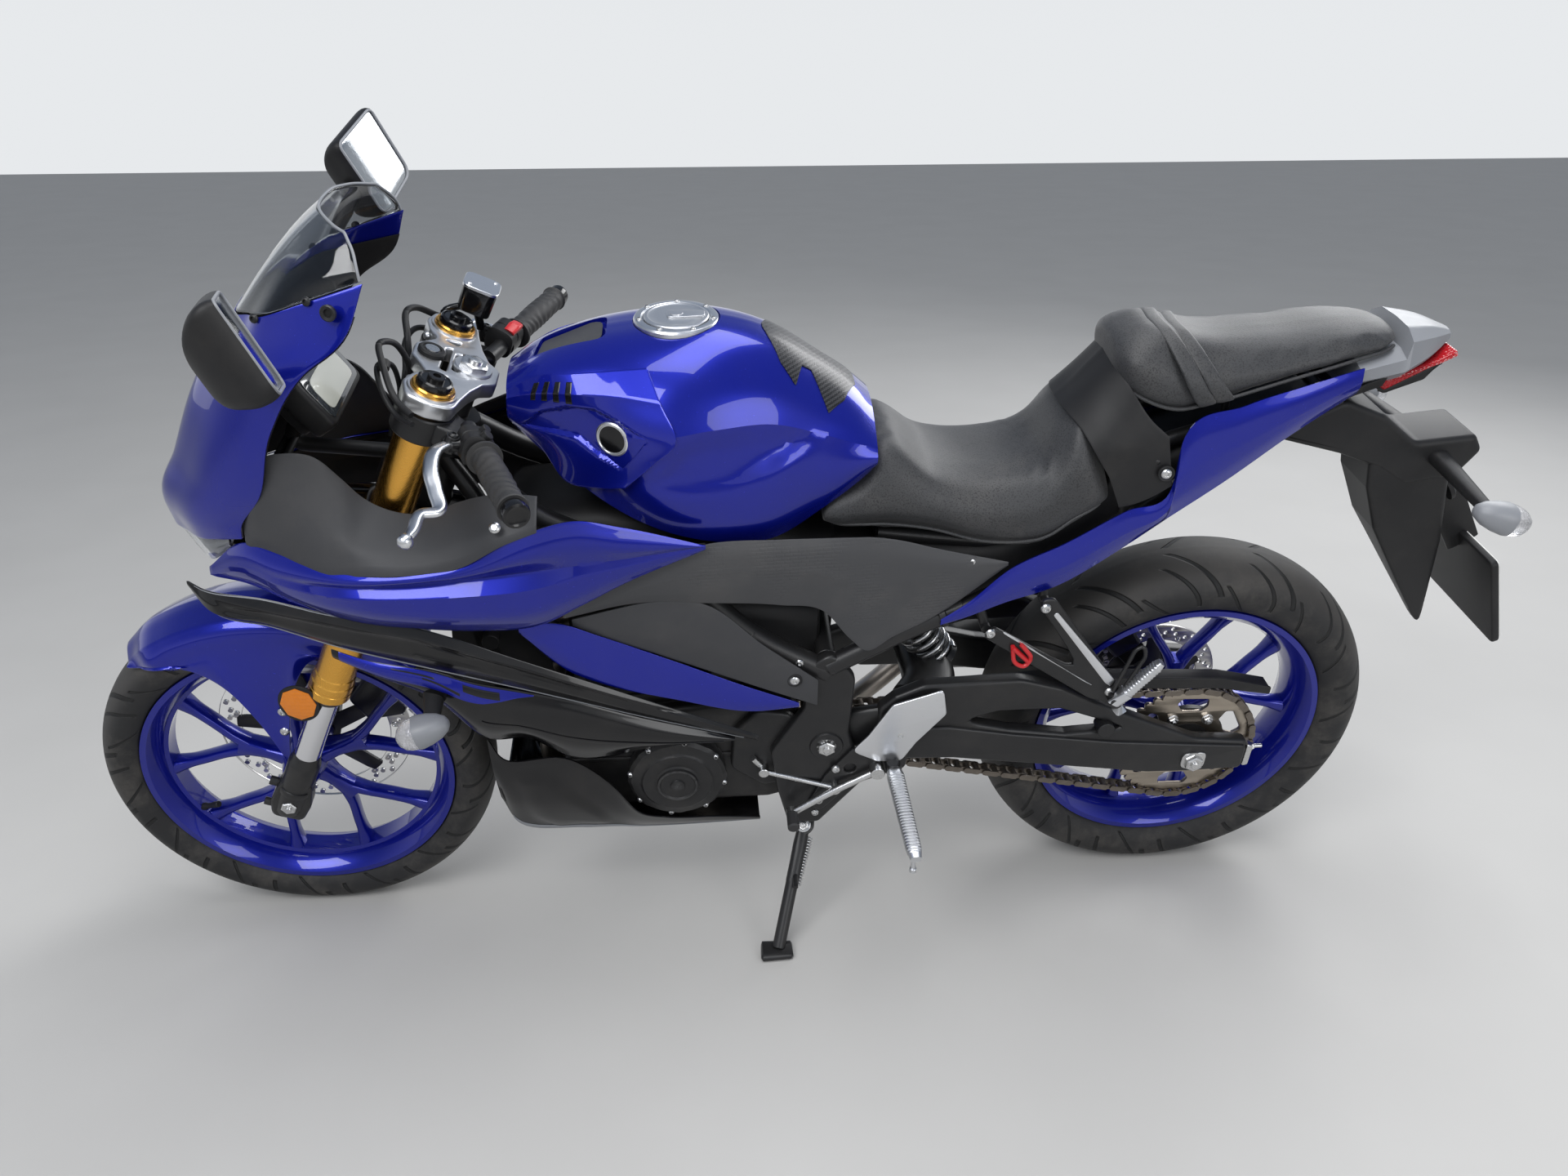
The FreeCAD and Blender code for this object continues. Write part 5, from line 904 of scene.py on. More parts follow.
def build_flank_covers():
    """Flank covers with four slanted vents drawn as black strips, their black the painted shade of the
    openings, and a round badge set square to the surface.
    """
    lines = np.array(COVER_LINES, float)
    flank = through(through(lines, 16, sharp=(1,)).swapaxes(0, 1), 18).swapaxes(0, 1)
    flank = pressed(flank, COVER_POCKET, 6.0, 5.0)
    skin("tank_covers_skin", [flank], "blue_paint", replaces=("tank_covers",))
    # Painted shade: the vent openings are not cut; gloss black strips 0.5 mm proud of the cover stand for
    # the shade inside them.
    vents = []
    rows = np.linspace(0.1, 0.33, 16)
    for first in (0.235, 0.305, 0.375, 0.445):
        lean = first + 0.1 * (0.33 - rows)
        vents.append(patch(flank, rows, lean, lean + 0.034, 0.5, 6))
    skin("tank_vent_shade_strips", vents, "gloss_black", wall=1.2)

    near = np.linalg.norm(flank[..., [0, 2]] - (168, 899), axis=-1)
    i, j = np.unravel_index(int(near.argmin()), near.shape)
    toward = normals_of(flank)[i, j]
    centre = flank[i, j] + toward * 1.5
    rim = lathe([(-5, 23), (1.2, 22.8), (2.4, 21), (2.4, 19.6), (1.4, 19)], centre, toward, 56)
    solid("badge_rings", both(rim), "aluminium")
    disc = lathe([(-5, 19.2), (1.2, 19.2), (1.9, 14), (2.3, 7), (2.4, 0.01)], centre, toward, 56)
    solid("badge_discs", both(disc), "gloss_black")


def tilt_recess(piece, drop=0.0):
    """Lays a flat piece, drawn level, on the sloping top at the front of the tank."""
    local = in_bike(points_of(piece.data))
    local[:, 2] += np.interp(local[:, 0], [160, 200, 270], [996, 990, 965]) - 2.0 + drop
    piece.data.vertices.foreach_set("co", placed(local).astype(np.float32).ravel())
    piece.data.update()


def build_pad(tank):
    """Winged weave-look film laid on the rear of the tank, its outline given by half widths."""
    run = tank[:, -1, 0]
    x = np.linspace(-24, -146, 90)
    rows = np.interp(-x, -run, np.linspace(0, 1, len(run)))
    half = np.interp(-x, [24, 30, 44, 62, 72, 84, 104, 126, 146], [6, 26, 58, 74, 46, 44, 82, 60, 16])
    low = []
    for row, reach in zip(rows * (len(tank) - 1), half):
        line = tank[int(round(row))]
        widest = int(np.argmax(line[:, 1]))
        share = np.interp(reach, line[widest:, 1][::-1],
                          np.arange(widest, len(line))[::-1] / (len(line) - 1))
        low.append(share)
    film = patch(tank, rows, np.array(low), 1.0, 1.3, 16, UP)
    film[:, -1, 1] = 0
    whole = np.concatenate([film, (film * (1, -1, 1))[:, ::-1][:, 1:]], 1)
    skin("tank_pad", [whole], "carbon_pad", wall=1.0, hint=UP, mirror=False)


def build_filler():
    """Turned ring with seven screws, and the lid with its key flap on the cap's own body."""
    seat = np.array([84.0, 0.0, 996.3])
    ring = lathe([(0, 54.5), (7, 54.5), (9.4, 52.8), (10, 51), (10, 45), (8.6, 43), (6.2, 42.6),
                  (6.2, 0.01)], seat, UP, 96)
    solid("filler_ring_turned", ring, "aluminium", replaces=("filler_ring",), crease=25)
    turn = np.radians(np.arange(7) * 360 / 7 + 12)
    screws = [bolt(seat + (48 * math.cos(a), 48 * math.sin(a), 9.6), UP, 3.6, 2.6) for a in turn]
    solid("filler_screws", joined(screws), "steel")
    lid = lathe([(6.4, 41.6), (10.2, 41.6), (11.4, 40.4), (11.8, 37), (11.2, 35.6), (10.6, 34), (11.0, 26),
                 (11.2, 0.01)],
                seat, UP, 96)
    tongue = plate([rounded([(-36, -9, 5), (-36, 9, 5), (-8, 12, 6), (12, 12, 8), (12, -12, 8),
                             (-8, -12, 6)])],
                   10.4, 13.4, 1.0, "XY")
    tongue = (tongue[0] + seat, tongue[1])
    flap = lathe([(13, 9), (14.4, 8.4), (14.8, 0.01)], seat, UP, 40)
    solid("fuel_cap_lid", joined([lid, tongue, flap]), "cast_aluminium", "fuel_cap",
          replaces=("fuel_cap",), crease=25)


# Seats

# Stations of both seats: x, then z and half width from the bottom to the top.
RIDER_ROWS = [
    (-98, 746, 60, 756, 98, 766, 104, 772, 98, 774, 60, 775, 0),
    (-120, 741, 76, 756, 107, 775, 109, 788, 96, 793, 56, 794, 0),
    (-150, 736, 80, 762, 111, 792, 108, 806, 90, 812, 52, 813, 0),
    (-178, 731, 80, 770, 114, 812, 104, 842, 80, 852, 44, 854, 0),
    (-250, 722, 84, 755, 115, 778, 114, 797, 92, 805, 50, 806, 0),
    (-320, 707, 94, 735, 118, 762, 120, 786, 98, 794, 54, 793, 0),
    (-400, 704, 95, 742, 118, 775, 119, 806, 96, 816, 52, 817, 0),
    (-440, 726, 90, 775, 114, 825, 106, 866, 78, 882, 42, 884, 0),
    (-470, 752, 86, 778, 108, 800, 102, 822, 76, 834, 42, 836, 0),
    (-486, 768, 70, 778, 98, 788, 92, 796, 66, 800, 40, 801, 0),
]
PILLION_ROWS = [
    (-480, 930, 22, 942, 42, 956, 46, 967, 36, 973, 18, 975, 0),
    (-494, 914, 50, 932, 72, 954, 74, 971, 56, 980, 28, 982, 0),
    (-520, 900, 68, 922, 88, 948, 86, 973, 66, 985, 34, 987, 0),
    (-560, 890, 76, 914, 96, 941, 92, 966, 68, 979, 36, 981, 0),
    (-600, 900, 76, 918, 94, 941, 90, 960, 68, 970, 36, 972, 0),
    (-700, 930, 70, 938, 87, 950, 86, 962, 66, 970, 36, 972, 0),
    (-800, 953, 55, 958, 73, 965, 72, 974, 56, 979, 30, 981, 0),
    (-850, 960, 36, 963, 54, 968, 53, 974, 40, 978, 22, 979, 0),
    (-867, 963, 20, 965, 36, 968, 35, 972, 27, 974, 14, 975, 0),
]
SEAT_MIDDLE = 915.0
# Cover between the seats: lines from the centre down the left side, front edge to rear edge.
STEP_LINES = [
    [(-421, 0, 882), (-425, 38, 880), (-440, 74, 868), (-456, 99, 845), (-478, 108, 812),
     (-497, 112.5, 768)],
    [(-436, 0, 896), (-440, 42, 893), (-456, 78, 878), (-474, 101, 852), (-497, 107, 818), (-514, 113, 772)],
    [(-459, 0, 925), (-464, 44, 919), (-482, 78, 898), (-503, 99, 866), (-526, 106, 838),
     (-540, 113.5, 784)],
    [(-481, 0, 952), (-486, 44, 945), (-500, 74, 922), (-524, 92, 890), (-550, 103, 868), (-564, 113, 800)],
]


def inflated(piece, limit, voxel=0.005):
    """Foam under its cover: the form is filled by air pressure as cloth and may move only so far."""
    remesh = piece.modifiers.new("Even cells", "REMESH")
    remesh.mode, remesh.voxel_size = "VOXEL", voxel
    baked(piece)
    rest = points_of(piece.data)
    cloth = piece.modifiers.new("Cover", "CLOTH")
    cloth.settings.use_pressure, cloth.settings.uniform_pressure_force = True, 4.0
    cloth.settings.effector_weights.gravity = 0.0
    cloth.settings.quality = 4
    cloth.settings.mass = 0.3
    cloth.point_cache.frame_start, cloth.point_cache.frame_end = 1, 20
    for step in range(1, 21):
        bpy.context.scene.frame_set(step)
    swollen = points_of(piece.evaluated_get(bpy.context.evaluated_depsgraph_get()).to_mesh())
    piece.modifiers.clear()
    bpy.context.scene.frame_set(1)
    step = swollen - rest
    length = np.linalg.norm(step, axis=1, keepdims=True).clip(1e-9)
    kept = rest + step * np.minimum(1.0, limit / length)
    piece.data.vertices.foreach_set("co", kept.astype(np.float32).ravel())
    piece.data.update()
    return piece


def seat_piece(name, rows, node, shrink, limit):
    """Padded seat: the hull a little shrunk, filled by pressure, then smoothed."""
    ring = hull_grid(rows, 8, 6)
    centre = ring.mean(1, keepdims=True)
    ring = centre + (ring - centre) * shrink
    piece = inflated(new_object(name, grid_form(ring, closed_v=True, capped=True)), limit)
    smoothing = piece.modifiers.new("Smoother", "SMOOTH")
    smoothing.iterations, smoothing.factor = 4, 0.5
    rounding = piece.modifiers.new("Finer", "SUBSURF")
    rounding.levels = rounding.render_levels = 1
    dressed(piece, "seat_vinyl", replaces=(node,), crease=180)
    return piece


def section_path(rows, x_of, share, lift):
    """Points over a seat from its left edge to its right at shares 0 to 1, lifted off the surface."""
    half = table_grid(rows, 24, 10)
    both_sides = np.concatenate([half, (half * (1, -1, 1))[:, ::-1][:, 1:]], 1)
    column = share * (both_sides.shape[1] - 1)
    low = np.floor(column).astype(int).clip(0, both_sides.shape[1] - 2)
    part = (column - low)[:, None]
    lines = both_sides[:, low] * (1 - part) + both_sides[:, low + 1] * part
    x = x_of(share)
    points = np.empty((len(share), 3))
    for axis in (1, 2):
        points[:, axis] = [np.interp(-a, -lines[:, i, 0], lines[:, i, axis]) for i, a in enumerate(x)]
    points[:, 0] = x
    centre = points * (1, 0, 0) + (0, 0, SEAT_MIDDLE)
    return points + unit(points - centre) * lift


def build_seats():
    """Both seats, the double strap over the rear one and the welts along their sides."""
    seat_piece("rider_seat_cover", RIDER_ROWS, "rider_seat", 0.985, 0.006)
    seat_piece("pillion_seat_cover", PILLION_ROWS, "passenger_seat", 0.985, 0.006)
    share = np.linspace(0.07, 0.93, 70)
    bands = []
    for offset in (0.0, 24.0):
        path = section_path(PILLION_ROWS, lambda s: -540 - offset - 70 * (2 * np.abs(s - 0.5)) ** 1.6,
                            share, 3.6)
        ahead = np.broadcast_to((1.0, 0, 0), path.shape)
        tangent = unit(np.gradient(path, axis=0))
        width = unit(ahead - (ahead * tangent).sum(1, keepdims=True) * tangent)
        normal = np.cross(tangent, width)
        turn = np.linspace(0, 2 * np.pi, 20, endpoint=False)
        a = np.sign(np.cos(turn)) * np.abs(np.cos(turn)) ** 0.5 * 10.5
        b = np.sign(np.sin(turn)) * np.abs(np.sin(turn)) ** 0.8 * 3.0
        rings = path[:, None] + a[None, :, None] * width[:, None] + b[None, :, None] * normal[:, None]
        bands.append(grid_form(rings, closed_v=True, capped=True))
    solid("pillion_strap", joined(bands), "seat_vinyl", crease=60)
    edge = [tube(section_edge(PILLION_ROWS, 0.5), 2.4, 3, 10),
            tube(section_edge(RIDER_ROWS, 0.6), 2.2, 3, 10)]
    solid("seat_welts", both(joined(edge)), "seat_vinyl", crease=80)


def section_edge(rows, level):
    """Line along a seat's side at one level, a little proud of it."""
    half = table_grid(rows, 3, 8)
    column = int(level * 8)
    return half[2:-2, column] + (0, 1.2, -0.4)


# Side panels

# Stations of the left panels: x, then z and y from the top edge to the bottom one.
SIDE_ROWS = [
    (704, 712, 92, 709, 94, 706, 95, 702, 96, 698, 92, 694, 88),
    (640, 766, 122, 752, 133, 738, 137, 730, 137, 716, 134, 704, 128),
    (591, 766, 150, 750, 163, 736, 164, 727, 165, 708, 160, 692, 150),
    (493, 762, 190, 750, 201, 737, 190, 726, 200, 700, 195, 674, 180),
    (432, 766, 200, 755, 210, 741, 194, 728, 207, 696, 203, 667, 185),
    (361, 778, 205, 764, 214, 746, 195, 730, 209, 694, 206, 662, 188),
    (268, 816, 199, 788, 208, 754, 193, 736, 205, 700, 202, 668, 187),
    (219, 822, 188, 795, 198, 758, 190, 744, 195, 715, 192, 691, 182),
    (162, 806, 180, 782, 189, 760, 182, 750, 185, 734, 182, 719, 176),
    (58, 764, 163, 763, 164, 762, 163, 761, 163, 759, 163, 757, 162),
]
COCKPIT_ROWS = [
    (634, 790, 121, 787, 123, 783, 125, 778, 126, 774, 128),
    (612, 850, 134, 826, 139, 802, 141, 784, 141, 771, 139),
    (588, 892, 141, 854, 146, 816, 150, 788, 153, 768, 152),
    (560, 900, 140, 864, 148, 826, 158, 792, 166, 768, 168),
    (523, 888, 131, 856, 144, 824, 160, 792, 175, 768, 184),
    (500, 858, 128, 836, 144, 812, 163, 789, 180, 769, 189),
    (480, 832, 129, 816, 146, 800, 165, 784, 184, 770, 194),
    (438, 812, 136, 803, 153, 794, 170, 783, 187, 772, 200),
    (400, 811, 138, 804, 156, 796, 174, 786, 191, 776, 203),
    (361, 826, 139, 818, 158, 807, 178, 796, 195, 784, 206),
    (300, 842, 150, 836, 166, 828, 182, 820, 195, 812, 203),
    (262, 842, 158, 838, 168, 832, 178, 827, 188, 822, 196),
]
FIN_ROWS = [
    (726, 708, 118, 705, 119, 703, 119, 700, 117),
    (696, 706, 138, 692, 146, 680, 146, 668, 134),
    (624, 698, 150, 684, 160, 668, 160, 651, 148),
    (544, 682, 166, 668, 174, 648, 174, 626, 163),
    (430, 660, 176, 646, 185, 618, 184, 590, 172),
    (305, 601, 178, 590, 184, 567, 182, 545, 172),
    (137, 511, 168, 504, 173, 490, 173, 475, 163),
    (-10, 424, 149, 421, 152, 417, 152, 412, 148),
]
LOWER_ROWS = [
    (552, 622, 162, 618, 164, 612, 164, 606, 161),
    (510, 606, 167, 600, 172, 592, 172, 582, 166),
    (431, 587, 172, 574, 179, 556, 179, 534, 168),
    (366, 560, 172, 530, 182, 495, 182, 454, 165),
    (318, 546, 172, 518, 182, 485, 182, 448, 160),
    (259, 526, 171, 502, 180, 455, 177, 404, 156),
    (137, 471, 162, 455, 171, 432, 168, 410, 150),
    (24, 425, 150, 423, 155, 420, 155, 418, 148),
]
STRIP_ROWS = [
    (306, 655, 168, 650, 169, 645, 169, 640, 168),
    (247, 648, 165, 628, 169, 600, 172, 574, 170),
    (204, 624, 160, 598, 164, 570, 167, 548, 168),
    (100, 566, 152, 548, 156, 524, 159, 505, 160),
    (0, 510, 146, 498, 149, 483, 151, 470, 150),
    (-70, 474, 141, 471, 142, 469, 142, 466, 141),
]
MID_ROWS = [
    (237, 650, 157, 646, 157, 643, 157, 640, 157),
    (176, 664, 155, 650, 158, 628, 158, 606, 154),
    (139, 671, 154, 648, 158, 618, 158, 588, 152),
    (64, 663, 150, 632, 154, 590, 154, 549, 148),
    (-20, 584, 147, 562, 149, 532, 149, 506, 145),
    (-96, 515, 142, 500, 143, 484, 143, 468, 141),
]
FRAME_COVER_ROWS = [
    (246, 668, 166, 666, 166, 664, 166, 661, 166, 659, 165),
    (147, 728, 156, 716, 160, 700, 163, 686, 160, 672, 155),
    (62, 756, 150, 742, 155, 718, 158, 690, 156, 664, 150),
    (-40, 755, 142, 742, 147, 712, 150, 680, 147, 650, 142),
    (-100, 752, 138, 738, 143, 700, 147, 664, 143, 634, 138),
    (-140, 750, 136, 730, 141, 680, 144, 630, 141, 582, 136),
    (-163, 748, 134, 726, 139, 672, 142, 612, 139, 560, 135),
    (-200, 740, 131, 722, 136, 680, 139, 628, 136, 581, 133),
    (-253, 722, 127, 706, 132, 674, 134, 640, 132, 608, 129),
    (-354, 692, 120, 691, 121, 689, 121, 687, 121, 686, 120),
]
TAIL_ROWS = [
    (-266, 607, 132, 605, 133, 602, 133, 599, 133, 597, 132),
    (-300, 632, 131, 627, 133, 620, 133, 613, 132, 608, 131),
    (-356, 683, 126, 672, 129, 656, 130, 641, 128, 627, 125),
    (-428, 717, 120, 702, 123, 682, 125, 664, 122, 647, 118),
    (-508, 765, 117, 751, 121, 733, 123, 716, 119, 700, 114),
    (-562, 790, 114, 780, 118, 766, 121, 752, 117, 742, 111),
    (-569, 868, 106, 842, 113, 808, 118, 776, 117, 747, 110),
    (-646, 908, 99, 886, 105, 856, 109, 828, 107, 801, 101),
    (-720, 930, 93, 915, 98, 895, 101, 877, 98, 860, 93),
    (-799, 950, 85, 942, 87, 932, 89, 922, 87, 914, 83),
]
LINER_GAP = 4.2


def build_side_panels():
    """Every panel of the flanks, each a surface through its stations."""
    side = table_grid(SIDE_ROWS, 10, 6, sharp=(2, 3))
    skin("side_fairings_skin", [side], "blue_paint",
         replaces=("side_fairings",))
    cockpit = table_grid(COCKPIT_ROWS, 10, 6)
    lip = cockpit[:, -1:] + (cockpit[:, -1:] - cockpit[:, -4:-3]) * 0.9 - (0, 0, 5)
    cockpit = np.concatenate([cockpit, lip], 1)
    skin("cockpit_panels_skin", [cockpit], "grey_plastic", replaces=("cockpit_panels",),
         hint=(0, 0.5, 1))
    fins = table_grid(FIN_ROWS, 12, 6, sharp=(1, 2))
    fins = pressed(fins, [(690, 698), (560, 674), (430, 648), (300, 590), (120, 499), (60, 470), (118, 492),
                          (300, 572), (430, 616), (560, 645), (680, 676)], 4.0, 8.0)
    skin("air_fins_skin", [fins], "gloss_black", replaces=("air_fins",))
    skin("lower_fairings_skin", [table_grid(LOWER_ROWS, 10, 7)], "gloss_black", replaces=("lower_fairings",))
    skin("side_strips_skin", [table_grid(STRIP_ROWS, 10, 6)], "blue_paint", replaces=("side_strips",))
    skin("mid_panels_skin", [table_grid(MID_ROWS, 8, 6)], "grey_plastic", replaces=("mid_panels",))
    cover = table_grid(FRAME_COVER_ROWS, 10, 7, sharp=(2,))
    skin("frame_covers_skin", [cover], "dashed_plastic", replaces=("frame_covers",))
    skin("side_fairing_liners", [side - normals_of(side) * LINER_GAP], "black_plastic", wall=1.0)
    skin("tail_sides_skin", [table_grid(TAIL_ROWS, 9, 6, sharp=(2,))], "blue_paint",
         replaces=("tail_sides",))
    step = through(np.array(STEP_LINES, float), 8)
    step = through(step.swapaxes(0, 1), 8, sharp=(4,)).swapaxes(0, 1)
    whole = np.concatenate([(step * (1, -1, 1))[:, ::-1][:, :-1], step], 1)
    skin("seat_covers_skin", [whole], "black_plastic", replaces=("seat_covers",), hint=(0.6, 0, 1),
         mirror=False)


# Nose

# Height lines of the nose: x, y and z at the nose, corner and rear edge, and how far the flank bulges.
COWL_LINES = [
    ((751, 44, 753), (700, 100, 761), (638, 127, 774), 2),
    ((757, 42, 790), (702, 106, 791), (634, 129, 792), 4),
    ((724, 46, 857), (668, 122, 853), (594, 148, 846), 5),
    ((674, 58, 950), (620, 129, 945), (556, 160, 940), 6),
    ((634, 64, 1008), (585, 132, 1009), (505, 163, 1010), 5),
    ((608, 68, 1036), (556, 131, 1042), (450, 150, 1054), 3),
    ((596, 70, 1050), (545, 127, 1067), (428, 130, 1104), 0),
]
SCREEN_LINES = [
    ((595, 66, 1050.5), (545, 124, 1068), (431, 127, 1104.5), 2),
    ((560, 60, 1092), (520, 108, 1100), (433, 122, 1117), 3),
    ((522, 50, 1130), (492, 90, 1131), (438, 106, 1133), 3),
    ((484, 38, 1160), (470, 66, 1156), (447, 90, 1148), 2),
]


def nose_grid(lines, per_line, per_across):
    """Surface through lines round the nose, from the centre to the rear edge on the left."""
    rows = []
    for nose, corner, rear, bulge in lines:
        nose, corner, rear = (np.array(p, float) for p in (nose, corner, rear))
        middle = nose * (1, 0, 1) + (5, 0, 0)
        first = (middle + nose) / 2 + (1.5, 0, 0)
        edge = (nose + corner) / 2 + np.array([0.6, 0.8, 0]) * bulge * 0.6
        flank = (corner + rear) / 2 + np.array([0.2, 1.0, 0]) * bulge
        rows.append([middle, first, nose, edge, corner, flank, rear])
    along = through(np.array(rows), per_line)
    left = through(along.swapaxes(0, 1), per_across).swapaxes(0, 1)
    return np.concatenate([(left * (1, -1, 1))[:, ::-1][:, :-1], left], 1)


def build_nose():
    """Upper cowl with its liner, the windscreen with its edge and the screws that hold it."""
    cowl = nose_grid(COWL_LINES, 8, 6)
    skin("upper_cowl_skin", [cowl], "blue_paint", replaces=("upper_cowl",),
         hint=(1, 0, 0), mirror=False)
    inside = cowl - normals_of(cowl, (1, 0, 0)) * LINER_GAP
    skin("upper_cowl_liner", [inside[:-5]], "black_plastic", wall=1.0, hint=(1, 0, 0), mirror=False)
    screen = nose_grid(SCREEN_LINES, 10, 6)
    skin("windscreen_shell", [screen], "screen_smoke", replaces=("windscreen",), wall=2.6,
         hint=(1, 0, 0.6), mirror=False)
    rim = np.concatenate([screen[:, 0], screen[-1, 1:-1], screen[::-1, -1]])
    solid("windscreen_edge", swept(through(rim[::3], 3), 1.7, 1.7, 8), "pale_plastic",
          crease=180)
    screws = []
    for x, y, z in ((555, 124.5, 1064), (492, 130.5, 1085)):
        screws.append(bolt((x, y, z), (0.35, 0.9, 0.3), 5.5, 3.4))
    grommet = lathe([(-2, 9.5), (1.2, 9.5), (2.2, 8), (1.2, 5), (-1, 4), (-1, 0.01)], (466, 148.5, 1078),
                    (0.25, 0.95, 0.15), 36)
    solid("cowl_grommets", both(grommet), "satin_black")
    solid("windscreen_screws", both(joined(screws)), "satin_black")
    build_headlights()


def build_headlights():
    """Lenses with a pale bowl behind each, and the dark duct between them."""
    lamp = table_grid([
        (742, 754, 53, 751, 52, 747, 49, 738, 44), (700, 762, 97, 753, 97, 740, 95, 720, 86),
        (658, 769.5, 116, 767, 117, 763, 117.5, 756, 114),
    ], 10, 5)
    skin("headlight_lenses", [lamp], "lamp_glass", replaces=("headlights",), wall=3.0,
         hint=(0.6, 0.8, 0))
    dark = lamp - normals_of(lamp, (0.6, 0.8, 0)) * 6.0
    skin("headlight_bowls", [dark], "pale_plastic", wall=1.5, hint=(0.6, 0.8, 0))
    duct = hull_grid([
        (640, 702, 70, 712, 84, 742, 84, 750, 50, 751, 0),
        (700, 708, 44, 716, 53, 744, 51.5, 751, 36, 752, 0),
        (724, 722, 32, 728, 38, 746, 38, 751, 27, 752, 0), (740, 738, 18, 741, 24, 747, 24, 750, 16, 751, 0),
    ], 8, 5)
    solid("nose_duct_shell", grid_form(duct, closed_v=True, capped=True), "gloss_black",
          replaces=("nose_duct",))


def build_mirrors():
    """Four-cornered glass in a thin rim, closed in front by a shell that draws in to a blunt nose."""
    top, outer, low, inner = (np.array(p, float)
                              for p in ((530, 264, 1150), (502, 358, 1176), (466, 366, 1082),
                                        (486, 274, 1052)))
    centre = (top + outer + low + inner) / 4
    across = unit(outer - top)
    facing = unit(np.cross(across, top - inner))
    facing = facing * np.sign(-facing[0])
    above = unit(np.cross(facing, across))
    above = above * np.sign(above[2])

    def flat(points, out=0.0, shift=(0.0, 0.0)):
        """Points drawn on the glass, in the bike frame, set out along its normal."""
        p = np.asarray(points, float)
        return centre + (p[:, :1] + shift[0]) * across + (p[:, 1:2] + shift[1]) * above + out * facing

    corners = [(*((p - centre) @ np.stack([across, above], 1)), r)
               for p, r in ((top, 12), (outer, 10), (low, 20), (inner, 12))]
    outline = np.array(rounded(corners, 9), float)[:, :2]
    rings = [flat(outline * size, out, shift) for size, out, shift in (
        (0.985, -1.5, (0, 0)), (1.03, 0.5, (0, 0)), (1.06, -5, (0, 0)), (1.04, -20, (0, -1)),
        (0.92, -34, (-4, -3)), (0.7, -48, (-9, -7)), (0.38, -56, (-14, -10)), (0.04, -58, (-16, -11)))]
    shell = through(np.array(rings), 3, sharp=(1,))
    solid("mirror_housings", both(grid_form(shell, closed_v=True, capped=True)), "black_plastic",
          replaces=("mirrors",), crease=40)
    points, faces = plate([outline * 0.95], -1.6, 0.2, 0.3, "XY")
    glass_form = (flat(points[:, :2]) + points[:, 2:] * facing, faces)
    solid("mirror_glasses", both(glass_form), "mirror_glass")
    rim = flat(outline * 0.99, 0.6)
    solid("mirror_rims", both(tube(rim, 2.0, 1, 8, up=facing, closed=True)), "pale_plastic", crease=180)
    stalk = tube([(560, 148, 1000), (556, 178, 1016), (548, 212, 1040), (538, 244, 1066), (528, 274, 1088)],
                 [15, 12, 10, 12, 14], 6, 18)
    boot = lathe([(0, 21), (4, 21), (9, 16), (12, 13)], (560, 148, 999), (-0.1, 0.92, 0.35), 32)
    solid("mirror_stalks", both(joined([stalk, boot])), "black_plastic")


# Wheels

def ring_profile(points, steps=4, sharp=()):
    """Smooth profile of (along, radius)."""
    return through(np.array(points, float), steps, sharp)


def turned_grid(profile, turn):
    """Grid of a profile of (along, radius) carried round the Y axis through the given angles."""
    along, radius = np.asarray(profile, float).T[..., None]
    return np.stack([radius * np.cos(turn), along + 0 * turn, radius * np.sin(turn)], -1)


def rim_form(half, hub_half, disc_inset):
    """Turned barrel and hub with five spokes that fork into two arms."""
    flange, well = 231.0, 207.0
    barrel = [
        (-half, flange - 9), (-half, flange), (-half + 5, flange + 0.5), (-half + 8, flange - 5),
        (-half + 10, 219), (-half + 24, 217), (-16, well), (16, well), (half - 24, 217), (half - 10, 219),
        (half - 8, flange - 5), (half - 5, flange + 0.5), (half, flange), (half, flange - 9),
        (half - 12, 210), (half - 26, 205), (16, well - 8), (-16, well - 8), (-half + 26, 205),
        (-half + 12, 210),
    ]
    grid = turned_grid(barrel, np.linspace(0, 2 * np.pi, 180, endpoint=False))
    forms = [grid_form(grid, closed_u=True, closed_v=True)]
    hub = [(-disc_inset + 4, 9), (-disc_inset + 4, 27), (-hub_half + 20, 30), (-14, 33), (14, 33),
           (hub_half - 18, 30), (hub_half - 6, 27), (hub_half, 24), (hub_half, 9)]
    forms.append(lathe(ring_profile(hub, 3, (1, 7)), sides=64))
    reach = well - 4
    for k in range(5):
        centre = math.radians(90 + 72 * k)

        def polar(radius, degrees, depth=0.0):
            """Point of the wheel at a radius and an angle from the spoke's middle."""
            a = centre + math.radians(degrees)
            return (radius * math.cos(a), depth, radius * math.sin(a))

        stem = through([polar(24, 0), polar(48, 0), polar(78, 0), polar(100, 0)], 5)
        forms.append(swept(stem, np.interp(np.linspace(0, 1, len(stem)), [0, 0.4, 1], [15, 11, 17]),
                           np.interp(np.linspace(0, 1, len(stem)), [0, 0.5, 1], [26, 17, 15]),
                           20, 3.2, LEFT))
        for side in (1, -1):
            arm = through([polar(84, 3 * side), polar(112, 9 * side), polar(150, 15.5 * side),
                           polar(reach, 20 * side)], 6)
            count = np.linspace(0, 1, len(arm))
            forms.append(swept(arm, np.interp(count, [0, 0.4, 0.8, 1], [9, 7.5, 7.5, 13]),
                               np.interp(count, [0, 0.5, 0.85, 1], [15, 12.5, 13, 17]), 18, 3.0, LEFT))
    return joined(forms)


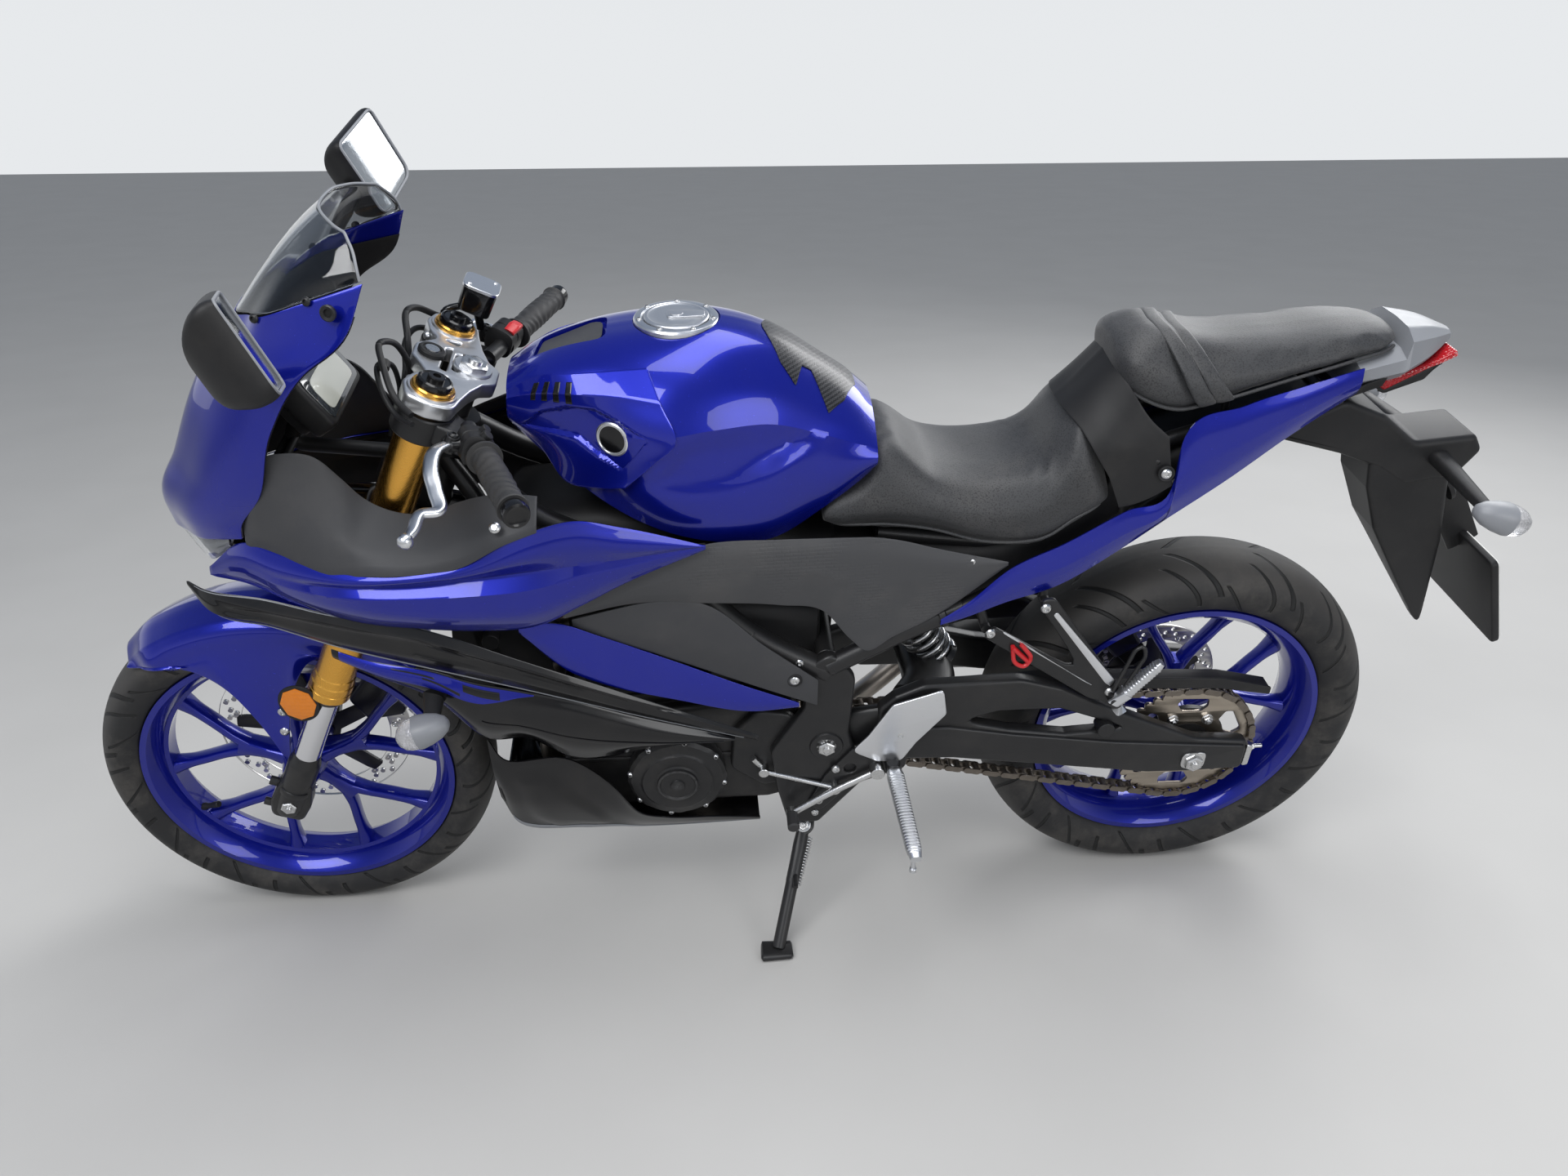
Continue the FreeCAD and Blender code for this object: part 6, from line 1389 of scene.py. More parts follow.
def tyre_object(name, radius, width, rim_half, where, body, node):
    """Round-crowned tyre, thin at the beads, with its own map for the tread."""
    crown, drop = width / 2, radius - 231.0
    half = [
        (rim_half - 8, 220.5), (rim_half - 7.6, 231.5), (rim_half - 2, 233.5),
        (0.90 * crown, 231 + 0.16 * drop), (0.985 * crown, 231 + 0.34 * drop), (crown, 231 + 0.5 * drop),
        (0.93 * crown, 231 + 0.66 * drop), (0.76 * crown, 231 + 0.81 * drop),
        (0.52 * crown, 231 + 0.92 * drop), (0.26 * crown, 231 + 0.98 * drop), (0, radius),
    ]
    left = through(np.array(half, float), 5, sharp=(1,))
    profile = np.concatenate([left, (left * (-1, 1))[::-1][1:]])
    turn = np.linspace(0, 2 * np.pi, 193)
    grid = turned_grid(profile, turn)
    verts, faces = grid_form(grid)
    mesh = bpy.data.meshes.new(name)
    mesh.from_pydata(placed(where(verts)), [], faces)
    length = np.concatenate([[0], np.cumsum(np.linalg.norm(np.diff(profile, axis=0), axis=1))])
    tread = length / length[-1]
    u = np.broadcast_to(turn / (2 * np.pi), grid.shape[:2]).ravel()
    v = np.broadcast_to(tread[:, None], grid.shape[:2]).ravel()
    loops = np.array(faces).ravel()
    layer = mesh.uv_layers.new(name="Tread")
    layer.data.foreach_set("uv", np.stack([u[loops], v[loops]], -1).astype(np.float32).ravel())
    inner = through(np.array([(rim_half - 8, 220.5), (0, 219.0), (-rim_half + 8, 220.5)], float), 3)
    verts, faces = grid_form(turned_grid(inner, turn))
    lining = bpy.data.meshes.new(name)
    lining.from_pydata(placed(where(verts)), [], faces)
    built = bmesh.new()
    built.from_mesh(mesh)
    built.from_mesh(lining)
    bmesh.ops.remove_doubles(built, verts=built.verts, dist=1e-5)
    bmesh.ops.recalc_face_normals(built, faces=built.faces)
    built.to_mesh(mesh)
    built.free()
    bpy.data.meshes.remove(lining)
    piece = bpy.data.objects.new(name, mesh)
    bpy.context.scene.collection.objects.link(piece)
    return dressed(piece, "tyre_rubber", body, (node,), 50)


def disc_form(radius, band, middle, hub_outer, arms, holes):
    """Drilled ring, and a carrier of curved arms on its bobbins."""
    inner = radius - band
    outlines = [circle(0, 0, radius, 120), circle(0, 0, inner, 96)]
    for share, turn in ((0.22, 0.0), (0.5, 5.0), (0.78, 10.0), (0.5, 16.0), (0.24, 20.0)):
        for k in range(holes):
            a = math.radians(turn + 360 * k / holes)
            r = inner + share * band
            outlines.append(circle(r * math.sin(a), r * math.cos(a), 3.6, 10))
    ring = plate(outlines, middle - 2.2, middle + 2.2, 0.5, steps=1)
    corners = []
    for k in range(arms):
        for share, r in ((-0.32, hub_outer + 4), (-0.09, inner - 6), (-0.07, inner + 7), (0.07, inner + 7),
                         (0.09, inner - 6), (0.32, hub_outer + 4)):
            a = 2 * math.pi * (k + share) / arms + 0.12 * (r - hub_outer) / (inner - hub_outer)
            corners.append((r * math.sin(a), r * math.cos(a), 5))
    carrier = plate([rounded(corners), circle(0, 0, 18, 40)], middle - 2.6, middle + 2.6, 0.8)
    return ring, carrier


def build_wheels():
    """Rims, tyres, discs with their carriers, and valves."""
    front_disc, front_carrier = disc_form(149, 34, -62, 34, 5, 20)
    rear_disc, rear_carrier = disc_form(110, 30, -74, 36, 5, 16)
    for label, form, where, body, node in (
        ("front", rim_form(44.45, 52, 62), on_front_axle, "front_wheel", "front_rim"),
        ("rear", rim_form(54.5, 62, 74), on_rear_axle, "rear_wheel", "rear_rim"),
    ):
        solid(label + "_wheel_casting", moved(form, where), "wheel_blue", body, (node,), 35)
    tyre_object("front_tyre_tread", 292, 110, 44.45, on_front_axle, "front_wheel", "front_tyre")
    tyre_object("rear_tyre_tread", 312, 140, 54.5, on_rear_axle, "rear_wheel", "rear_tyre")
    solid("front_disc_ring", moved(front_disc, on_front_axle), "disc_steel", "front_wheel", ("front_disc",))
    solid("front_disc_carrier", moved(front_carrier, on_front_axle), "satin_black", "front_wheel")
    solid("rear_disc_ring", moved(rear_disc, on_rear_axle), "disc_steel", "rear_wheel", ("rear_disc",))
    solid("rear_disc_carrier", moved(rear_carrier, on_rear_axle), "satin_black", "rear_wheel")
    valves = []
    for where in (on_front_axle, on_rear_axle):
        a = math.radians(-27)
        root = np.array([200 * math.cos(a), 12, 200 * math.sin(a)])
        toward = np.array([-math.cos(a), 0.35, -math.sin(a)])
        valves.append(moved(lathe([(0, 6), (6, 6), (9, 4.4), (24, 4.2), (25, 5.2), (36, 5.2), (37, 4.2)],
                                  root, toward, 18),
                            where))
    solid("front_valve", valves[0], "black_plastic", "front_wheel")
    solid("rear_valve", valves[1], "black_plastic", "rear_wheel")


PITCH = 15.875
CHAIN_Y = 88.0
DRIVE_TEETH, WHEEL_TEETH = 14, 43
# How far a link plate stands out past the pitch circle.
LINK_REACH = 7.4


def pitch_radius(teeth):
    """Radius of a sprocket's pitch circle: half the pitch over the sine of half a tooth's angle."""
    return PITCH / (2 * math.sin(math.pi / teeth))


def chain_path():
    """Places and directions of the links round both sprockets."""
    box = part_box("chain")
    corners = np.array([[x, y, z] for x in (box[0][0], box[1][0]) for y in (box[0][1], box[1][1])
                        for z in (box[0][2], box[1][2])]) * 1000
    small, big = pitch_radius(DRIVE_TEETH), pitch_radius(WHEEL_TEETH)
    drive = np.array([((corners - ORIGIN) @ AXES.T)[:, 0].max() - small - LINK_REACH, 0, 385.0])
    between = drive - REAR_AXLE
    reach = math.hypot(between[0], between[2])
    rise, spread = math.atan2(between[2], between[0]), math.acos((big - small) / reach)
    run = math.sqrt(reach ** 2 - (big - small) ** 2)
    arcs = (small * 2 * spread, big * (2 * math.pi - 2 * spread))
    length = 2 * run + sum(arcs)
    links = 2 * round(length / PITCH / 2)
    s = np.arange(links) * length / links
    angle = np.select(
        [s < run, s < run + arcs[0], s < 2 * run + arcs[0]],
        [np.full_like(s, rise + spread), rise + spread - (s - run) / small, np.full_like(s, rise - spread)],
        rise - spread - (s - 2 * run - arcs[0]) / big)
    centre = np.where(((s >= run) & (s < 2 * run + arcs[0]))[:, None], drive, REAR_AXLE)
    radius = np.where((s >= run) & (s < 2 * run + arcs[0]), small, big)
    forward = np.select([s < run, s < run + arcs[0], s < 2 * run + arcs[0]],
                        [s, 0 * s, s - run - arcs[0]], 0 * s)
    outward = np.stack([np.cos(angle), 0 * angle, np.sin(angle)], -1)
    ahead = np.stack([outward[:, 2], 0 * angle, -outward[:, 0]], -1)
    return centre + outward * radius[:, None] + ahead * forward[:, None] + (0, CHAIN_Y, 0)


def build_chain():
    """Waisted link plates in pairs, inner and outer by turns, on rollers."""
    places = chain_path()
    after = np.roll(places, -1, 0)
    middle, along = (places + after) / 2, unit(after - places)
    upright = np.cross(along, (0, -1.0, 0))
    turn = np.linspace(0, 2 * np.pi, 16, endpoint=False)
    reach = np.linalg.norm(after - places, axis=1).mean() / 2
    waist = 1 - 0.28 * np.exp(-(np.cos(turn) / 0.45) ** 2)
    shape_u = reach * np.tanh(2.4 * np.cos(turn)) + 6.2 * np.cos(turn)
    shape_v = 6.6 * np.sin(turn) * waist
    forms = []
    for parity, offsets in ((0, (-8.6, 8.6)), (1, (-5.6, 5.6))):
        chosen = slice(parity, None, 2)
        flat = (middle[chosen, None] + shape_u[None, :, None] * along[chosen, None]
                + shape_v[None, :, None] * upright[chosen, None])
        for offset in offsets:
            thick = np.sign(offset)
            rings = np.stack([flat + (0, offset - thick, 0), flat + (0, offset + thick, 0)], 1)
            forms += [grid_form(ring, closed_v=True, capped=True) for ring in rings]
    rollers = [lathe([(-9.8, 3.4), (-6, 3.4), (-4.6, 5.1), (4.6, 5.1), (6, 3.4), (9.8, 3.4)],
                     place, LEFT, 10)
               for place in places]
    solid("drive_chain", joined(forms + rollers), "chain_steel", replaces=("chain",), crease=40)


def build_sprocket():
    """Wheel sprocket with six pockets, its turned carrier and six nuts."""
    share = np.linspace(0, 1, WHEEL_TEETH * 8, endpoint=False)
    wave = np.abs(np.cos(np.pi * WHEEL_TEETH * share)) ** 0.8
    r = pitch_radius(WHEEL_TEETH) - 5.8 + 8.0 * wave
    outline = np.stack([r * np.sin(2 * np.pi * share), r * np.cos(2 * np.pi * share)], -1)
    holes = []
    for k in range(6):
        a = 2 * math.pi * k / 6
        pocket = []
        for du, rr in ((-0.27, 92), (0.2, 92), (0.3, 84), (0.22, 66), (-0.24, 66), (-0.33, 78)):
            pocket.append((rr * math.sin(a + du), rr * math.cos(a + du), 6))
        holes.append(rounded(pocket))
        holes.append(circle(58 * math.sin(a + 0.5), 58 * math.cos(a + 0.5), 4.5, 14))
    sprocket = plate([outline, *holes, circle(0, 0, 40, 48)], CHAIN_Y - 3.0, CHAIN_Y + 3.0, 0.8, steps=1)
    solid("rear_sprocket_plate", moved(sprocket, on_rear_axle), "sprocket_steel", "rear_wheel",
          ("rear_sprocket",))
    carrier = lathe([(62.3, 14), (62.3, 44), (76, 66), (CHAIN_Y - 3.4, 66), (CHAIN_Y - 3.4, 40),
                     (CHAIN_Y + 4, 40), (CHAIN_Y + 4, 24), (CHAIN_Y - 2, 14)], sides=72)
    nuts = [nut((56 * math.sin(a), CHAIN_Y + 3, 56 * math.cos(a)), LEFT, 7, 7)
            for a in np.arange(6) * math.pi / 3 + 0.5]
    solid("sprocket_carrier", moved(carrier, on_rear_axle), "satin_black", "rear_wheel")
    solid("sprocket_nuts", moved(joined(nuts), on_rear_axle), "steel", "rear_wheel")


# Fork

def at_fork(form):
    """A form drawn in the fork's frame, in its place on the bike."""
    return moved(form, on_fork)


def legs(profile, sides=56):
    """A profile of (height, radius) turned about both fork legs."""
    return at_fork(joined([lathe(profile, (FORK_OFFSET, side * LEG_Y, 0), UP, sides) for side in (1, -1)]))


def build_fork():
    """Outer tubes, stanchions, axle clamps, caps and the front axle."""
    tubes = [(223, 19), (223, 28.6), (225, 29.8), (236, 29.8), (237, 29.1), (240, 29.1), (241, 29.8),
             (250, 29.8), (252, 28.6), (263, 28.2), (265, 27), (486, 27), (700, 27), (735, 27), (739, 26.6),
             (741, 25), (741, 22.5), (737, 22)]
    solid("fork_tubes", legs(tubes), "gold_anodised", "fork", ("fork_legs",), 28)
    solid("fork_stanchions", legs([(86, 18.5), (226, 18.5)]), "chrome", "fork")
    low = [(-26, 14), (-25, 19), (-18, 22.6), (0, 23.4), (20, 23.4), (21, 25.4), (24, 25.8), (27, 25.8),
           (30, 25.4), (31, 23.4), (78, 23.4), (83, 22.4), (86, 20.4), (95, 19.8), (97, 18.7)]
    seal = [(212, 18.7), (213, 22), (217, 24.5), (222, 25.5), (223.4, 25)]
    clamps = plate([rounded([(12, -30, 12), (58, -33, 14), (66, -4, 16), (64, 24, 14), (56, 44, 12),
                             (16, 44, 8), (8, 2, 20)])], 76, 110, 5, steps=3)
    ears = [rod((62, 88, 18), (76, 88, 18), 7), rod((62, 100, -14), (74, 100, -14), 6)]
    solid("axle_clamps", joined([legs(low), legs(seal), at_fork(both(joined([clamps, *ears])))]),
          "caliper_black", "fork")
    caps = [(738, 21.8), (746, 21.8), (748, 21), (749.5, 18.5), (748, 17), (748, 10.5), (753, 10.5),
            (754, 9.5), (754, 5), (750, 4.6), (750, 0.01)]
    solid("fork_caps", legs(caps), "gloss_black", "fork")
    axle = joined([rod((FORK_OFFSET, -110, 0), (FORK_OFFSET, 112, 0), 8),
                   nut((FORK_OFFSET, 111, 0), LEFT, 10.5, 9),
                   nut((FORK_OFFSET, -111, 0), (0, -1, 0), 10.5, 7),
                   lathe([(52.5, 13), (75, 13)], (FORK_OFFSET, 0, 0)),
                   lathe([(-75, 13), (-68.5, 13)], (FORK_OFFSET, 0, 0))])
    solid("front_axle_bar", at_fork(axle), "steel", "fork", ("front_axle",))


def build_clamps():
    """Both fork clamps, the stem between them with its nut, and the ignition lock."""
    half = [(76, 16, 8), (64, 32, 8), (52, 50, 12), (66, 66, 12), (74, 92, 18), (66, 124, 18), (36, 131, 20),
            (8, 122, 18), (2, 92, 18), (-6, 62, 14), (-18, 34, 12), (-34, 20, 12)]
    outline = rounded(half + [(x, -y, r) for x, y, r in half[::-1]])
    slots = [rounded([(x - 4.4, -reach, 4), (x + 4.4, -reach + 4, 4), (x + 4.4, reach - 4, 4),
                      (x - 4.4, reach, 4)])
             for x, reach in ((20, 26), (34, 34))]
    slots += [rounded([(26, s * 46, 4), (46, s * 52, 4), (20, s * 60, 4)]) for s in (1, -1)]
    top = plate([outline, *slots], 712, 733, 3.0, "XY", 3)
    collars = [lathe([(733, 31), (735.5, 30), (735.5, 27.4), (730, 27.3)],
                     (FORK_OFFSET, s * LEG_Y, 0), UP, 64)
               for s in (1, -1)]
    boss = lathe([(728, 25), (735, 25), (736.5, 23.5), (736.5, 19)], (0, 0, 0), UP, 48)
    bolts = [bolt((66, s * 66, 722), (0.9, -s * 0.4, 0), 5.5, 5) for s in (1, -1)]
    solid("upper_clamp_casting", at_fork(joined([top, *collars, boss, *bolts])), "cast_aluminium", "fork",
          ("upper_clamp",))
    low_half = [(64, 30, 16), (74, 80, 18), (72, 118, 16), (36, 131, 20), (6, 122, 18), (-4, 84, 24),
                (-30, 36, 16)]
    low_outline = rounded(low_half + [(x, -y, r) for x, y, r in low_half[::-1]])
    stem = lathe([(478, 15), (480, 16), (712, 15)], (0, 0, 0), UP, 32)
    solid("lower_clamp_casting", at_fork(joined([plate([low_outline], 488, 522, 4, "XY", 3), stem])),
          "satin_black", "fork", ("lower_clamp",))
    crown = joined([nut((0, 0, 735), UP, 17.5, 9, 0.52),
                    lathe([(744, 9), (747, 9), (747, 7), (738, 6.6)], (0, 0, 0), UP)])
    solid("stem_nut_bright", at_fork(crown), "steel", "fork", ("stem_nut",))
    lock = lathe([(680, 17), (734, 17.4), (738, 17.4), (740, 15.5), (740, 12), (738.6, 11.5), (738.6, 0.01)],
                 (54, 0, 0), UP, 40)
    solid("ignition_lock_body", at_fork(lock), "black_plastic", "fork", ("ignition_lock",))
    face = lathe([(738.6, 9.5), (740.4, 9), (740.6, 0.01)], (54, 0, 0), UP, 32)
    solid("ignition_lock_face", at_fork(face), "steel", "fork")


def build_front_brake():
    """Caliper with two pots on an arm bolted to the right leg."""
    block = plate([rounded([(*about_axle(92, 134), 12), (*about_axle(92, 166), 12),
                            (*about_axle(150, 168), 14), (*about_axle(172, 158), 14),
                            (*about_axle(172, 140), 14), (*about_axle(148, 132), 14)])],
                  -86, -46, 7, steps=3)
    pots = [lathe([(0, 18), (5, 18), (7, 15), (7, 0.01)], (*about_axle(r, a)[:1], -86, about_axle(r, a)[1]),
                  (0, -1, 0), 32)
            for r, a in ((126, 142), (130, 158))]
    arm = plate([rounded([(*about_axle(150, 116), 8), (*about_axle(152, 142), 8), (*about_axle(100, 142), 8),
                          (*about_axle(60, 118), 8)])], -90, -76, 3)
    pins = [bolt((*about_axle(r, a)[:1], -90, about_axle(r, a)[1]), (0, -1, 0), 7, 6)
            for r, a in ((140, 120), (78, 124))]
    solid("front_caliper_casting", joined([block, *pots, arm, *pins]), "caliper_black", "fork",
          ("front_caliper",))


def build_reflectors():
    """Eight-sided reflector in a round cup beside each leg."""
    seat, toward = on_fork((70, 113, 205)), (0.15, 0.98, 0.1)
    cup = lathe([(-8, 12), (-3, 28), (1, 30), (3, 29), (3, 27)], seat, toward, 48)
    face = lathe([(0, 27), (4, 26), (5.5, 18), (6.4, 8), (6.6, 0.01)], seat, toward, 8)
    stay = rod(seat - (0, 6, 0), on_fork((44, 96, 205)), 4)
    solid("reflector_cups", both(joined([cup, stay])), "black_plastic", "fork")
    solid("reflector_faces", both(face), "lens_amber", "fork", crease=10)


def about_axle(radius, degrees):
    """Side-view point about the front axle, angles from straight ahead."""
    turn = math.radians(degrees)
    return FRONT_AXLE[0] + radius * math.cos(turn), FRONT_AXLE[2] + radius * math.sin(turn)


def spot(radius, degrees, y):
    """Point about the front axle at a distance y from the bike's middle."""
    x, z = about_axle(radius, degrees)
    return np.array([x, y, z])


def build_fender():
    """Left half runs from the crown over the shoulder and, beside the leg, down to a pointed skirt."""
    solid("fender_bolts",
          both(joined([bolt(spot(r, a, 71), LEFT, 7, 4) for r, a in ((150, 95), (112, 94))])),
          "steel", "fork")
    # Angle from straight ahead, then the radius of the lower edge there.
    stations = [(49, 292), (52, 284), (58, 274), (64, 258), (70, 232), (75, 196), (79, 140),
                (85, 74), (91, 46), (95, 72), (98, 130), (101, 190), (105, 238), (112, 258), (122, 266),
                (130, 272), (135, 286)]
    rows = []
    for angle, low in stations:
        tip = eased(np.array((angle - 49) / 9.0), 1.0) * 0.75 + 0.25
        drop = (1 - tip) * 9
        skirt = min(1.0, max(0.0, (262 - low) / 60))
        side = 64 * (0.55 + 0.45 * tip)
        levels = [(317 - drop, 0), (315 - drop, 0.2 * side), (309 - drop, 0.52 * side),
                  (303 - drop, 0.8 * side), (max(low + 4, 288 - drop), side),
                  (max(low + 2, 266), side + 1.5)]
        mid = (266 + low) / 2
        levels += [(min(mid, low + 40) if skirt else low + 1, side + 1.5 + 6 * skirt),
                   (low, side + 1.5 + 7 * skirt)]
        for k in range(1, len(levels)):
            levels[k] = (min(levels[k][0], levels[k - 1][0] - 1.2), levels[k][1])
        a = math.radians(angle)
        rows.append([(FRONT_AXLE[0] + r * math.cos(a), y, FRONT_AXLE[2] + r * math.sin(a))
                     for r, y in levels])
    along = through(np.array(rows, float), 6)
    half = through(along.swapaxes(0, 1), 5, sharp=(3,)).swapaxes(0, 1)
    whole = np.concatenate([(half * (1, -1, 1))[:, ::-1][:, :-1], half], 1)
    skin("front_fender_skin", [whole], "blue_paint", "fork", ("front_fender",), wall=2.6, hint=UP,
         mirror=False)


# The left bar in the fork's frame, and where its grip starts.
BAR_INNER = np.array([-20.0, 115, 707])
BAR_OUTER = np.array([-87.0, 318, 743])
BAR_AHEAD = unit(BAR_OUTER - BAR_INNER)
BAR_SPAN = np.linalg.norm(BAR_OUTER - BAR_INNER)
GRIP_START = BAR_SPAN - 141


def along_bar(distance):
    """Point at a distance along the left bar."""
    return BAR_INNER + BAR_AHEAD * distance


def about_bar(profile, sides=40, wave=None):
    """A profile of (distance along the left bar, radius) turned about it."""
    return lathe(profile, BAR_INNER, BAR_AHEAD, sides, wave)


def build_bars():
    """Left and right bar with its clip round the leg, the waved grip and the end weight."""
    clip = lathe([(674, 28), (674, 35), (676, 36.5), (707, 36.5), (709, 35), (709, 28)],
                 (FORK_OFFSET, LEG_Y, 0), UP, 56)
    arm = plate([rounded([(14, 70, 6), (24, 128, 10), (-26, 136, 14), (-30, 106, 14)])],
                680, 708, 4, "XY", 3)
    bar = about_bar([(-12, 11), (BAR_SPAN - 18, 11)], 28)
    pinch = bolt((4, 132, 694), (-0.2, 1, 0), 6, 6)
    solid("bar_clips", at_fork(both(joined([clip, arm, bar, pinch]))), "satin_black", "fork",
          ("handlebars",))
    steps = np.linspace(0, 121, 122)
    shape = 16.2 + 0.9 * np.exp(-((steps - 60) / 34) ** 2)
    grip = [(GRIP_START - 6, 16), (GRIP_START - 5, 21.5), (GRIP_START - 1, 21.5), (GRIP_START, 17)]
    grip += list(zip(GRIP_START + 2 + steps, shape))
    grip += [(GRIP_START + 125, 18.4), (GRIP_START + 127, 17.5)]

    def wavy(a, turn):
        """Wave that winds round the middle of the grip."""
        inside = (a > GRIP_START + 8) & (a < GRIP_START + 116)
        swirl = 2.2 * np.sin(2 * turn + (a - GRIP_START) * 0.06)
        return 1 + 0.028 * inside * np.sin((a - GRIP_START) * 0.42 + swirl)

    solid("hand_grips", at_fork(both(about_bar(grip, 96, wavy))), "grip_rubber", "fork", crease=50)
    weight = about_bar([(BAR_SPAN - 16, 11), (BAR_SPAN - 15, 14.5), (BAR_SPAN - 2, 16), (BAR_SPAN + 2, 15),
                        (BAR_SPAN + 3, 12), (BAR_SPAN + 1, 8), (BAR_SPAN + 1, 0.01)], 40)
    solid("bar_ends", at_fork(both(weight)), "gloss_black", "fork")


def switch_housing(grow=0.0):
    """Soft box round the left bar with its halves parted by a groove."""
    steps = np.array([0, 0.04, 0.46, 0.49, 0.51, 0.54, 0.96, 1.0])
    size = np.array([0.84, 1, 1, 0.95, 0.95, 1, 1, 0.84])
    path = along_bar(GRIP_START - 48) + BAR_AHEAD * (38 * steps)[:, None] + (6, 0, 2)
    return swept(path, size * (19 + grow), size * (19 + grow), 36, 3.4)


def build_switches():
    """Switch housings inboard of the grips, with two buttons on the left and a rocker on the right."""
    left = switch_housing()
    button = joined([rod(along_bar(GRIP_START - 40) + (0, 0, 18),
                         along_bar(GRIP_START - 40) + (-4, 0, 27), 6),
                     rod(along_bar(GRIP_START - 22) + (2, 0, 18),
                         along_bar(GRIP_START - 22) + (-2, 0, 26), 7)])
    solid("left_switches", at_fork(joined([left, button])), "black_plastic", "fork")
    right = mirrored(switch_housing(1.0))
    solid("right_switches", at_fork(right), "black_plastic", "fork")
    kill = swept([along_bar(GRIP_START - 44) + (-2, 0, 21), along_bar(GRIP_START - 32) + (-3, 0, 25),
                  along_bar(GRIP_START - 18) + (-2, 0, 22)],
                 [8, 9, 8], [4, 5, 4], 20, 3)
    solid("stop_switch", at_fork(mirrored(kill)), "red_plastic", "fork")


def build_levers():
    """Perch on each bar and the blade that bends from its pivot to a ball end."""
    pivot = along_bar(50) + (34, 0, -4)
    perch = joined([about_bar([(34, 12), (34, 16), (56, 16), (56, 12)], 36),
                    swept([along_bar(45) + (8, 0, 0), along_bar(47) + (24, 0, -2), pivot + (2, 6, 0)],
                          [13, 11, 9], [9, 8, 8], 20, 3),
                    rod(pivot - (0, 0, 11), pivot + (0, 0, 11), 8.5), bolt(pivot + (0, 0, 11), UP, 6, 3)])
    solid("lever_perches", at_fork(both(perch)), "caliper_black", "fork")
    line = through(np.array([pivot - (2, 2, 0), pivot + (14, 22, -6), pivot + (12, 46, -16),
                             pivot + (0, 70, -26), pivot + (-10, 96, -34), (6, 268, 672), (8, 288, 661),
                             (11, 300, 656)]), 8)
    share = np.linspace(0, 1, len(line))
    blade = swept(line, np.interp(share, [0, 0.15, 0.4, 0.8, 0.94, 1], [8, 10, 9, 8, 6, 4]),
                  np.interp(share, [0, 0.15, 0.4, 0.9, 1], [4.5, 5, 5, 4.6, 4]), 24, 2.6, up=(0.6, 0, 0.8))
    knob = lathe([(-9, 1), (-7.5, 5.5), (-3, 8.8), (2, 9), (6.5, 6.5), (8.6, 1)], (12, 303, 655),
                 (0.1, 0.85, -0.5), 28)
    solid("hand_levers", at_fork(both(joined([blade, knob]))), "aluminium", "fork", crease=60)


def build_reservoir():
    """Soft square fluid cup with its lid, stay and hose."""
    low = np.array([22.0, -150, 745])
    cup_path = low + np.array([[0, 0, z] for z in (-1, 0, 2, 32, 34)])
    cup = swept(cup_path, [18, 21.5, 22.5, 23.5, 23.5], [18, 21.5, 22.5, 23.5, 23.5], 40, 5, up=(1, 0, 0))
    stay = swept([low + (-17, -8, -26.7), low + (-8, -4, -8), low + (-4, -2, 3)], 6, 6, 16)
    hose = tube([low + (14, 10, 4), low + (34, 16, -10), low + (30, 6, -40), low + (0, -10, -52),
                 low + (-24, -20, -46)], 5)
    solid("reservoir_cup", at_fork(joined([cup, stay, hose])), "gloss_black", "fork", ("brake_reservoir",))
    lid = swept(low + np.array([[0, 0, z] for z in (34, 35, 38.4, 39.4)]), [23, 25, 25, 24],
                [23, 25, 25, 24], 40, 5, up=(1, 0, 0))
    screws = [bolt(low + (x, y, 39), UP, 3, 2) for x, y in ((16, 16), (-16, -16))]
    solid("reservoir_lid", at_fork(joined([lid, *screws])), "aluminium", "fork")


def build_cables():
    """Cables that arch in front of the clamps, and the brake hose down to the caliper."""
    cables = [
        tube([(50, 150, 722), (72, 128, 722), (100, 96, 744), (112, 66, 752), (96, 34, 744), (74, 20, 716),
              (62, 16, 660), (58, 22, 600)], 4, 8, 12, LEFT),
        tube([(46, 156, 714), (66, 134, 706), (96, 102, 720), (106, 74, 728), (92, 44, 720), (76, 34, 690),
              (68, 36, 620)],
             3.4, 8, 12, LEFT),
        tube([(30, -152, 716), (64, -132, 724), (92, -100, 738), (100, -64, 742), (88, -30, 728),
              (72, -14, 690), (62, -10, 610)], 4.4, 8, 12, LEFT),
        tube([(28, -160, 700), (58, -140, 700), (84, -108, 706), (90, -70, 700), (78, -34, 680),
              (70, -22, 630)], 4, 8, 12,
             LEFT),
    ]
    ties = [lathe([(-5, 6), (-5, 7.4), (5, 7.4), (5, 6)], (99, 84, 737), (0.1, -0.9, 0.4), 24)]
    solid("control_cables", at_fork(joined(cables + ties)), "black_plastic", "fork", crease=60)
    brake_line = tube([(66, -30, 500), (72, -60, 470), (68, -88, 400), (60, -104, 320), (44, -118, 220),
                       (-20, -112, 150), (-70, -92, 118)], 3.6, 10, 12, LEFT)
    solid("front_brake_line", at_fork(brake_line), "black_plastic", "fork", crease=60)


# Frame and engine

def bent(points, bend, steps=7):
    """Straight runs joined by even bends."""
    p = np.array(points, float)
    back, ahead = p[:-2] - p[1:-1], p[2:] - p[1:-1]
    shorter = np.minimum(np.linalg.norm(back, axis=1), np.linalg.norm(ahead, axis=1))
    run = np.minimum(bend, 0.48 * shorter)[:, None]
    start, end = p[1:-1] + unit(back) * run, p[1:-1] + unit(ahead) * run
    t = np.linspace(0, 1, steps)[None, :, None]
    curves = (1 - t) ** 2 * start[:, None] + 2 * t * (1 - t) * p[1:-1, None] + t ** 2 * end[:, None]
    return np.concatenate([p[:1], curves.reshape(-1, 3), p[-1:]])


def pipe(points, radius, bend=50, sides=20, up=UP):
    """Round tube along straight runs joined by even bends."""
    return swept(bent(points, bend), radius, radius, sides, up=up)


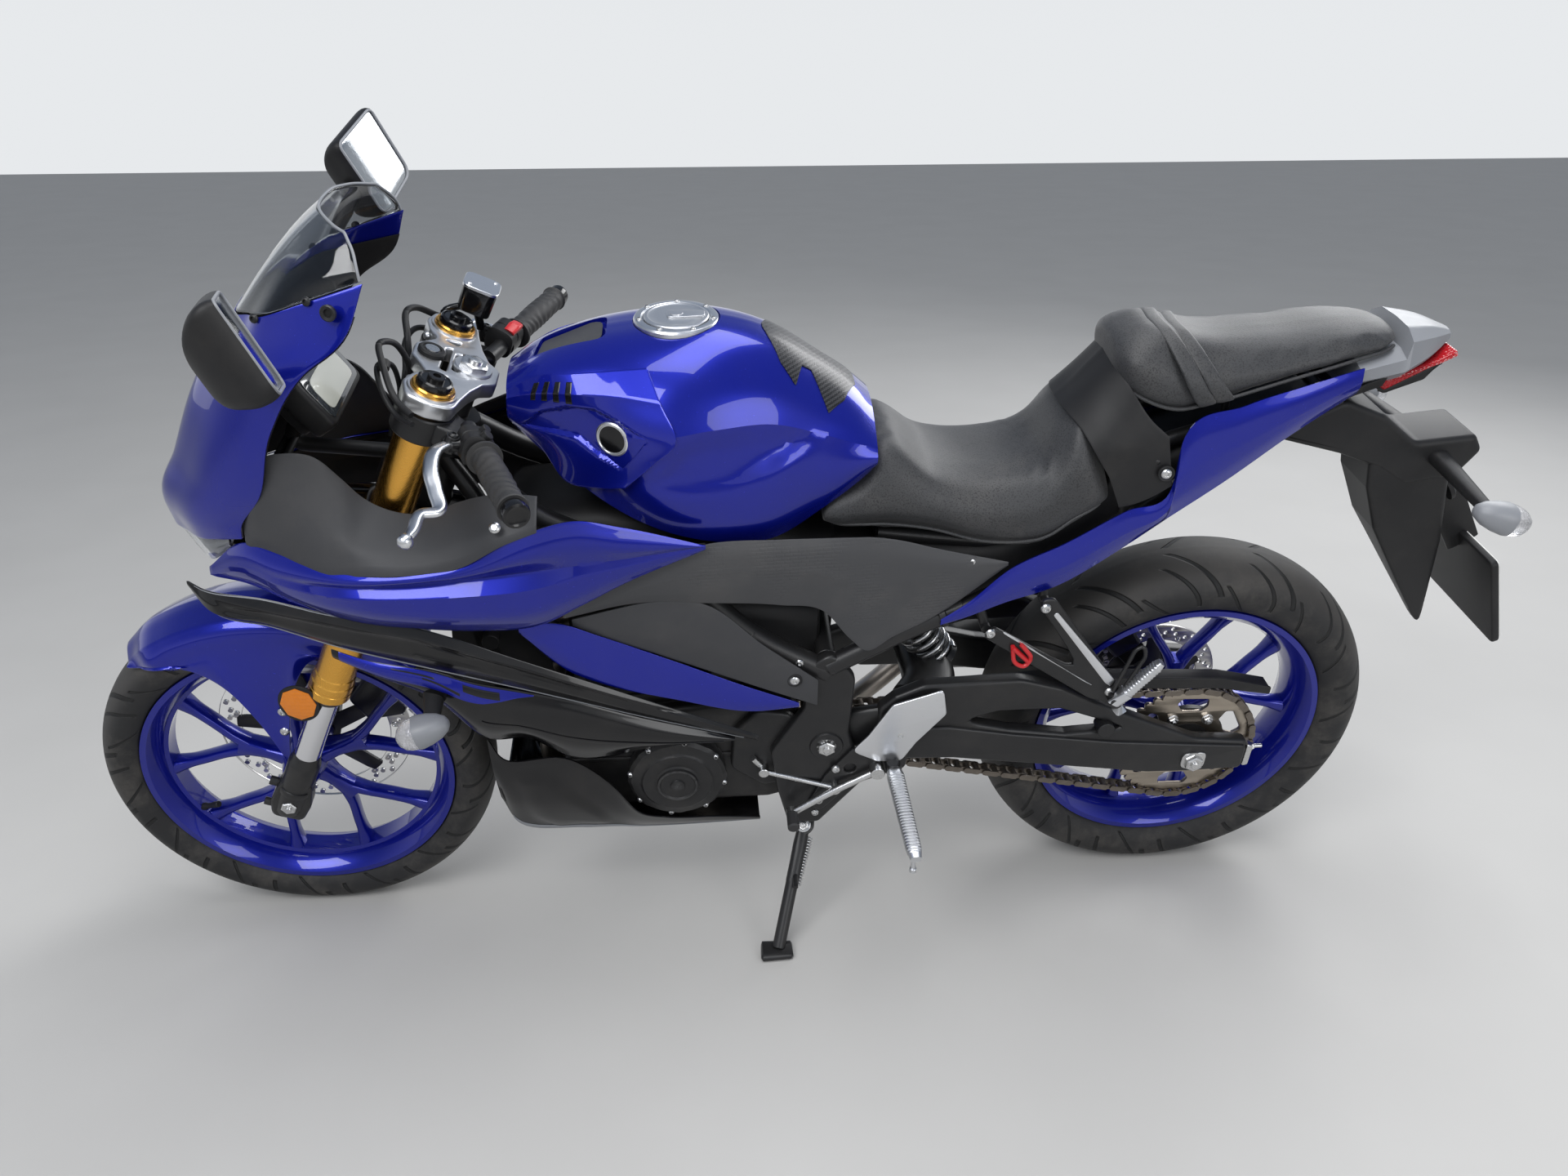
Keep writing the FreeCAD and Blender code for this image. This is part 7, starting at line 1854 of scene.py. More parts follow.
def collar_on(start, end, share, radius, half=6):
    """Ring weld or clamp round a straight run of tube."""
    start, end = np.asarray(start, float), np.asarray(end, float)
    middle, ahead = start + (end - start) * share, unit(end - start)
    return rod(middle - ahead * half, middle + ahead * half, radius, 28, 2)


def build_frame():
    """Tubes from the steering head down both sides, cheek plates, cross tubes and bolts."""
    head = lathe([(528, 26), (528, 30), (532, 31.5), (540, 31.5), (546, 29), (650, 29), (656, 31.5),
                  (666, 31.5), (668, 30), (668, 26)], (0, 0, 0), UP, 48)
    upper = pipe([on_fork((0, 16, 652)), on_fork((-111.6, 85, 602.5)), (110, 113, 700), (-5, 113, 572),
                  (-112, 118, 512)],
                 17, 60)
    lower = pipe([on_fork((0, 16, 608)), on_fork((-76, 48, 568)), (330, 80, 636), (232, 103, 556),
                  (120, 113, 600), (52, 113, 645)], 12.5, 45)
    rail = pipe([(-112, 122, 524), (-228, 118, 586), (-300, 112, 612)], 15, 50)
    cheek = plate([rounded([(-176, 307, 12), (-147, 402, 20), (-152, 505, 25), (-118, 556, 20),
                            (-72, 520, 20), (-80, 455, 25), (-30, 369, 20), (-40, 295, 20), (-58, 221, 12),
                            (-106, 217, 12)])],
                  112, 132, 6, steps=4)
    boss = lathe([(108, 26), (131, 26), (135, 24), (136, 20), (135, 17)], (-113, 0, 380), LEFT, 48)
    rings = [collar_on((110, 113, 700), (-5, 113, 572), 0.94, 19.5),
             collar_on((-228, 118, 586), (-300, 112, 612), 0.6, 17)]
    gusset = plate([rounded([(-60, 540, 8), (-110, 530, 12), (-140, 560, 8), (-100, 500, 10)])], 114, 122, 2)
    left = joined([upper, lower, rail, cheek, boss, *rings, gusset])
    cross = [rod((-110, -112, 532), (-110, 112, 532), 14), rod((-96, -112, 272), (-96, 112, 272), 9),
             rod((-215, -116, 583), (-215, 116, 583), 12)]
    solid("frame_tubes", joined([at_fork(head), both(left), *cross]), "satin_black",
          replaces=("main_frame",), crease=40)
    ends = both(joined([nut((-113, 134, 380), LEFT, 12, 8, 0.5), bolt((-70, 131, 540), LEFT, 6, 4),
                        bolt((-100, 131, 240), LEFT, 6, 4)]))
    solid("frame_bolts", joined([ends, rod((-113, -133, 380), (-113, 133, 380), 10)]), "steel",
          replaces=("pivot_bolt",))


def build_engine():
    """Crankcase, cylinders with ribs, round covers and their screws."""
    case = plate([rounded([(-70, 262, 16), (-72, 440, 20), (60, 446, 14), (225, 425, 24), (280, 345, 30),
                           (272, 262, 24), (200, 250, 16), (-30, 250, 20)])], -106, 104, 9, steps=3)
    seam = plate([rounded([(-74, 344, 3), (-74, 352, 3), (276, 352, 3), (276, 344, 3)])], -109, 107, 2)
    barrel = plate([rounded([(60, 400, 12), (125, 592, 8), (240, 560, 8), (222, 395, 12)])],
                   -84, 84, 6, steps=3)
    cover = plate([rounded([(110, 572, 10), (126, 628, 18), (254, 595, 18), (246, 542, 10)])],
                  -86, 86, 9, steps=3)
    gasket = plate([rounded([(108, 560, 2), (112, 572, 2), (248, 538, 2), (244, 528, 2)])], -88, 88, 1.5)
    ribs = [plate([rounded([(84 + 5 * k, 440 + 22 * k, 1.5), (85 + 5 * k, 446 + 22 * k, 1.5),
                            (231 + 2 * k, 426 + 22 * k, 1.5), (230 + 2 * k, 420 + 22 * k, 1.5)])],
                  -87, 87, 1.2)
            for k in range(5)]
    gears = plate([rounded([(-72, 352, 20), (-68, 430, 24), (-10, 440, 20), (24, 400, 20), (30, 330, 20),
                            (-20, 290, 20), (-64, 300, 16)])], 100, 118, 5, steps=3)
    ports = [rod((225, s * 40, 505), (250, s * 40, 513), 21) for s in (1, -1)]
    solid("engine_block", joined([case, seam, barrel, cover, gasket, *ribs, gears, *ports]), "engine_black",
          replaces=("engine",), crease=36)

    def ribbed(a, turn):
        """Eight low ribs round the cover's side."""
        return 1 + 0.018 * (np.cos(8 * turn) > 0.72) * (a > 18) * (a < 33)

    generator = lathe([(0, 73), (16, 74), (22, 73), (27, 68), (30, 56), (31, 54), (34, 52), (34, 34),
                       (36, 31), (40, 30), (41, 27), (39, 25), (39, 11), (41, 10), (41, 0.01)],
                      (110, 106, 326), LEFT, 96, ribbed)
    clutch = lathe([(0, 82), (14, 82), (22, 77), (27, 66), (28, 60), (25, 58), (25, 30), (28, 27),
                    (29, 0.01)],
                   (64, -112, 335), (0, -1, 0), 96)
    turn = np.radians(np.arange(8) * 45 + 10)
    screws = [bolt((110 + 71 * math.cos(a), 127, 326 + 71 * math.sin(a)), LEFT, 5, 6) for a in turn]
    screws += [bolt((64 + 78 * math.cos(a), -130, 335 + 78 * math.sin(a)), (0, -1, 0), 5, 6) for a in turn]
    solid("engine_covers", joined([generator, clutch]), "engine_black", crease=30)
    solid("engine_screws", joined(screws), "steel")


def build_radiator():
    """Finned core between two end tanks with a hose neck on each."""
    core = plate([rounded([(354, 640, 3), (380, 636, 3), (344, 430, 3), (318, 434, 3)])], -100, 100, 1)
    tanks = plate([rounded([(350, 644, 8), (388, 640, 8), (348, 426, 8), (314, 430, 8)])], 99, 119, 5)
    necks = rod((352, 104, 600), (352, 134, 600), 12)
    rows = [rod((381 - 36 * k / 22, -99, 632 - 200 * k / 22), (381 - 36 * k / 22, 99, 632 - 200 * k / 22),
                2.4, 8, 0.4)
            for k in range(23)]
    solid("radiator_core", joined([core, both(joined([tanks, necks])), *rows]), "black_plastic",
          replaces=("radiator",))


def build_exhaust():
    """Two header pipes, the joining box, one pipe to the right and the silencer with its guard."""
    header = tube([(246, 40, 515), (282, 40, 500), (296, 38, 400), (306, 34, 300), (285, 28, 230),
                   (190, 20, 230)], 16, 10, 24,
                  LEFT)
    flange = lathe([(0, 24), (8, 24), (10, 20)], (246, 40, 512), (0.97, 0, -0.2), 32)
    run = tube([(206, 0, 230), (40, -10, 230), (-100, -74, 232), (-200, -124, 258), (-292, -174, 300)],
               18, 12, 24)
    box = swept(through(np.array([(200, 0, 232), (170, 0, 231), (90, -4, 230), (30, -12, 230)], float), 5),
                [22, 30, 30, 30, 32, 34, 36, 36, 36, 36, 36, 34, 32, 28, 24, 20],
                [18, 22, 24, 25, 26, 26, 26, 26, 26, 26, 26,
                 25, 24, 22, 20, 18], 32, 3)
    solid("exhaust_pipes", joined([both(joined([header, flange])), run, box]), "exhaust_steel",
          replaces=("exhaust",))
    start, toward = np.array([-285.0, -170, 298]), unit((-305.0, -48, 86))
    can = lathe([(0, 19), (2, 23), (40, 34), (88, 50), (92, 51.5), (98, 51.5), (99, 50), (270, 50),
                 (271, 51.5), (280, 51.5), (284, 50), (304, 41), (312, 34), (316, 26), (314, 20), (290, 18),
                 (290, 0.01)], start, toward, 72)
    solid("silencer_body", can, "satin_black")
    guard_turn = np.linspace(-1.1, 1.1, 18)[None]
    reach = np.linspace(104, 262, 12)[:, None]
    out = unit(toward * (toward @ LEFT) - LEFT)
    above = np.cross(out, toward)
    above = above * np.sign(above[2])
    guard = (start + reach[..., None] * toward + 55.0 * (np.cos(guard_turn)[..., None] * out
                                                         + np.sin(guard_turn)[..., None] * above))
    skin("silencer_guard", [guard], "aluminium", wall=1.8, hint=out, mirror=False)


def build_inner():
    """Air box under the tank and the tray that follows the underside of the seats."""
    box = swept([(-112, 0, 652), (-106, 0, 654), (60, 0, 684), (200, 0, 700), (314, 0, 716), (320, 0, 716)],
                [78, 84, 88, 88, 84, 78], [50, 58, 72, 72, 52, 44], 44, 4)
    battery = swept([(-104, 0, 524), (-98, 0, 524), (52, 0, 530), (58, 0, 530)], [74, 80, 80, 74],
                    [72, 80, 80, 72], 40, 5)
    solid("battery_box", battery, "black_plastic", crease=40)
    solid("air_box", box, "black_plastic", crease=40)
    tray = swept(through(np.array([(-104, 0, 648), (-240, 0, 642), (-360, 0, 652), (-450, 0, 700),
                                   (-540, 0, 764), (-640, 0, 812), (-780, 0, 868)], float), 5),
                 np.interp(np.arange(31), [0, 1, 15, 22, 30], [80, 86, 84, 74, 44]),
                 np.interp(np.arange(31), [0, 1, 12, 18, 30], [50, 60, 54, 50, 26]), 44, 4)
    shroud = plate([rounded([(262, 452, 12), (318, 430, 10), (384, 470, 20), (408, 560, 24), (402, 640, 20),
                             (350, 690, 20), (300, 715, 20)])],
                   116, 119, 1)
    solid("radiator_shrouds", both(shroud), "black_plastic")
    solid("seat_tray", tray, "black_plastic", crease=40)


def coil(start, end, radius, wire, turns, sides=10):
    """Round wire wound evenly from one point to another."""
    start, end = np.asarray(start, float), np.asarray(end, float)
    axis = unit(end - start)
    first = unit(np.cross(axis, (0.3, 1.0, 0.1)))
    second = np.cross(axis, first)
    share = np.linspace(0, 1, int(turns * 24))
    turn = 2 * np.pi * turns * share
    outward = np.cos(turn)[:, None] * first + np.sin(turn)[:, None] * second
    path = start + (end - start) * share[:, None] + radius * outward
    ahead = unit(np.gradient(path, axis=0))
    side = np.cross(ahead, outward)
    ring = np.linspace(0, 2 * np.pi, sides, endpoint=False)
    points = path[:, None] + wire * (np.cos(ring)[None, :, None] * outward[:, None]
                                     + np.sin(ring)[None, :, None] * side[:, None])
    return grid_form(points, closed_v=True, capped=True)


def build_swingarm():
    """Both arms with their brace and pivot, the axle, chain adjusters and nuts."""
    outer = rounded([(-190, 338, 12), (-190, 440, 15), (-213, 462, 10), (-254, 481, 30), (-400, 484, 60),
                     (-463, 464, 40), (-559, 412, 60), (-690, 350, 60), (-778, 340, 12), (-778, 284, 12),
                     (-690, 282, 60), (-623, 284, 40), (-309, 334, 60)], 8)
    window = rounded([(-318, 408, 8), (-371, 424, 20), (-465, 424, 25), (-578, 378, 6), (-480, 373, 20),
                      (-390, 388, 20)])
    side = plate([outer, window], 102, 126, 7, steps=4)
    beam = plate([rounded([(-196, 346, 10), (-194, 404, 16), (-300, 402, 40), (-398, 382, 50),
                           (-560, 356, 50), (-700, 342, 30), (-774, 335, 10), (-774, 289, 10),
                           (-690, 287, 30), (-623, 289, 40), (-309, 340, 60)], 8)], 112, 131, 4, steps=3)
    lug = lathe([(110, 13), (133, 13), (134, 12), (134, 9)], (-540, 0, 384), LEFT, 32)
    arms = both(joined([side, beam, lug]))
    pivot = lathe([(-106, 20), (-106, 25), (-100, 26), (100, 26), (106, 25), (106, 20)],
                  (-113, 0, 380), LEFT, 40)
    brace = swept(bent([(-250, -104, 432), (-280, -60, 430), (-280, 60, 430), (-250, 104, 432)], 50),
                  40, 26, 28, 3)
    roots = [swept([(-113, s * 96, 384), (-150, s * 104, 390), (-205, s * 112, 394)], 12, [24, 34, 44],
                   24, 3) for s in (1, -1)]
    solid("swingarm_beams", joined([arms, pivot, brace, *roots]), "satin_black",
          replaces=("swingarm",), crease=34)
    blocks = plate([rounded([(-786, 292, 4), (-786, 332, 4), (-776, 334, 3), (-776, 290, 3)])], 106, 128, 2)
    stud = rod((-780, 117, 322), (-806, 117, 322), 3.2, 14)
    lock = nut((-786, 117, 322), (-1, 0, 0), 6, 6)
    washer = plate([rounded([(-672, 297, 12), (-672, 327, 12), (-710, 329, 10), (-710, 295, 10)])],
                   130.6, 134, 1)
    axle = joined([rod((-690, -136, 312), (-690, 140, 312), 9), nut((-690, 134, 312), LEFT, 13, 10, 0.5),
                   nut((-690, -132, 312), (0, -1, 0), 13, 8, 0.5)])
    solid("rear_axle_bar", joined([both(joined([blocks, stud, lock, washer])), axle]), "steel",
          replaces=("rear_axle",))


def build_shock():
    """Spring wound round a damper whose upper end leans forward."""
    top, bottom = np.array([-222.0, 0, 558]), np.array([-312.0, 0, 421])
    spring = coil(top + (bottom - top) * 0.2, top + (bottom - top) * 0.86, 29, 5.2, 6.5)
    solid("shock_spring", spring, "steel", crease=60)
    length = np.linalg.norm(bottom - top)
    body = lathe([(-2, 12), (0, 16), (10, 22), (12, 34), (26, 34), (28, 20), (90, 19), (92, 10),
                  (length - 30, 9), (length - 28, 30), (length - 20, 34), (length - 16, 30),
                  (length - 12, 15), (length, 13)], top, bottom - top, 40)
    solid("shock_body", body, "satin_black", replaces=("shock_absorber",))


def build_chain_guard():
    """Thin angle over the chain's upper run."""
    guard = joined([
        plate([rounded([(-330, 430, 3), (-330, 458, 6), (-470, 464, 20), (-720, 450, 20), (-802, 428, 4),
                        (-802, 414, 3), (-720, 430, 20), (-470, 444, 20)])], 98, 101.6, 1.2),
        plate([rounded([(-332, 451, 1), (-332, 456, 1), (-470, 462, 20), (-720, 447, 20), (-800, 427, 1),
                        (-800, 422, 1), (-720, 442, 20), (-470, 457, 20)])], 74, 101, 1.4)])
    solid("chain_guard_shell", guard, "black_plastic", replaces=("chain_guard",))


def build_rear_brake():
    """Caliper over the rear disc on its arm, and the hose along the swingarm."""
    def about(radius, degrees, rounding):
        """Side-view corner about the rear axle."""
        turn = math.radians(degrees)
        return REAR_AXLE[0] + radius * math.cos(turn), REAR_AXLE[2] + radius * math.sin(turn), rounding

    block = plate([rounded([about(90, 37, 8), about(90, 69, 8), about(134, 65, 14), about(134, 41, 14)])],
                  -98, -56, 6, steps=3)
    arm = plate([rounded([about(20, -20, 8), about(100, 37, 8), about(100, 68, 8), about(20, 140, 8)])],
                -99, -93, 2)
    pins = [bolt((about(r, a, 0)[0], -98, about(r, a, 0)[1]), (0, -1, 0), 6, 5)
            for r, a in ((104, 46), (104, 60))]
    solid("rear_caliper_casting", joined([block, arm, *pins]), "caliper_black", replaces=("rear_caliper",))
    hose = tube([(-600, -100, 402), (-560, -112, 440), (-480, -112, 470), (-380, -112, 492),
                 (-280, -108, 500)], 3.6)
    solid("rear_brake_line", hose, "black_plastic", crease=60)


def ribbed_peg(start, end, radius, flat=0.75):
    """Tapering footrest with cross ribs on its upper side."""
    start, end = np.asarray(start, float), np.asarray(end, float)
    length = np.linalg.norm(end - start)
    share = np.linspace(0, 1, int(length / 1.0))
    teeth = 1 + 0.09 * np.sign(np.sin(share * length * 2 * np.pi / 5.2)) * (share > 0.1) * (share < 0.94)
    taper = np.interp(share, [0, 0.08, 0.9, 1], [0.8, 1, 0.86, 0.6])
    path = start + (end - start) * share[:, None]
    return swept(path, radius * taper, radius * flat * taper * teeth, 24, 3.0)


def build_rider_footrests():
    """Heel plates, hangers, ribbed pegs and the shift and brake levers."""
    heel = plate([rounded([(-150, 374, 10), (-174, 404, 12), (-206, 461, 12), (-280, 486, 8),
                           (-288, 440, 10), (-247, 387, 25), (-226, 350, 16), (-190, 352, 12)])],
                 138, 142.5, 2, steps=3)
    solid("heel_plates", both(heel), "aluminium", replaces=("rider_footrests",))
    hanger = plate([rounded([(-86, 262, 10), (-112, 322, 20), (-150, 372, 20), (-204, 400, 16),
                             (-240, 386, 14), (-234, 332, 10), (-196, 318, 10), (-150, 298, 20),
                             (-108, 250, 10)]), circle(-150, 336, 9)],
                   131, 138, 2.4, steps=3)
    hinge = joined([rod((-214, 134, 344), (-214, 158, 344), 12), rod((-216, 150, 332), (-212, 150, 356), 9)])
    solid("footrest_hangers", both(joined([hanger, hinge])), "caliper_black")
    peg = ribbed_peg((-214, 152, 344), (-220, 318, 330), 13)
    feeler = rod((-219, 304, 326), (-220, 306, 296), 3.2)
    tip = rod((-220, 306, 300), (-220, 306, 292), 5)
    solid("rider_pegs", both(joined([peg, feeler, tip])), "cast_aluminium")
    lever = joined([pipe([(-190, 147, 338), (-120, 149, 300), (-62, 151, 262)], 5.5, 30),
                    rod((-190, 136, 338), (-190, 156, 338), 11), rod((-62, 144, 262), (-62, 156, 262), 8)])
    shift_rod = joined([rod((-128, 140, 300), (-20, 128, 330), 4),
                        rod((-128, 132, 300), (-128, 148, 300), 8), rod((-20, 112, 330), (-20, 134, 330), 8),
                        pipe([(-20, 120, 330), (-4, 122, 352)], 5, 10)])
    screws = [bolt((x, 138, z), LEFT, 7, 5) for x, z in ((-104, 274), (-128, 338), (-222, 402))]
    solid("shift_linkage", joined([lever, both(joined(screws)), shift_rod, mirrored(lever)]), "steel")
    toe = lathe([(0, 6), (1, 8.5), (28, 9), (30, 7)], (-62, 154, 262), LEFT, 24, lambda a,
                t: 1 + 0.05 * np.sin(a * 1.6))
    solid("toe_rubbers", both(toe), "grip_rubber")


def build_passenger_footrests():
    """Forked hangers with bright faces, the pegs folded up on them and the strap's loop."""
    strut = [(-328, 575, 10), (-344, 590, 8), (-490, 494, 20), (-412, 612, 10), (-404, 634, 10),
             (-424, 636, 10), (-545, 470, 10), (-565, 452, 10), (-545, 436, 10), (-500, 452, 20)]
    solid("passenger_hangers", both(plate([rounded(strut)], 126.3, 135, 3, steps=3)), "satin_black",
          replaces=("passenger_footrests",))
    low_face = plate([rounded([(-356, 583, 3), (-362, 578, 2), (-505, 476, 3), (-488, 486, 6),
                               (-370, 574, 3)])], 134.4, 136.6, 0.6)
    high_face = plate([rounded([(-424, 610, 3), (-430, 614, 3), (-534, 486, 5), (-530, 474, 3),
                                (-520, 482, 6)])],
                      134.4, 136.6, 0.6)
    solid("hanger_faces", both(joined([low_face, high_face])), "aluminium")
    seat = rod((-536, 126, 456), (-536, 156, 456), 9)
    pegs = ribbed_peg((-536, 146, 452), (-590, 153, 530), 11)
    root = swept([(-546, 146, 438), (-536, 148, 456), (-550, 149, 474)], 11, 9, 20, 4)
    wire = pipe([(-532, 142, 470), (-556, 134, 540), (-568, 134, 546), (-572, 138, 530), (-548, 144, 480)],
                3, 8, 12)
    solid("passenger_pegs", both(joined([pegs, root])), "cast_aluminium")
    solid("passenger_peg_pins", both(joined([seat, wire])), "caliper_black")
    screws = [bolt((x, 135, z), LEFT, 7.5, 5) for x, z in ((-412, 622), (-338, 582), (-530, 464))]
    solid("passenger_bolts", both(joined(screws)), "steel")
    loop = pipe([(-372, 138, 560), (-376, 142, 532), (-392, 144, 524), (-402, 142, 540), (-384, 139, 562)],
                3.2, 8, 10)
    tag = swept([(-372, 139, 558), (-396, 141, 534)], 5, 3, 16, 3)
    solid("strap_loop", joined([loop, tag]), "red_plastic")


def build_stand():
    """Leg from the folding joint's place down to a foot on the ground, with its spring, lug and bolt."""
    joint = JOINTS["side_stand_fold"]
    eye = in_bike(joint["pos_m"])
    pin = np.array(joint["axis"]) @ AXES.T
    up = np.array([0, 0, 1.0]) @ AXES.T
    foot = np.array([-35.0, 255.0, 0.0])
    foot = foot - up * ((placed(foot)[2] * 1000 - 9) / (up @ up))
    down = unit(foot - eye)
    toe = unit(np.cross(up, LEFT))
    leg = joined([
        lathe([(-7, 12), (-7, 15), (7, 15), (7, 12)], eye, pin, 40),
        swept(np.stack([eye + down * d for d in (8, 30, 60, 90)]), [8, 9.5, 10.5, 10.5],
              [10, 11, 10.5, 10.5], 24, 2.4, toe),
        rod(eye + down * 60, foot - down * 4, 10, 28),
        swept(np.stack([foot - toe * 26 + up * 0.5, foot - toe * 24, foot + toe * 20,
                        foot + toe * 23 + up * 0.5]),
              [14, 18, 16, 12], [3, 5, 5, 3], 28, 3.4),
        swept([eye + down * 70, eye + down * 74 + LEFT * 22, eye + down * 76 + LEFT * 30], 4, 4, 14, up=up),
    ])
    solid("stand_leg", leg, "satin_black", "side_stand", ("side_stand",))
    wound = coil(eye + down * 18 - pin * 14 + toe * 10, eye + down * 96 - pin * 12 + toe * 6, 6.2,
                 1.7, 17, 8)
    solid("stand_spring", wound, "steel", "side_stand", crease=60)
    lug = plate([rounded([(-102, 172, 12), (-104, 240, 8), (-62, 240, 8), (-66, 176, 14)])], 84, 112, 3)
    bolt_through = joined([lathe([(-20, 6), (14, 6)], eye, pin, 20), nut(eye + pin * 8, pin, 9, 6, 0.5)])
    solid("stand_lug", lug, "satin_black", replaces=("stand_bracket",))
    solid("stand_pin", bolt_through, "steel")


BELLY_ROWS = [
    (374, 448, 158, 380, 152, 306, 130, 292, 96, 290, 0),
    (352, 402, 156, 320, 146, 236, 120, 214, 84, 211, 0),
    (262, 395, 153, 300, 142, 216, 114, 202, 80, 199, 0),
    (205, 332, 148, 268, 134, 212, 112, 199, 80, 196, 0),
    (173, 276, 146, 240, 130, 210, 112, 198, 80, 195, 0),
    (130, 246, 132, 226, 122, 207, 110, 197, 78, 194, 0),
    (60, 232, 122, 218, 116, 206, 108, 198, 76, 195, 0),
    (-16, 216, 112, 210, 110, 206, 106, 200, 76, 198, 0),
]


def build_belly():
    """Belly pan pressed outward between its creases, with a pale lip."""
    grid = table_grid(BELLY_ROWS, 9, 7, sharp=(2,))
    grid = pressed(grid, [(345, 372), (300, 372), (222, 262), (214, 226), (300, 226), (330, 260)],
                   -4.0, 10.0)
    skin("belly_pan_skin", [grid], "gloss_black", replaces=("belly_pan",))
    lip = patch(grid, np.linspace(0.1, 1.0, 80), 0.47, 0.66, 0.9)
    skin("belly_lip", [lip], "pale_plastic", wall=1.2)


def patch(grid, rows, low, high, lift, columns=10, hint=LEFT):
    """Strip lifted off a surface, between two shares of its width given once or per row."""
    rows = np.asarray(rows, float)
    low, high = np.broadcast_to(low, len(rows)), np.broadcast_to(high, len(rows))
    across = low[:, None] + (high - low)[:, None] * np.linspace(0, 1, columns)
    u = np.broadcast_to(rows[:, None] * (grid.shape[0] - 1), across.shape)
    v = across * (grid.shape[1] - 1)
    i, j = u.astype(int).clip(0, grid.shape[0] - 2), v.astype(int).clip(0, grid.shape[1] - 2)
    s, t = (u - i)[..., None], (v - j)[..., None]

    def sample(field):
        """Field between the grid's points, weighted by the distance to each of four."""
        return ((1 - s) * (1 - t) * field[i, j] + s * (1 - t) * field[i + 1, j]
                + (1 - s) * t * field[i, j + 1] + s * t * field[i + 1, j + 1])

    return sample(grid) + sample(normals_of(grid, hint)) * lift


def build_trim():
    """Inlays, edge lines and bolts of the side panels."""
    lower = table_grid(LOWER_ROWS, 10, 7)
    rows = np.linspace(0.03, 0.62, 60)
    blue = patch(lower, rows, 0.03,
                 np.interp(rows, [0.03, 0.2, 0.33, 0.5, 0.62], [0.9, 0.72, 0.42, 0.22, 0.05]), 0.8)
    skin("fairing_inlays", [blue], "blue_paint", wall=1.0)
    dashes = [patch(lower, np.linspace(a, b, 12), c, d, 1.3, 4) for a, b, c, d in
              ((0.2, 0.3, 0.16, 0.22), (0.27, 0.37, 0.26, 0.32), (0.38, 0.5, 0.08, 0.2))]
    skin("fairing_dashes", dashes, "gloss_black", wall=0.6)
    fins = table_grid(FIN_ROWS, 12, 6, sharp=(1, 2))
    edge = patch(fins, np.linspace(0.1, 0.98, 120), 0.955, 0.985, 0.7, 3)
    rise = patch(fins, np.linspace(0.06, 0.5, 60), 0.02, 0.045, 0.7, 3)
    skin("fin_edge_lines", [edge, rise], "pale_plastic", wall=0.8)
    step = patch(lower, np.linspace(0.42, 0.98, 60), 0.60, 0.64, 1.2, 5)
    skin("fairing_step_lines", [step], "gloss_black", wall=2.0)
    seats = [((310, 203, 826), (0, 0.7, 0.7)), ((-301, 123.5, 696), (0, 1, 0.1)),
             ((-551, 115.5, 820), (0.1, 1, 0.1)), ((-62, 146, 520), (0, 1, 0))]
    solid("panel_bolts", both(joined([bolt(place, toward, 7, 3.6) for place, toward in seats])), "steel")
    cups = [lathe([(-3, 11), (0.6, 11), (1.2, 10), (0.4, 8.5)], place, toward, 28)
            for place, toward in seats[1:]]
    solid("panel_bolt_cups", both(joined(cups)), "black_plastic")


def build_tail():
    """Top cover, lamp on its dark base and the shell under the tail."""
    tail = hull_grid([
        (-801, 904, 54, 926, 77, 942, 77, 950, 50, 951, 0),
        (-868, 918, 50, 934, 66, 950, 62, 958, 40, 959, 0),
        (-873, 920, 50, 938, 66, 972, 57, 984, 36, 986, 0),
        (-915, 938, 36, 950, 44, 970, 38, 979, 24, 981, 0),
        (-950, 955, 12, 959, 16, 965, 14, 968, 9, 969, 0),
    ], 8, 6, sharp=(1, 2, 3), sharp_x=(1, 2))
    solid("tail_top_cover", grid_form(tail, closed_v=True, capped=True), "pale_plastic",
          replaces=("tail_top",))
    lamp = plate([rounded([(-846, 909, 3), (-925, 940, 3), (-950, 953, 3), (-944, 944, 4), (-916, 928, 6),
                           (-862, 897, 5)])],
                 -46, 46, 5, steps=4)
    solid("tail_lamp_lens", lamp, "lens_red", replaces=("tail_lamp",))
    base = plate([rounded([(-850, 902, 3), (-862, 899, 3), (-914, 929, 6), (-938, 943, 4), (-916, 910, 8),
                           (-864, 890, 8)])],
                 -43, 43, 5, steps=3)
    solid("tail_lamp_base", base, "black_plastic")
    under = table_grid([
        (-560, 752, 108, 736, 92, 728, 60, 726, 0), (-640, 806, 100, 792, 86, 784, 56, 782, 0),
        (-720, 866, 92, 850, 80, 842, 54, 840, 0), (-790, 912, 82, 896, 70, 888, 50, 886, 0),
        (-850, 930, 64, 910, 56, 900, 40, 898, 0),
    ], 8, 6, sharp=(1,))
    skin("undertail_shell", [under], "black_plastic", wall=3, hint=(0, 0.6, -1))


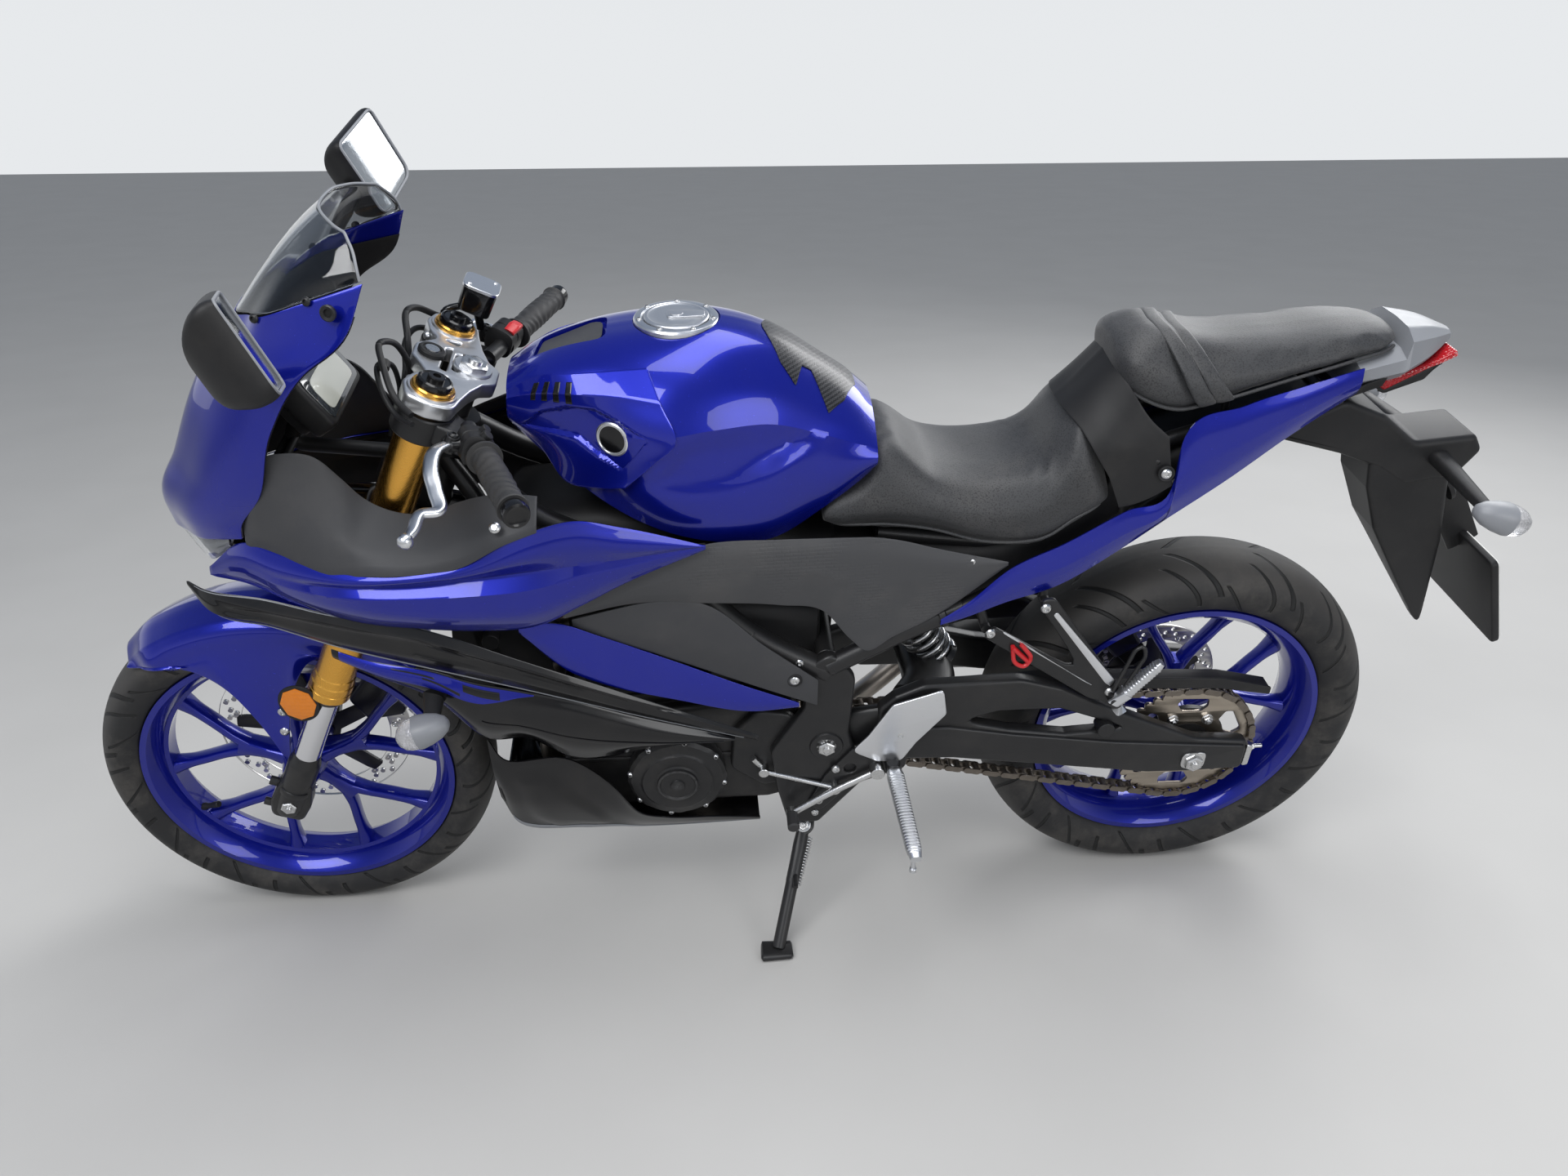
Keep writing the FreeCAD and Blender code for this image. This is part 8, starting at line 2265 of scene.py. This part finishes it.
def build_rear_fender():
    """Blunt housing under the tail, the tongue that narrows behind the wheel and the plate's bracket."""
    upper = plate([rounded([(-736, 826, 6), (-744, 848, 8), (-815, 884, 24), (-880, 858, 40),
                            (-935, 816, 24), (-1022, 824, 10), (-1038, 800, 12), (-1012, 758, 16),
                            (-940, 748, 16), (-893, 776, 12), (-830, 800, 20)])],
                  -46, 46, 9, steps=4)
    tongue = plate([rounded([(-880, 800, 20), (-893, 742, 10), (-926, 668, 10), (-1002, 560, 14),
                             (-1079, 456, 8), (-1042, 640, 16), (-1010, 770, 14), (-960, 800, 20)])],
                   -44, 44, 8, steps=4)
    verts, faces = tongue
    verts[:, 1] *= np.interp(verts[:, 2], [456, 560, 660, 740, 800], [0.12, 0.42, 0.8, 0.98, 1.0])
    verts[:, 0] += 0.35 * (np.abs(verts[:, 1]) - 20).clip(0) * np.interp(verts[:, 2], [456, 740], [0, 1])
    solid("rear_fender", joined([upper, (verts, faces)]), "black_plastic",
          replaces=("plate_holder",), crease=30)
    bracket = joined([swept([(-1010, 0, 720), (-1050, 0, 690), (-1098, 0, 618)], [30, 26, 24],
                            5, 24, 4, LEFT),
                      lathe([(0, 26), (6, 26), (10, 20)], (-1030, 0, 720), (-0.8, 0, 0.5), 36)])
    solid("plate_bracket", bracket, "black_plastic")


def build_plate():
    """Blank number plate, square to the line between its lower and upper edge, on a dark backing."""
    low, high = np.array([-1150.0, 0, 496]), np.array([-1096.0, 0, 638])
    upward = unit(high - low)
    away = np.cross(upward, LEFT)
    length = np.linalg.norm(high - low)
    flat, faces = plate([rounded([(-90, 0, 8), (90, 0, 8), (90, length, 8), (-90, length, 8)])],
                        -1.2, 1.2, 0.5, "XY")
    flat = low + flat[:, :1] * LEFT + flat[:, 1:2] * upward + flat[:, 2:] * away
    solid("number_plate_blank", (flat, faces), "plate_white", replaces=("number_plate",))
    back, more = plate([rounded([(-94, -4, 10), (94, -4, 10), (94, length + 4, 10), (-94, length + 4, 10)])],
                       -13, -1.5, 3, "XY", 3)
    back = low + back[:, :1] * LEFT + back[:, 1:2] * upward + back[:, 2:] * away
    solid("plate_backing", (back, more), "black_plastic")


def build_indicators():
    """Stalk, tapering housing and clear lens of the four indicators."""
    housings, lenses, stalks = [], [], []
    for root, seat, toward, reach in (((430, 166, 545), (404, 222, 538), (0.95, 0.12, -0.24), 72),
                                      ((-975, 44, 792), (-948, 184, 790), (-0.96, 0.12, -0.24), 78)):
        seat, toward = np.array(seat, float), unit(toward)
        share = np.array([0, 0.08, 0.3, 0.6, 0.9, 1.0])
        path = seat + toward * (share * reach * 0.62)[:, None]
        housings.append(swept(path, [5, 11, 17, 21, 23, 22.6], [4, 9, 15, 19, 21, 20.6], 36, 2.5))
        share = np.array([0, 0.3, 0.6, 0.85, 0.97, 1.0])
        path = seat + toward * (reach * 0.62 + share * reach * 0.38)[:, None]
        lenses.append(swept(path, [22.4, 21.6, 18.6, 12.6, 6, 1.5], [20.4, 19.6, 17, 11.4, 5, 1.5], 36, 2.4))
        end = seat + toward * reach * 0.34
        stalks.append(swept(through(np.array([root, (np.array(root) + end) / 2, end], float), 6),
                            np.linspace(15, 9, 13), np.linspace(11, 7, 13), 24, 2.6))
    solid("indicator_housings", both(joined(housings)), "pale_plastic", replaces=("indicators",),
          crease=40)
    solid("indicator_lenses", both(joined(lenses)), "lens_clear", crease=60)
    solid("indicator_stalks", both(joined(stalks)), "black_plastic")


def build_meter():
    """Slanted instrument with a pale display, its hood and the stay behind it."""
    seat, across = np.array([528.0, 0, 934]), LEFT
    upward = unit((0.55, 0, 0.83))
    out = np.cross(across, upward)
    out = out * np.sign(out @ np.array([-1, 0, 1.0]))

    def slab(half_across, half_up, low, high, bevel, shift=0.0):
        """Rounded plate square to the display's face."""
        flat, faces = plate([rounded([(-half_across, -half_up, 12), (half_across, -half_up, 12),
                                      (half_across, half_up, 16), (-half_across, half_up, 16)])],
                            low, high, bevel, "XY", 3)
        points = seat + flat[:, :1] * across + (flat[:, 1:2] + shift) * upward + flat[:, 2:] * out
        return points, faces

    stay = joined([pipe([on_fork((24, 0, 590)), (600, 0, 842), (560, 0, 905)], 10, 30),
                   rod((600, -137, 842), (600, 137, 842), 7), rod((586, -128, 850), (586, 128, 850), 5)])
    solid("meter_case", joined([slab(76, 40, -34, 0, 6), slab(66, 30, -52, -30, 6), stay]), "black_plastic",
          replaces=("instrument_panel",))
    solid("meter_face", slab(68, 32, -1, 1.6, 0.8), "meter_glass")
    solid("meter_display", slab(56, 22, 1.2, 2.6, 0.6, -3), "display_pale")


# Stage

def build_floor():
    """Pale floor with a faint cloud in its tone."""
    size = 14.0
    u, v = np.meshgrid(np.linspace(-size, size, 3), np.linspace(-size, size, 3), indexing="ij")
    verts, faces = grid_form(np.stack([u, v, 0 * u], -1))
    mesh = bpy.data.meshes.new("floor")
    mesh.from_pydata(verts, [], faces)
    floor = bpy.data.objects.new("floor", mesh)
    bpy.context.scene.collection.objects.link(floor)
    g, shader, where, _ = start_material("floor_pale")
    tone = g.noise(where, 3.0, 4.0)
    g.tree.links.new(g.mix(tone, (0.47, 0.465, 0.455, 1), (0.52, 0.515, 0.505, 1)),
                     shader.inputs["Base Color"])
    shader.inputs["Roughness"].default_value = 0.75
    mesh.materials.append(FINISHES["floor_pale"])


def build_world():
    """Sky that is seen and mirrored brighter than it lights."""
    world = bpy.data.worlds.new("studio")
    bpy.context.scene.world = world
    world.use_nodes = True
    tree = world.node_tree
    tree.nodes.clear()
    g = Graph(tree)
    rays = g.add("ShaderNodeLightPath").outputs
    seen = g.math("MAXIMUM", rays["Is Camera Ray"],
                  g.math("MAXIMUM", rays["Is Glossy Ray"], rays["Is Transmission Ray"]))
    up = g.add("ShaderNodeSeparateXYZ",
               {"Vector": g.add("ShaderNodeTexCoord").outputs["Generated"]}).outputs["Z"]
    sky = g.mix(g.band(up, 0.0, 0.6), (0.8, 0.82, 0.84, 1), (0.2, 0.25, 0.34, 1))
    light = g.add("ShaderNodeBackground", {"Color": (0.75, 0.79, 0.85, 1), "Strength": 0.5})
    shown = g.add("ShaderNodeBackground", {"Color": sky, "Strength": 1.0})
    mixed = g.add("ShaderNodeMixShader", {0: seen, 1: light.outputs[0], 2: shown.outputs[0]})
    g.add("ShaderNodeOutputWorld", {"Surface": mixed.outputs[0]})


def build_lamps():
    """Soft rectangular lamps, each turned to face its target."""
    for name, place, target, width, height, power in (
        ("key", (1.6, 2.6, 3.4), (0.1, 0, 0.6), 2.4, 1.6, 95.0),
        ("over", (-0.5, 0.2, 3.8), (-0.1, 0, 0.6), 3.2, 1.4, 70.0),
        ("rim", (-2.6, -2.4, 2.6), (0, 0, 0.6), 2.0, 1.4, 60.0),
        ("side", (-1.9, 3.0, 1.7), (-0.2, 0, 0.5), 1.4, 1.8, 30.0),
    ):
        lamp = bpy.data.lights.new(name, "AREA")
        lamp.shape, lamp.size, lamp.size_y, lamp.energy = "RECTANGLE", width, height, power
        holder = bpy.data.objects.new(name, lamp)
        bpy.context.scene.collection.objects.link(holder)
        away = unit(np.array(place) - np.array(target))
        right = unit(np.cross(UP, away))
        above = np.cross(away, right)
        turn = Matrix(np.stack([right, above, away], 1).tolist()).to_4x4()
        holder.matrix_world = Matrix.Translation(place) @ turn


# The photograph's camera: how far it turns, looks down and rolls, its focal length in pixels, and its place
# from the bike's origin in metres, with its height above the floor.
CAMERA_TURN = (-4.765, 24.299, -0.201)
FOCAL_PIXELS = 1453.93
PHOTO_WIDTH_PIXELS = 1920
CAMERA_PLACE = (0.0751, 1.7090, 1.2926)


def build_camera():
    """Camera at the photograph's place and angle."""
    scene = bpy.context.scene
    yaw, pitch, roll = (math.radians(angle) for angle in CAMERA_TURN)
    ahead = np.array([math.sin(yaw) * math.cos(pitch), -math.cos(yaw) * math.cos(pitch), -math.sin(pitch)])
    right = unit(np.cross(ahead, UP))
    above = np.cross(right, ahead)
    cos, sin = math.cos(roll), math.sin(roll)
    right, above = right * cos + above * sin, above * cos - right * sin
    camera = bpy.data.objects.new("camera", bpy.data.cameras.new("camera"))
    scene.collection.objects.link(camera)
    camera.data.sensor_width, camera.data.lens = 36.0, 36.0 * FOCAL_PIXELS / PHOTO_WIDTH_PIXELS
    camera.data.clip_end = 60.0
    place = (ORIGIN[0] / 1000 + CAMERA_PLACE[0], ORIGIN[1] / 1000 + CAMERA_PLACE[1], CAMERA_PLACE[2])
    turn = Matrix(np.stack([right, above, -ahead], 1).tolist()).to_4x4()
    camera.matrix_world = Matrix.Translation(place) @ turn
    scene.camera = camera
    scene.view_settings.view_transform = "Standard"


def build_plain_nodes():
    """Finish of the one CAD piece that stays as it is."""
    node = frame["nodes"]["subframe"]
    node.data.materials.clear()
    node.data.materials.append(FINISHES["satin_black"])


# Add-on

class BikeSettings(bpy.types.PropertyGroup):
    """Sizes and colours that a user would change."""

    panel_wall: bpy.props.FloatProperty(
        name="Panel wall", description="Thickness of the moulded body panels", default=0.0026,
        min=0.001, max=0.006, unit="LENGTH")
    body_blue: bpy.props.FloatVectorProperty(
        name="Body blue", description="Metallic blue of the bodywork and wheels", subtype="COLOR", size=3,
        min=0.0, max=1.0, default=(0.003, 0.009, 0.27))
    panel_grey: bpy.props.FloatVectorProperty(
        name="Panel grey", description="Dark grey of the cockpit and frame panels", subtype="COLOR", size=3,
        min=0.0, max=1.0, default=(0.045, 0.046, 0.05))
    seat_black: bpy.props.FloatVectorProperty(
        name="Seat black", description="Charcoal of the seat vinyl", subtype="COLOR", size=3,
        min=0.0, max=1.0, default=(0.036, 0.037, 0.04))
    fork_gold: bpy.props.FloatVectorProperty(
        name="Fork gold", description="Anodised gold of the fork's upper tubes", subtype="COLOR",
        size=3, min=0.0, max=1.0, default=(0.80, 0.42, 0.08))


class BuildFinishes(bpy.types.Operator):
    """Makes the node materials"""
    bl_idname = "sport_bike.finishes"
    bl_label = "Finishes"

    def execute(self, context):
        build_finishes()
        return {"FINISHED"}


class BuildTank(bpy.types.Operator):
    """Makes the tank shell, its flank covers, pad, filler ring and cap"""
    bl_idname = "sport_bike.tank"
    bl_label = "Tank"

    def execute(self, context):
        build_tank()
        build_filler()
        return {"FINISHED"}


class BuildSeats(bpy.types.Operator):
    """Makes both padded seats, the strap and the welts"""
    bl_idname = "sport_bike.seats"
    bl_label = "Seats"

    def execute(self, context):
        build_seats()
        return {"FINISHED"}


class BuildSidePanels(bpy.types.Operator):
    """Makes the fairings and the covers along both sides"""
    bl_idname = "sport_bike.side_panels"
    bl_label = "Side panels"

    def execute(self, context):
        build_side_panels()
        return {"FINISHED"}


class BuildNose(bpy.types.Operator):
    """Makes the cowl, windscreen, headlights and mirrors"""
    bl_idname = "sport_bike.nose"
    bl_label = "Nose"

    def execute(self, context):
        build_nose()
        build_mirrors()
        return {"FINISHED"}


class BuildWheels(bpy.types.Operator):
    """Makes the wheels, tyres and brake discs"""
    bl_idname = "sport_bike.wheels"
    bl_label = "Wheels"

    def execute(self, context):
        build_wheels()
        return {"FINISHED"}


class BuildChain(bpy.types.Operator):
    """Makes the chain and the rear sprocket"""
    bl_idname = "sport_bike.chain"
    bl_label = "Chain"

    def execute(self, context):
        build_chain()
        build_sprocket()
        return {"FINISHED"}


class BuildFork(bpy.types.Operator):
    """Makes the fork legs, clamps, fender and front brake"""
    bl_idname = "sport_bike.fork"
    bl_label = "Fork"

    def execute(self, context):
        build_fork()
        build_clamps()
        build_fender()
        build_front_brake()
        build_reflectors()
        return {"FINISHED"}


class BuildControls(bpy.types.Operator):
    """Makes the bars, grips, levers, switches, reservoir and cables"""
    bl_idname = "sport_bike.controls"
    bl_label = "Controls"

    def execute(self, context):
        build_bars()
        build_switches()
        build_levers()
        build_reservoir()
        build_cables()
        build_meter()
        return {"FINISHED"}


class BuildFrame(bpy.types.Operator):
    """Makes the frame tubes, engine, radiator and exhaust"""
    bl_idname = "sport_bike.frame"
    bl_label = "Frame and engine"

    def execute(self, context):
        build_frame()
        build_engine()
        build_radiator()
        build_exhaust()
        build_inner()
        return {"FINISHED"}


class BuildRear(bpy.types.Operator):
    """Makes the swingarm, shock, chain guard and rear brake"""
    bl_idname = "sport_bike.rear"
    bl_label = "Swingarm"

    def execute(self, context):
        build_swingarm()
        build_shock()
        build_chain_guard()
        build_rear_brake()
        return {"FINISHED"}


class BuildFootrests(bpy.types.Operator):
    """Makes the footrests and the side stand"""
    bl_idname = "sport_bike.footrests"
    bl_label = "Footrests and stand"

    def execute(self, context):
        build_rider_footrests()
        build_passenger_footrests()
        build_stand()
        return {"FINISHED"}


class BuildTail(bpy.types.Operator):
    """Makes the belly pan, trim, tail, lamps and number plate"""
    bl_idname = "sport_bike.tail"
    bl_label = "Tail and trim"

    def execute(self, context):
        build_belly()
        build_trim()
        build_tail()
        build_rear_fender()
        build_plate()
        build_indicators()
        return {"FINISHED"}


class BuildStage(bpy.types.Operator):
    """Makes the floor, the lamps and the camera"""
    bl_idname = "sport_bike.stage"
    bl_label = "Stage"

    def execute(self, context):
        build_floor()
        build_world()
        build_lamps()
        build_camera()
        return {"FINISHED"}


class DressNodes(bpy.types.Operator):
    """Gives the rear frame under the seats its finish"""
    bl_idname = "sport_bike.plain_nodes"
    bl_label = "Carried-over pieces"

    def execute(self, context):
        build_plain_nodes()
        return {"FINISHED"}


STEPS = (BuildFinishes, BuildTank, BuildSeats, BuildSidePanels, BuildNose, BuildWheels,
         BuildChain, BuildFork, BuildControls, BuildFrame, BuildRear, BuildFootrests, BuildTail, DressNodes,
         BuildStage)


class BikePanel(bpy.types.Panel):
    """Lists the sizes, colours and building steps"""
    bl_idname = "VIEW3D_PT_sport_bike"
    bl_label = "Sport bike"
    bl_space_type = "VIEW_3D"
    bl_region_type = "UI"
    bl_category = "Sport bike"

    def draw(self, context):
        for name in BikeSettings.__annotations__:
            self.layout.prop(context.scene.sport_bike, name)
        for step in STEPS:
            self.layout.operator(step.bl_idname)


def register():
    """Adds the property group, the steps and the panel."""
    for item in (BikeSettings, *STEPS, BikePanel):
        bpy.utils.register_class(item)
    bpy.types.Scene.sport_bike = bpy.props.PointerProperty(type=BikeSettings)


def unregister():
    """Takes them away again."""
    del bpy.types.Scene.sport_bike
    for item in reversed((BikeSettings, *STEPS, BikePanel)):
        bpy.utils.unregister_class(item)


def main():
    """Builds everything in order."""
    register()
    for step in STEPS:
        family, name = step.bl_idname.split(".")
        getattr(getattr(bpy.ops, family), name)()


if __name__ == "__main__":
    main()
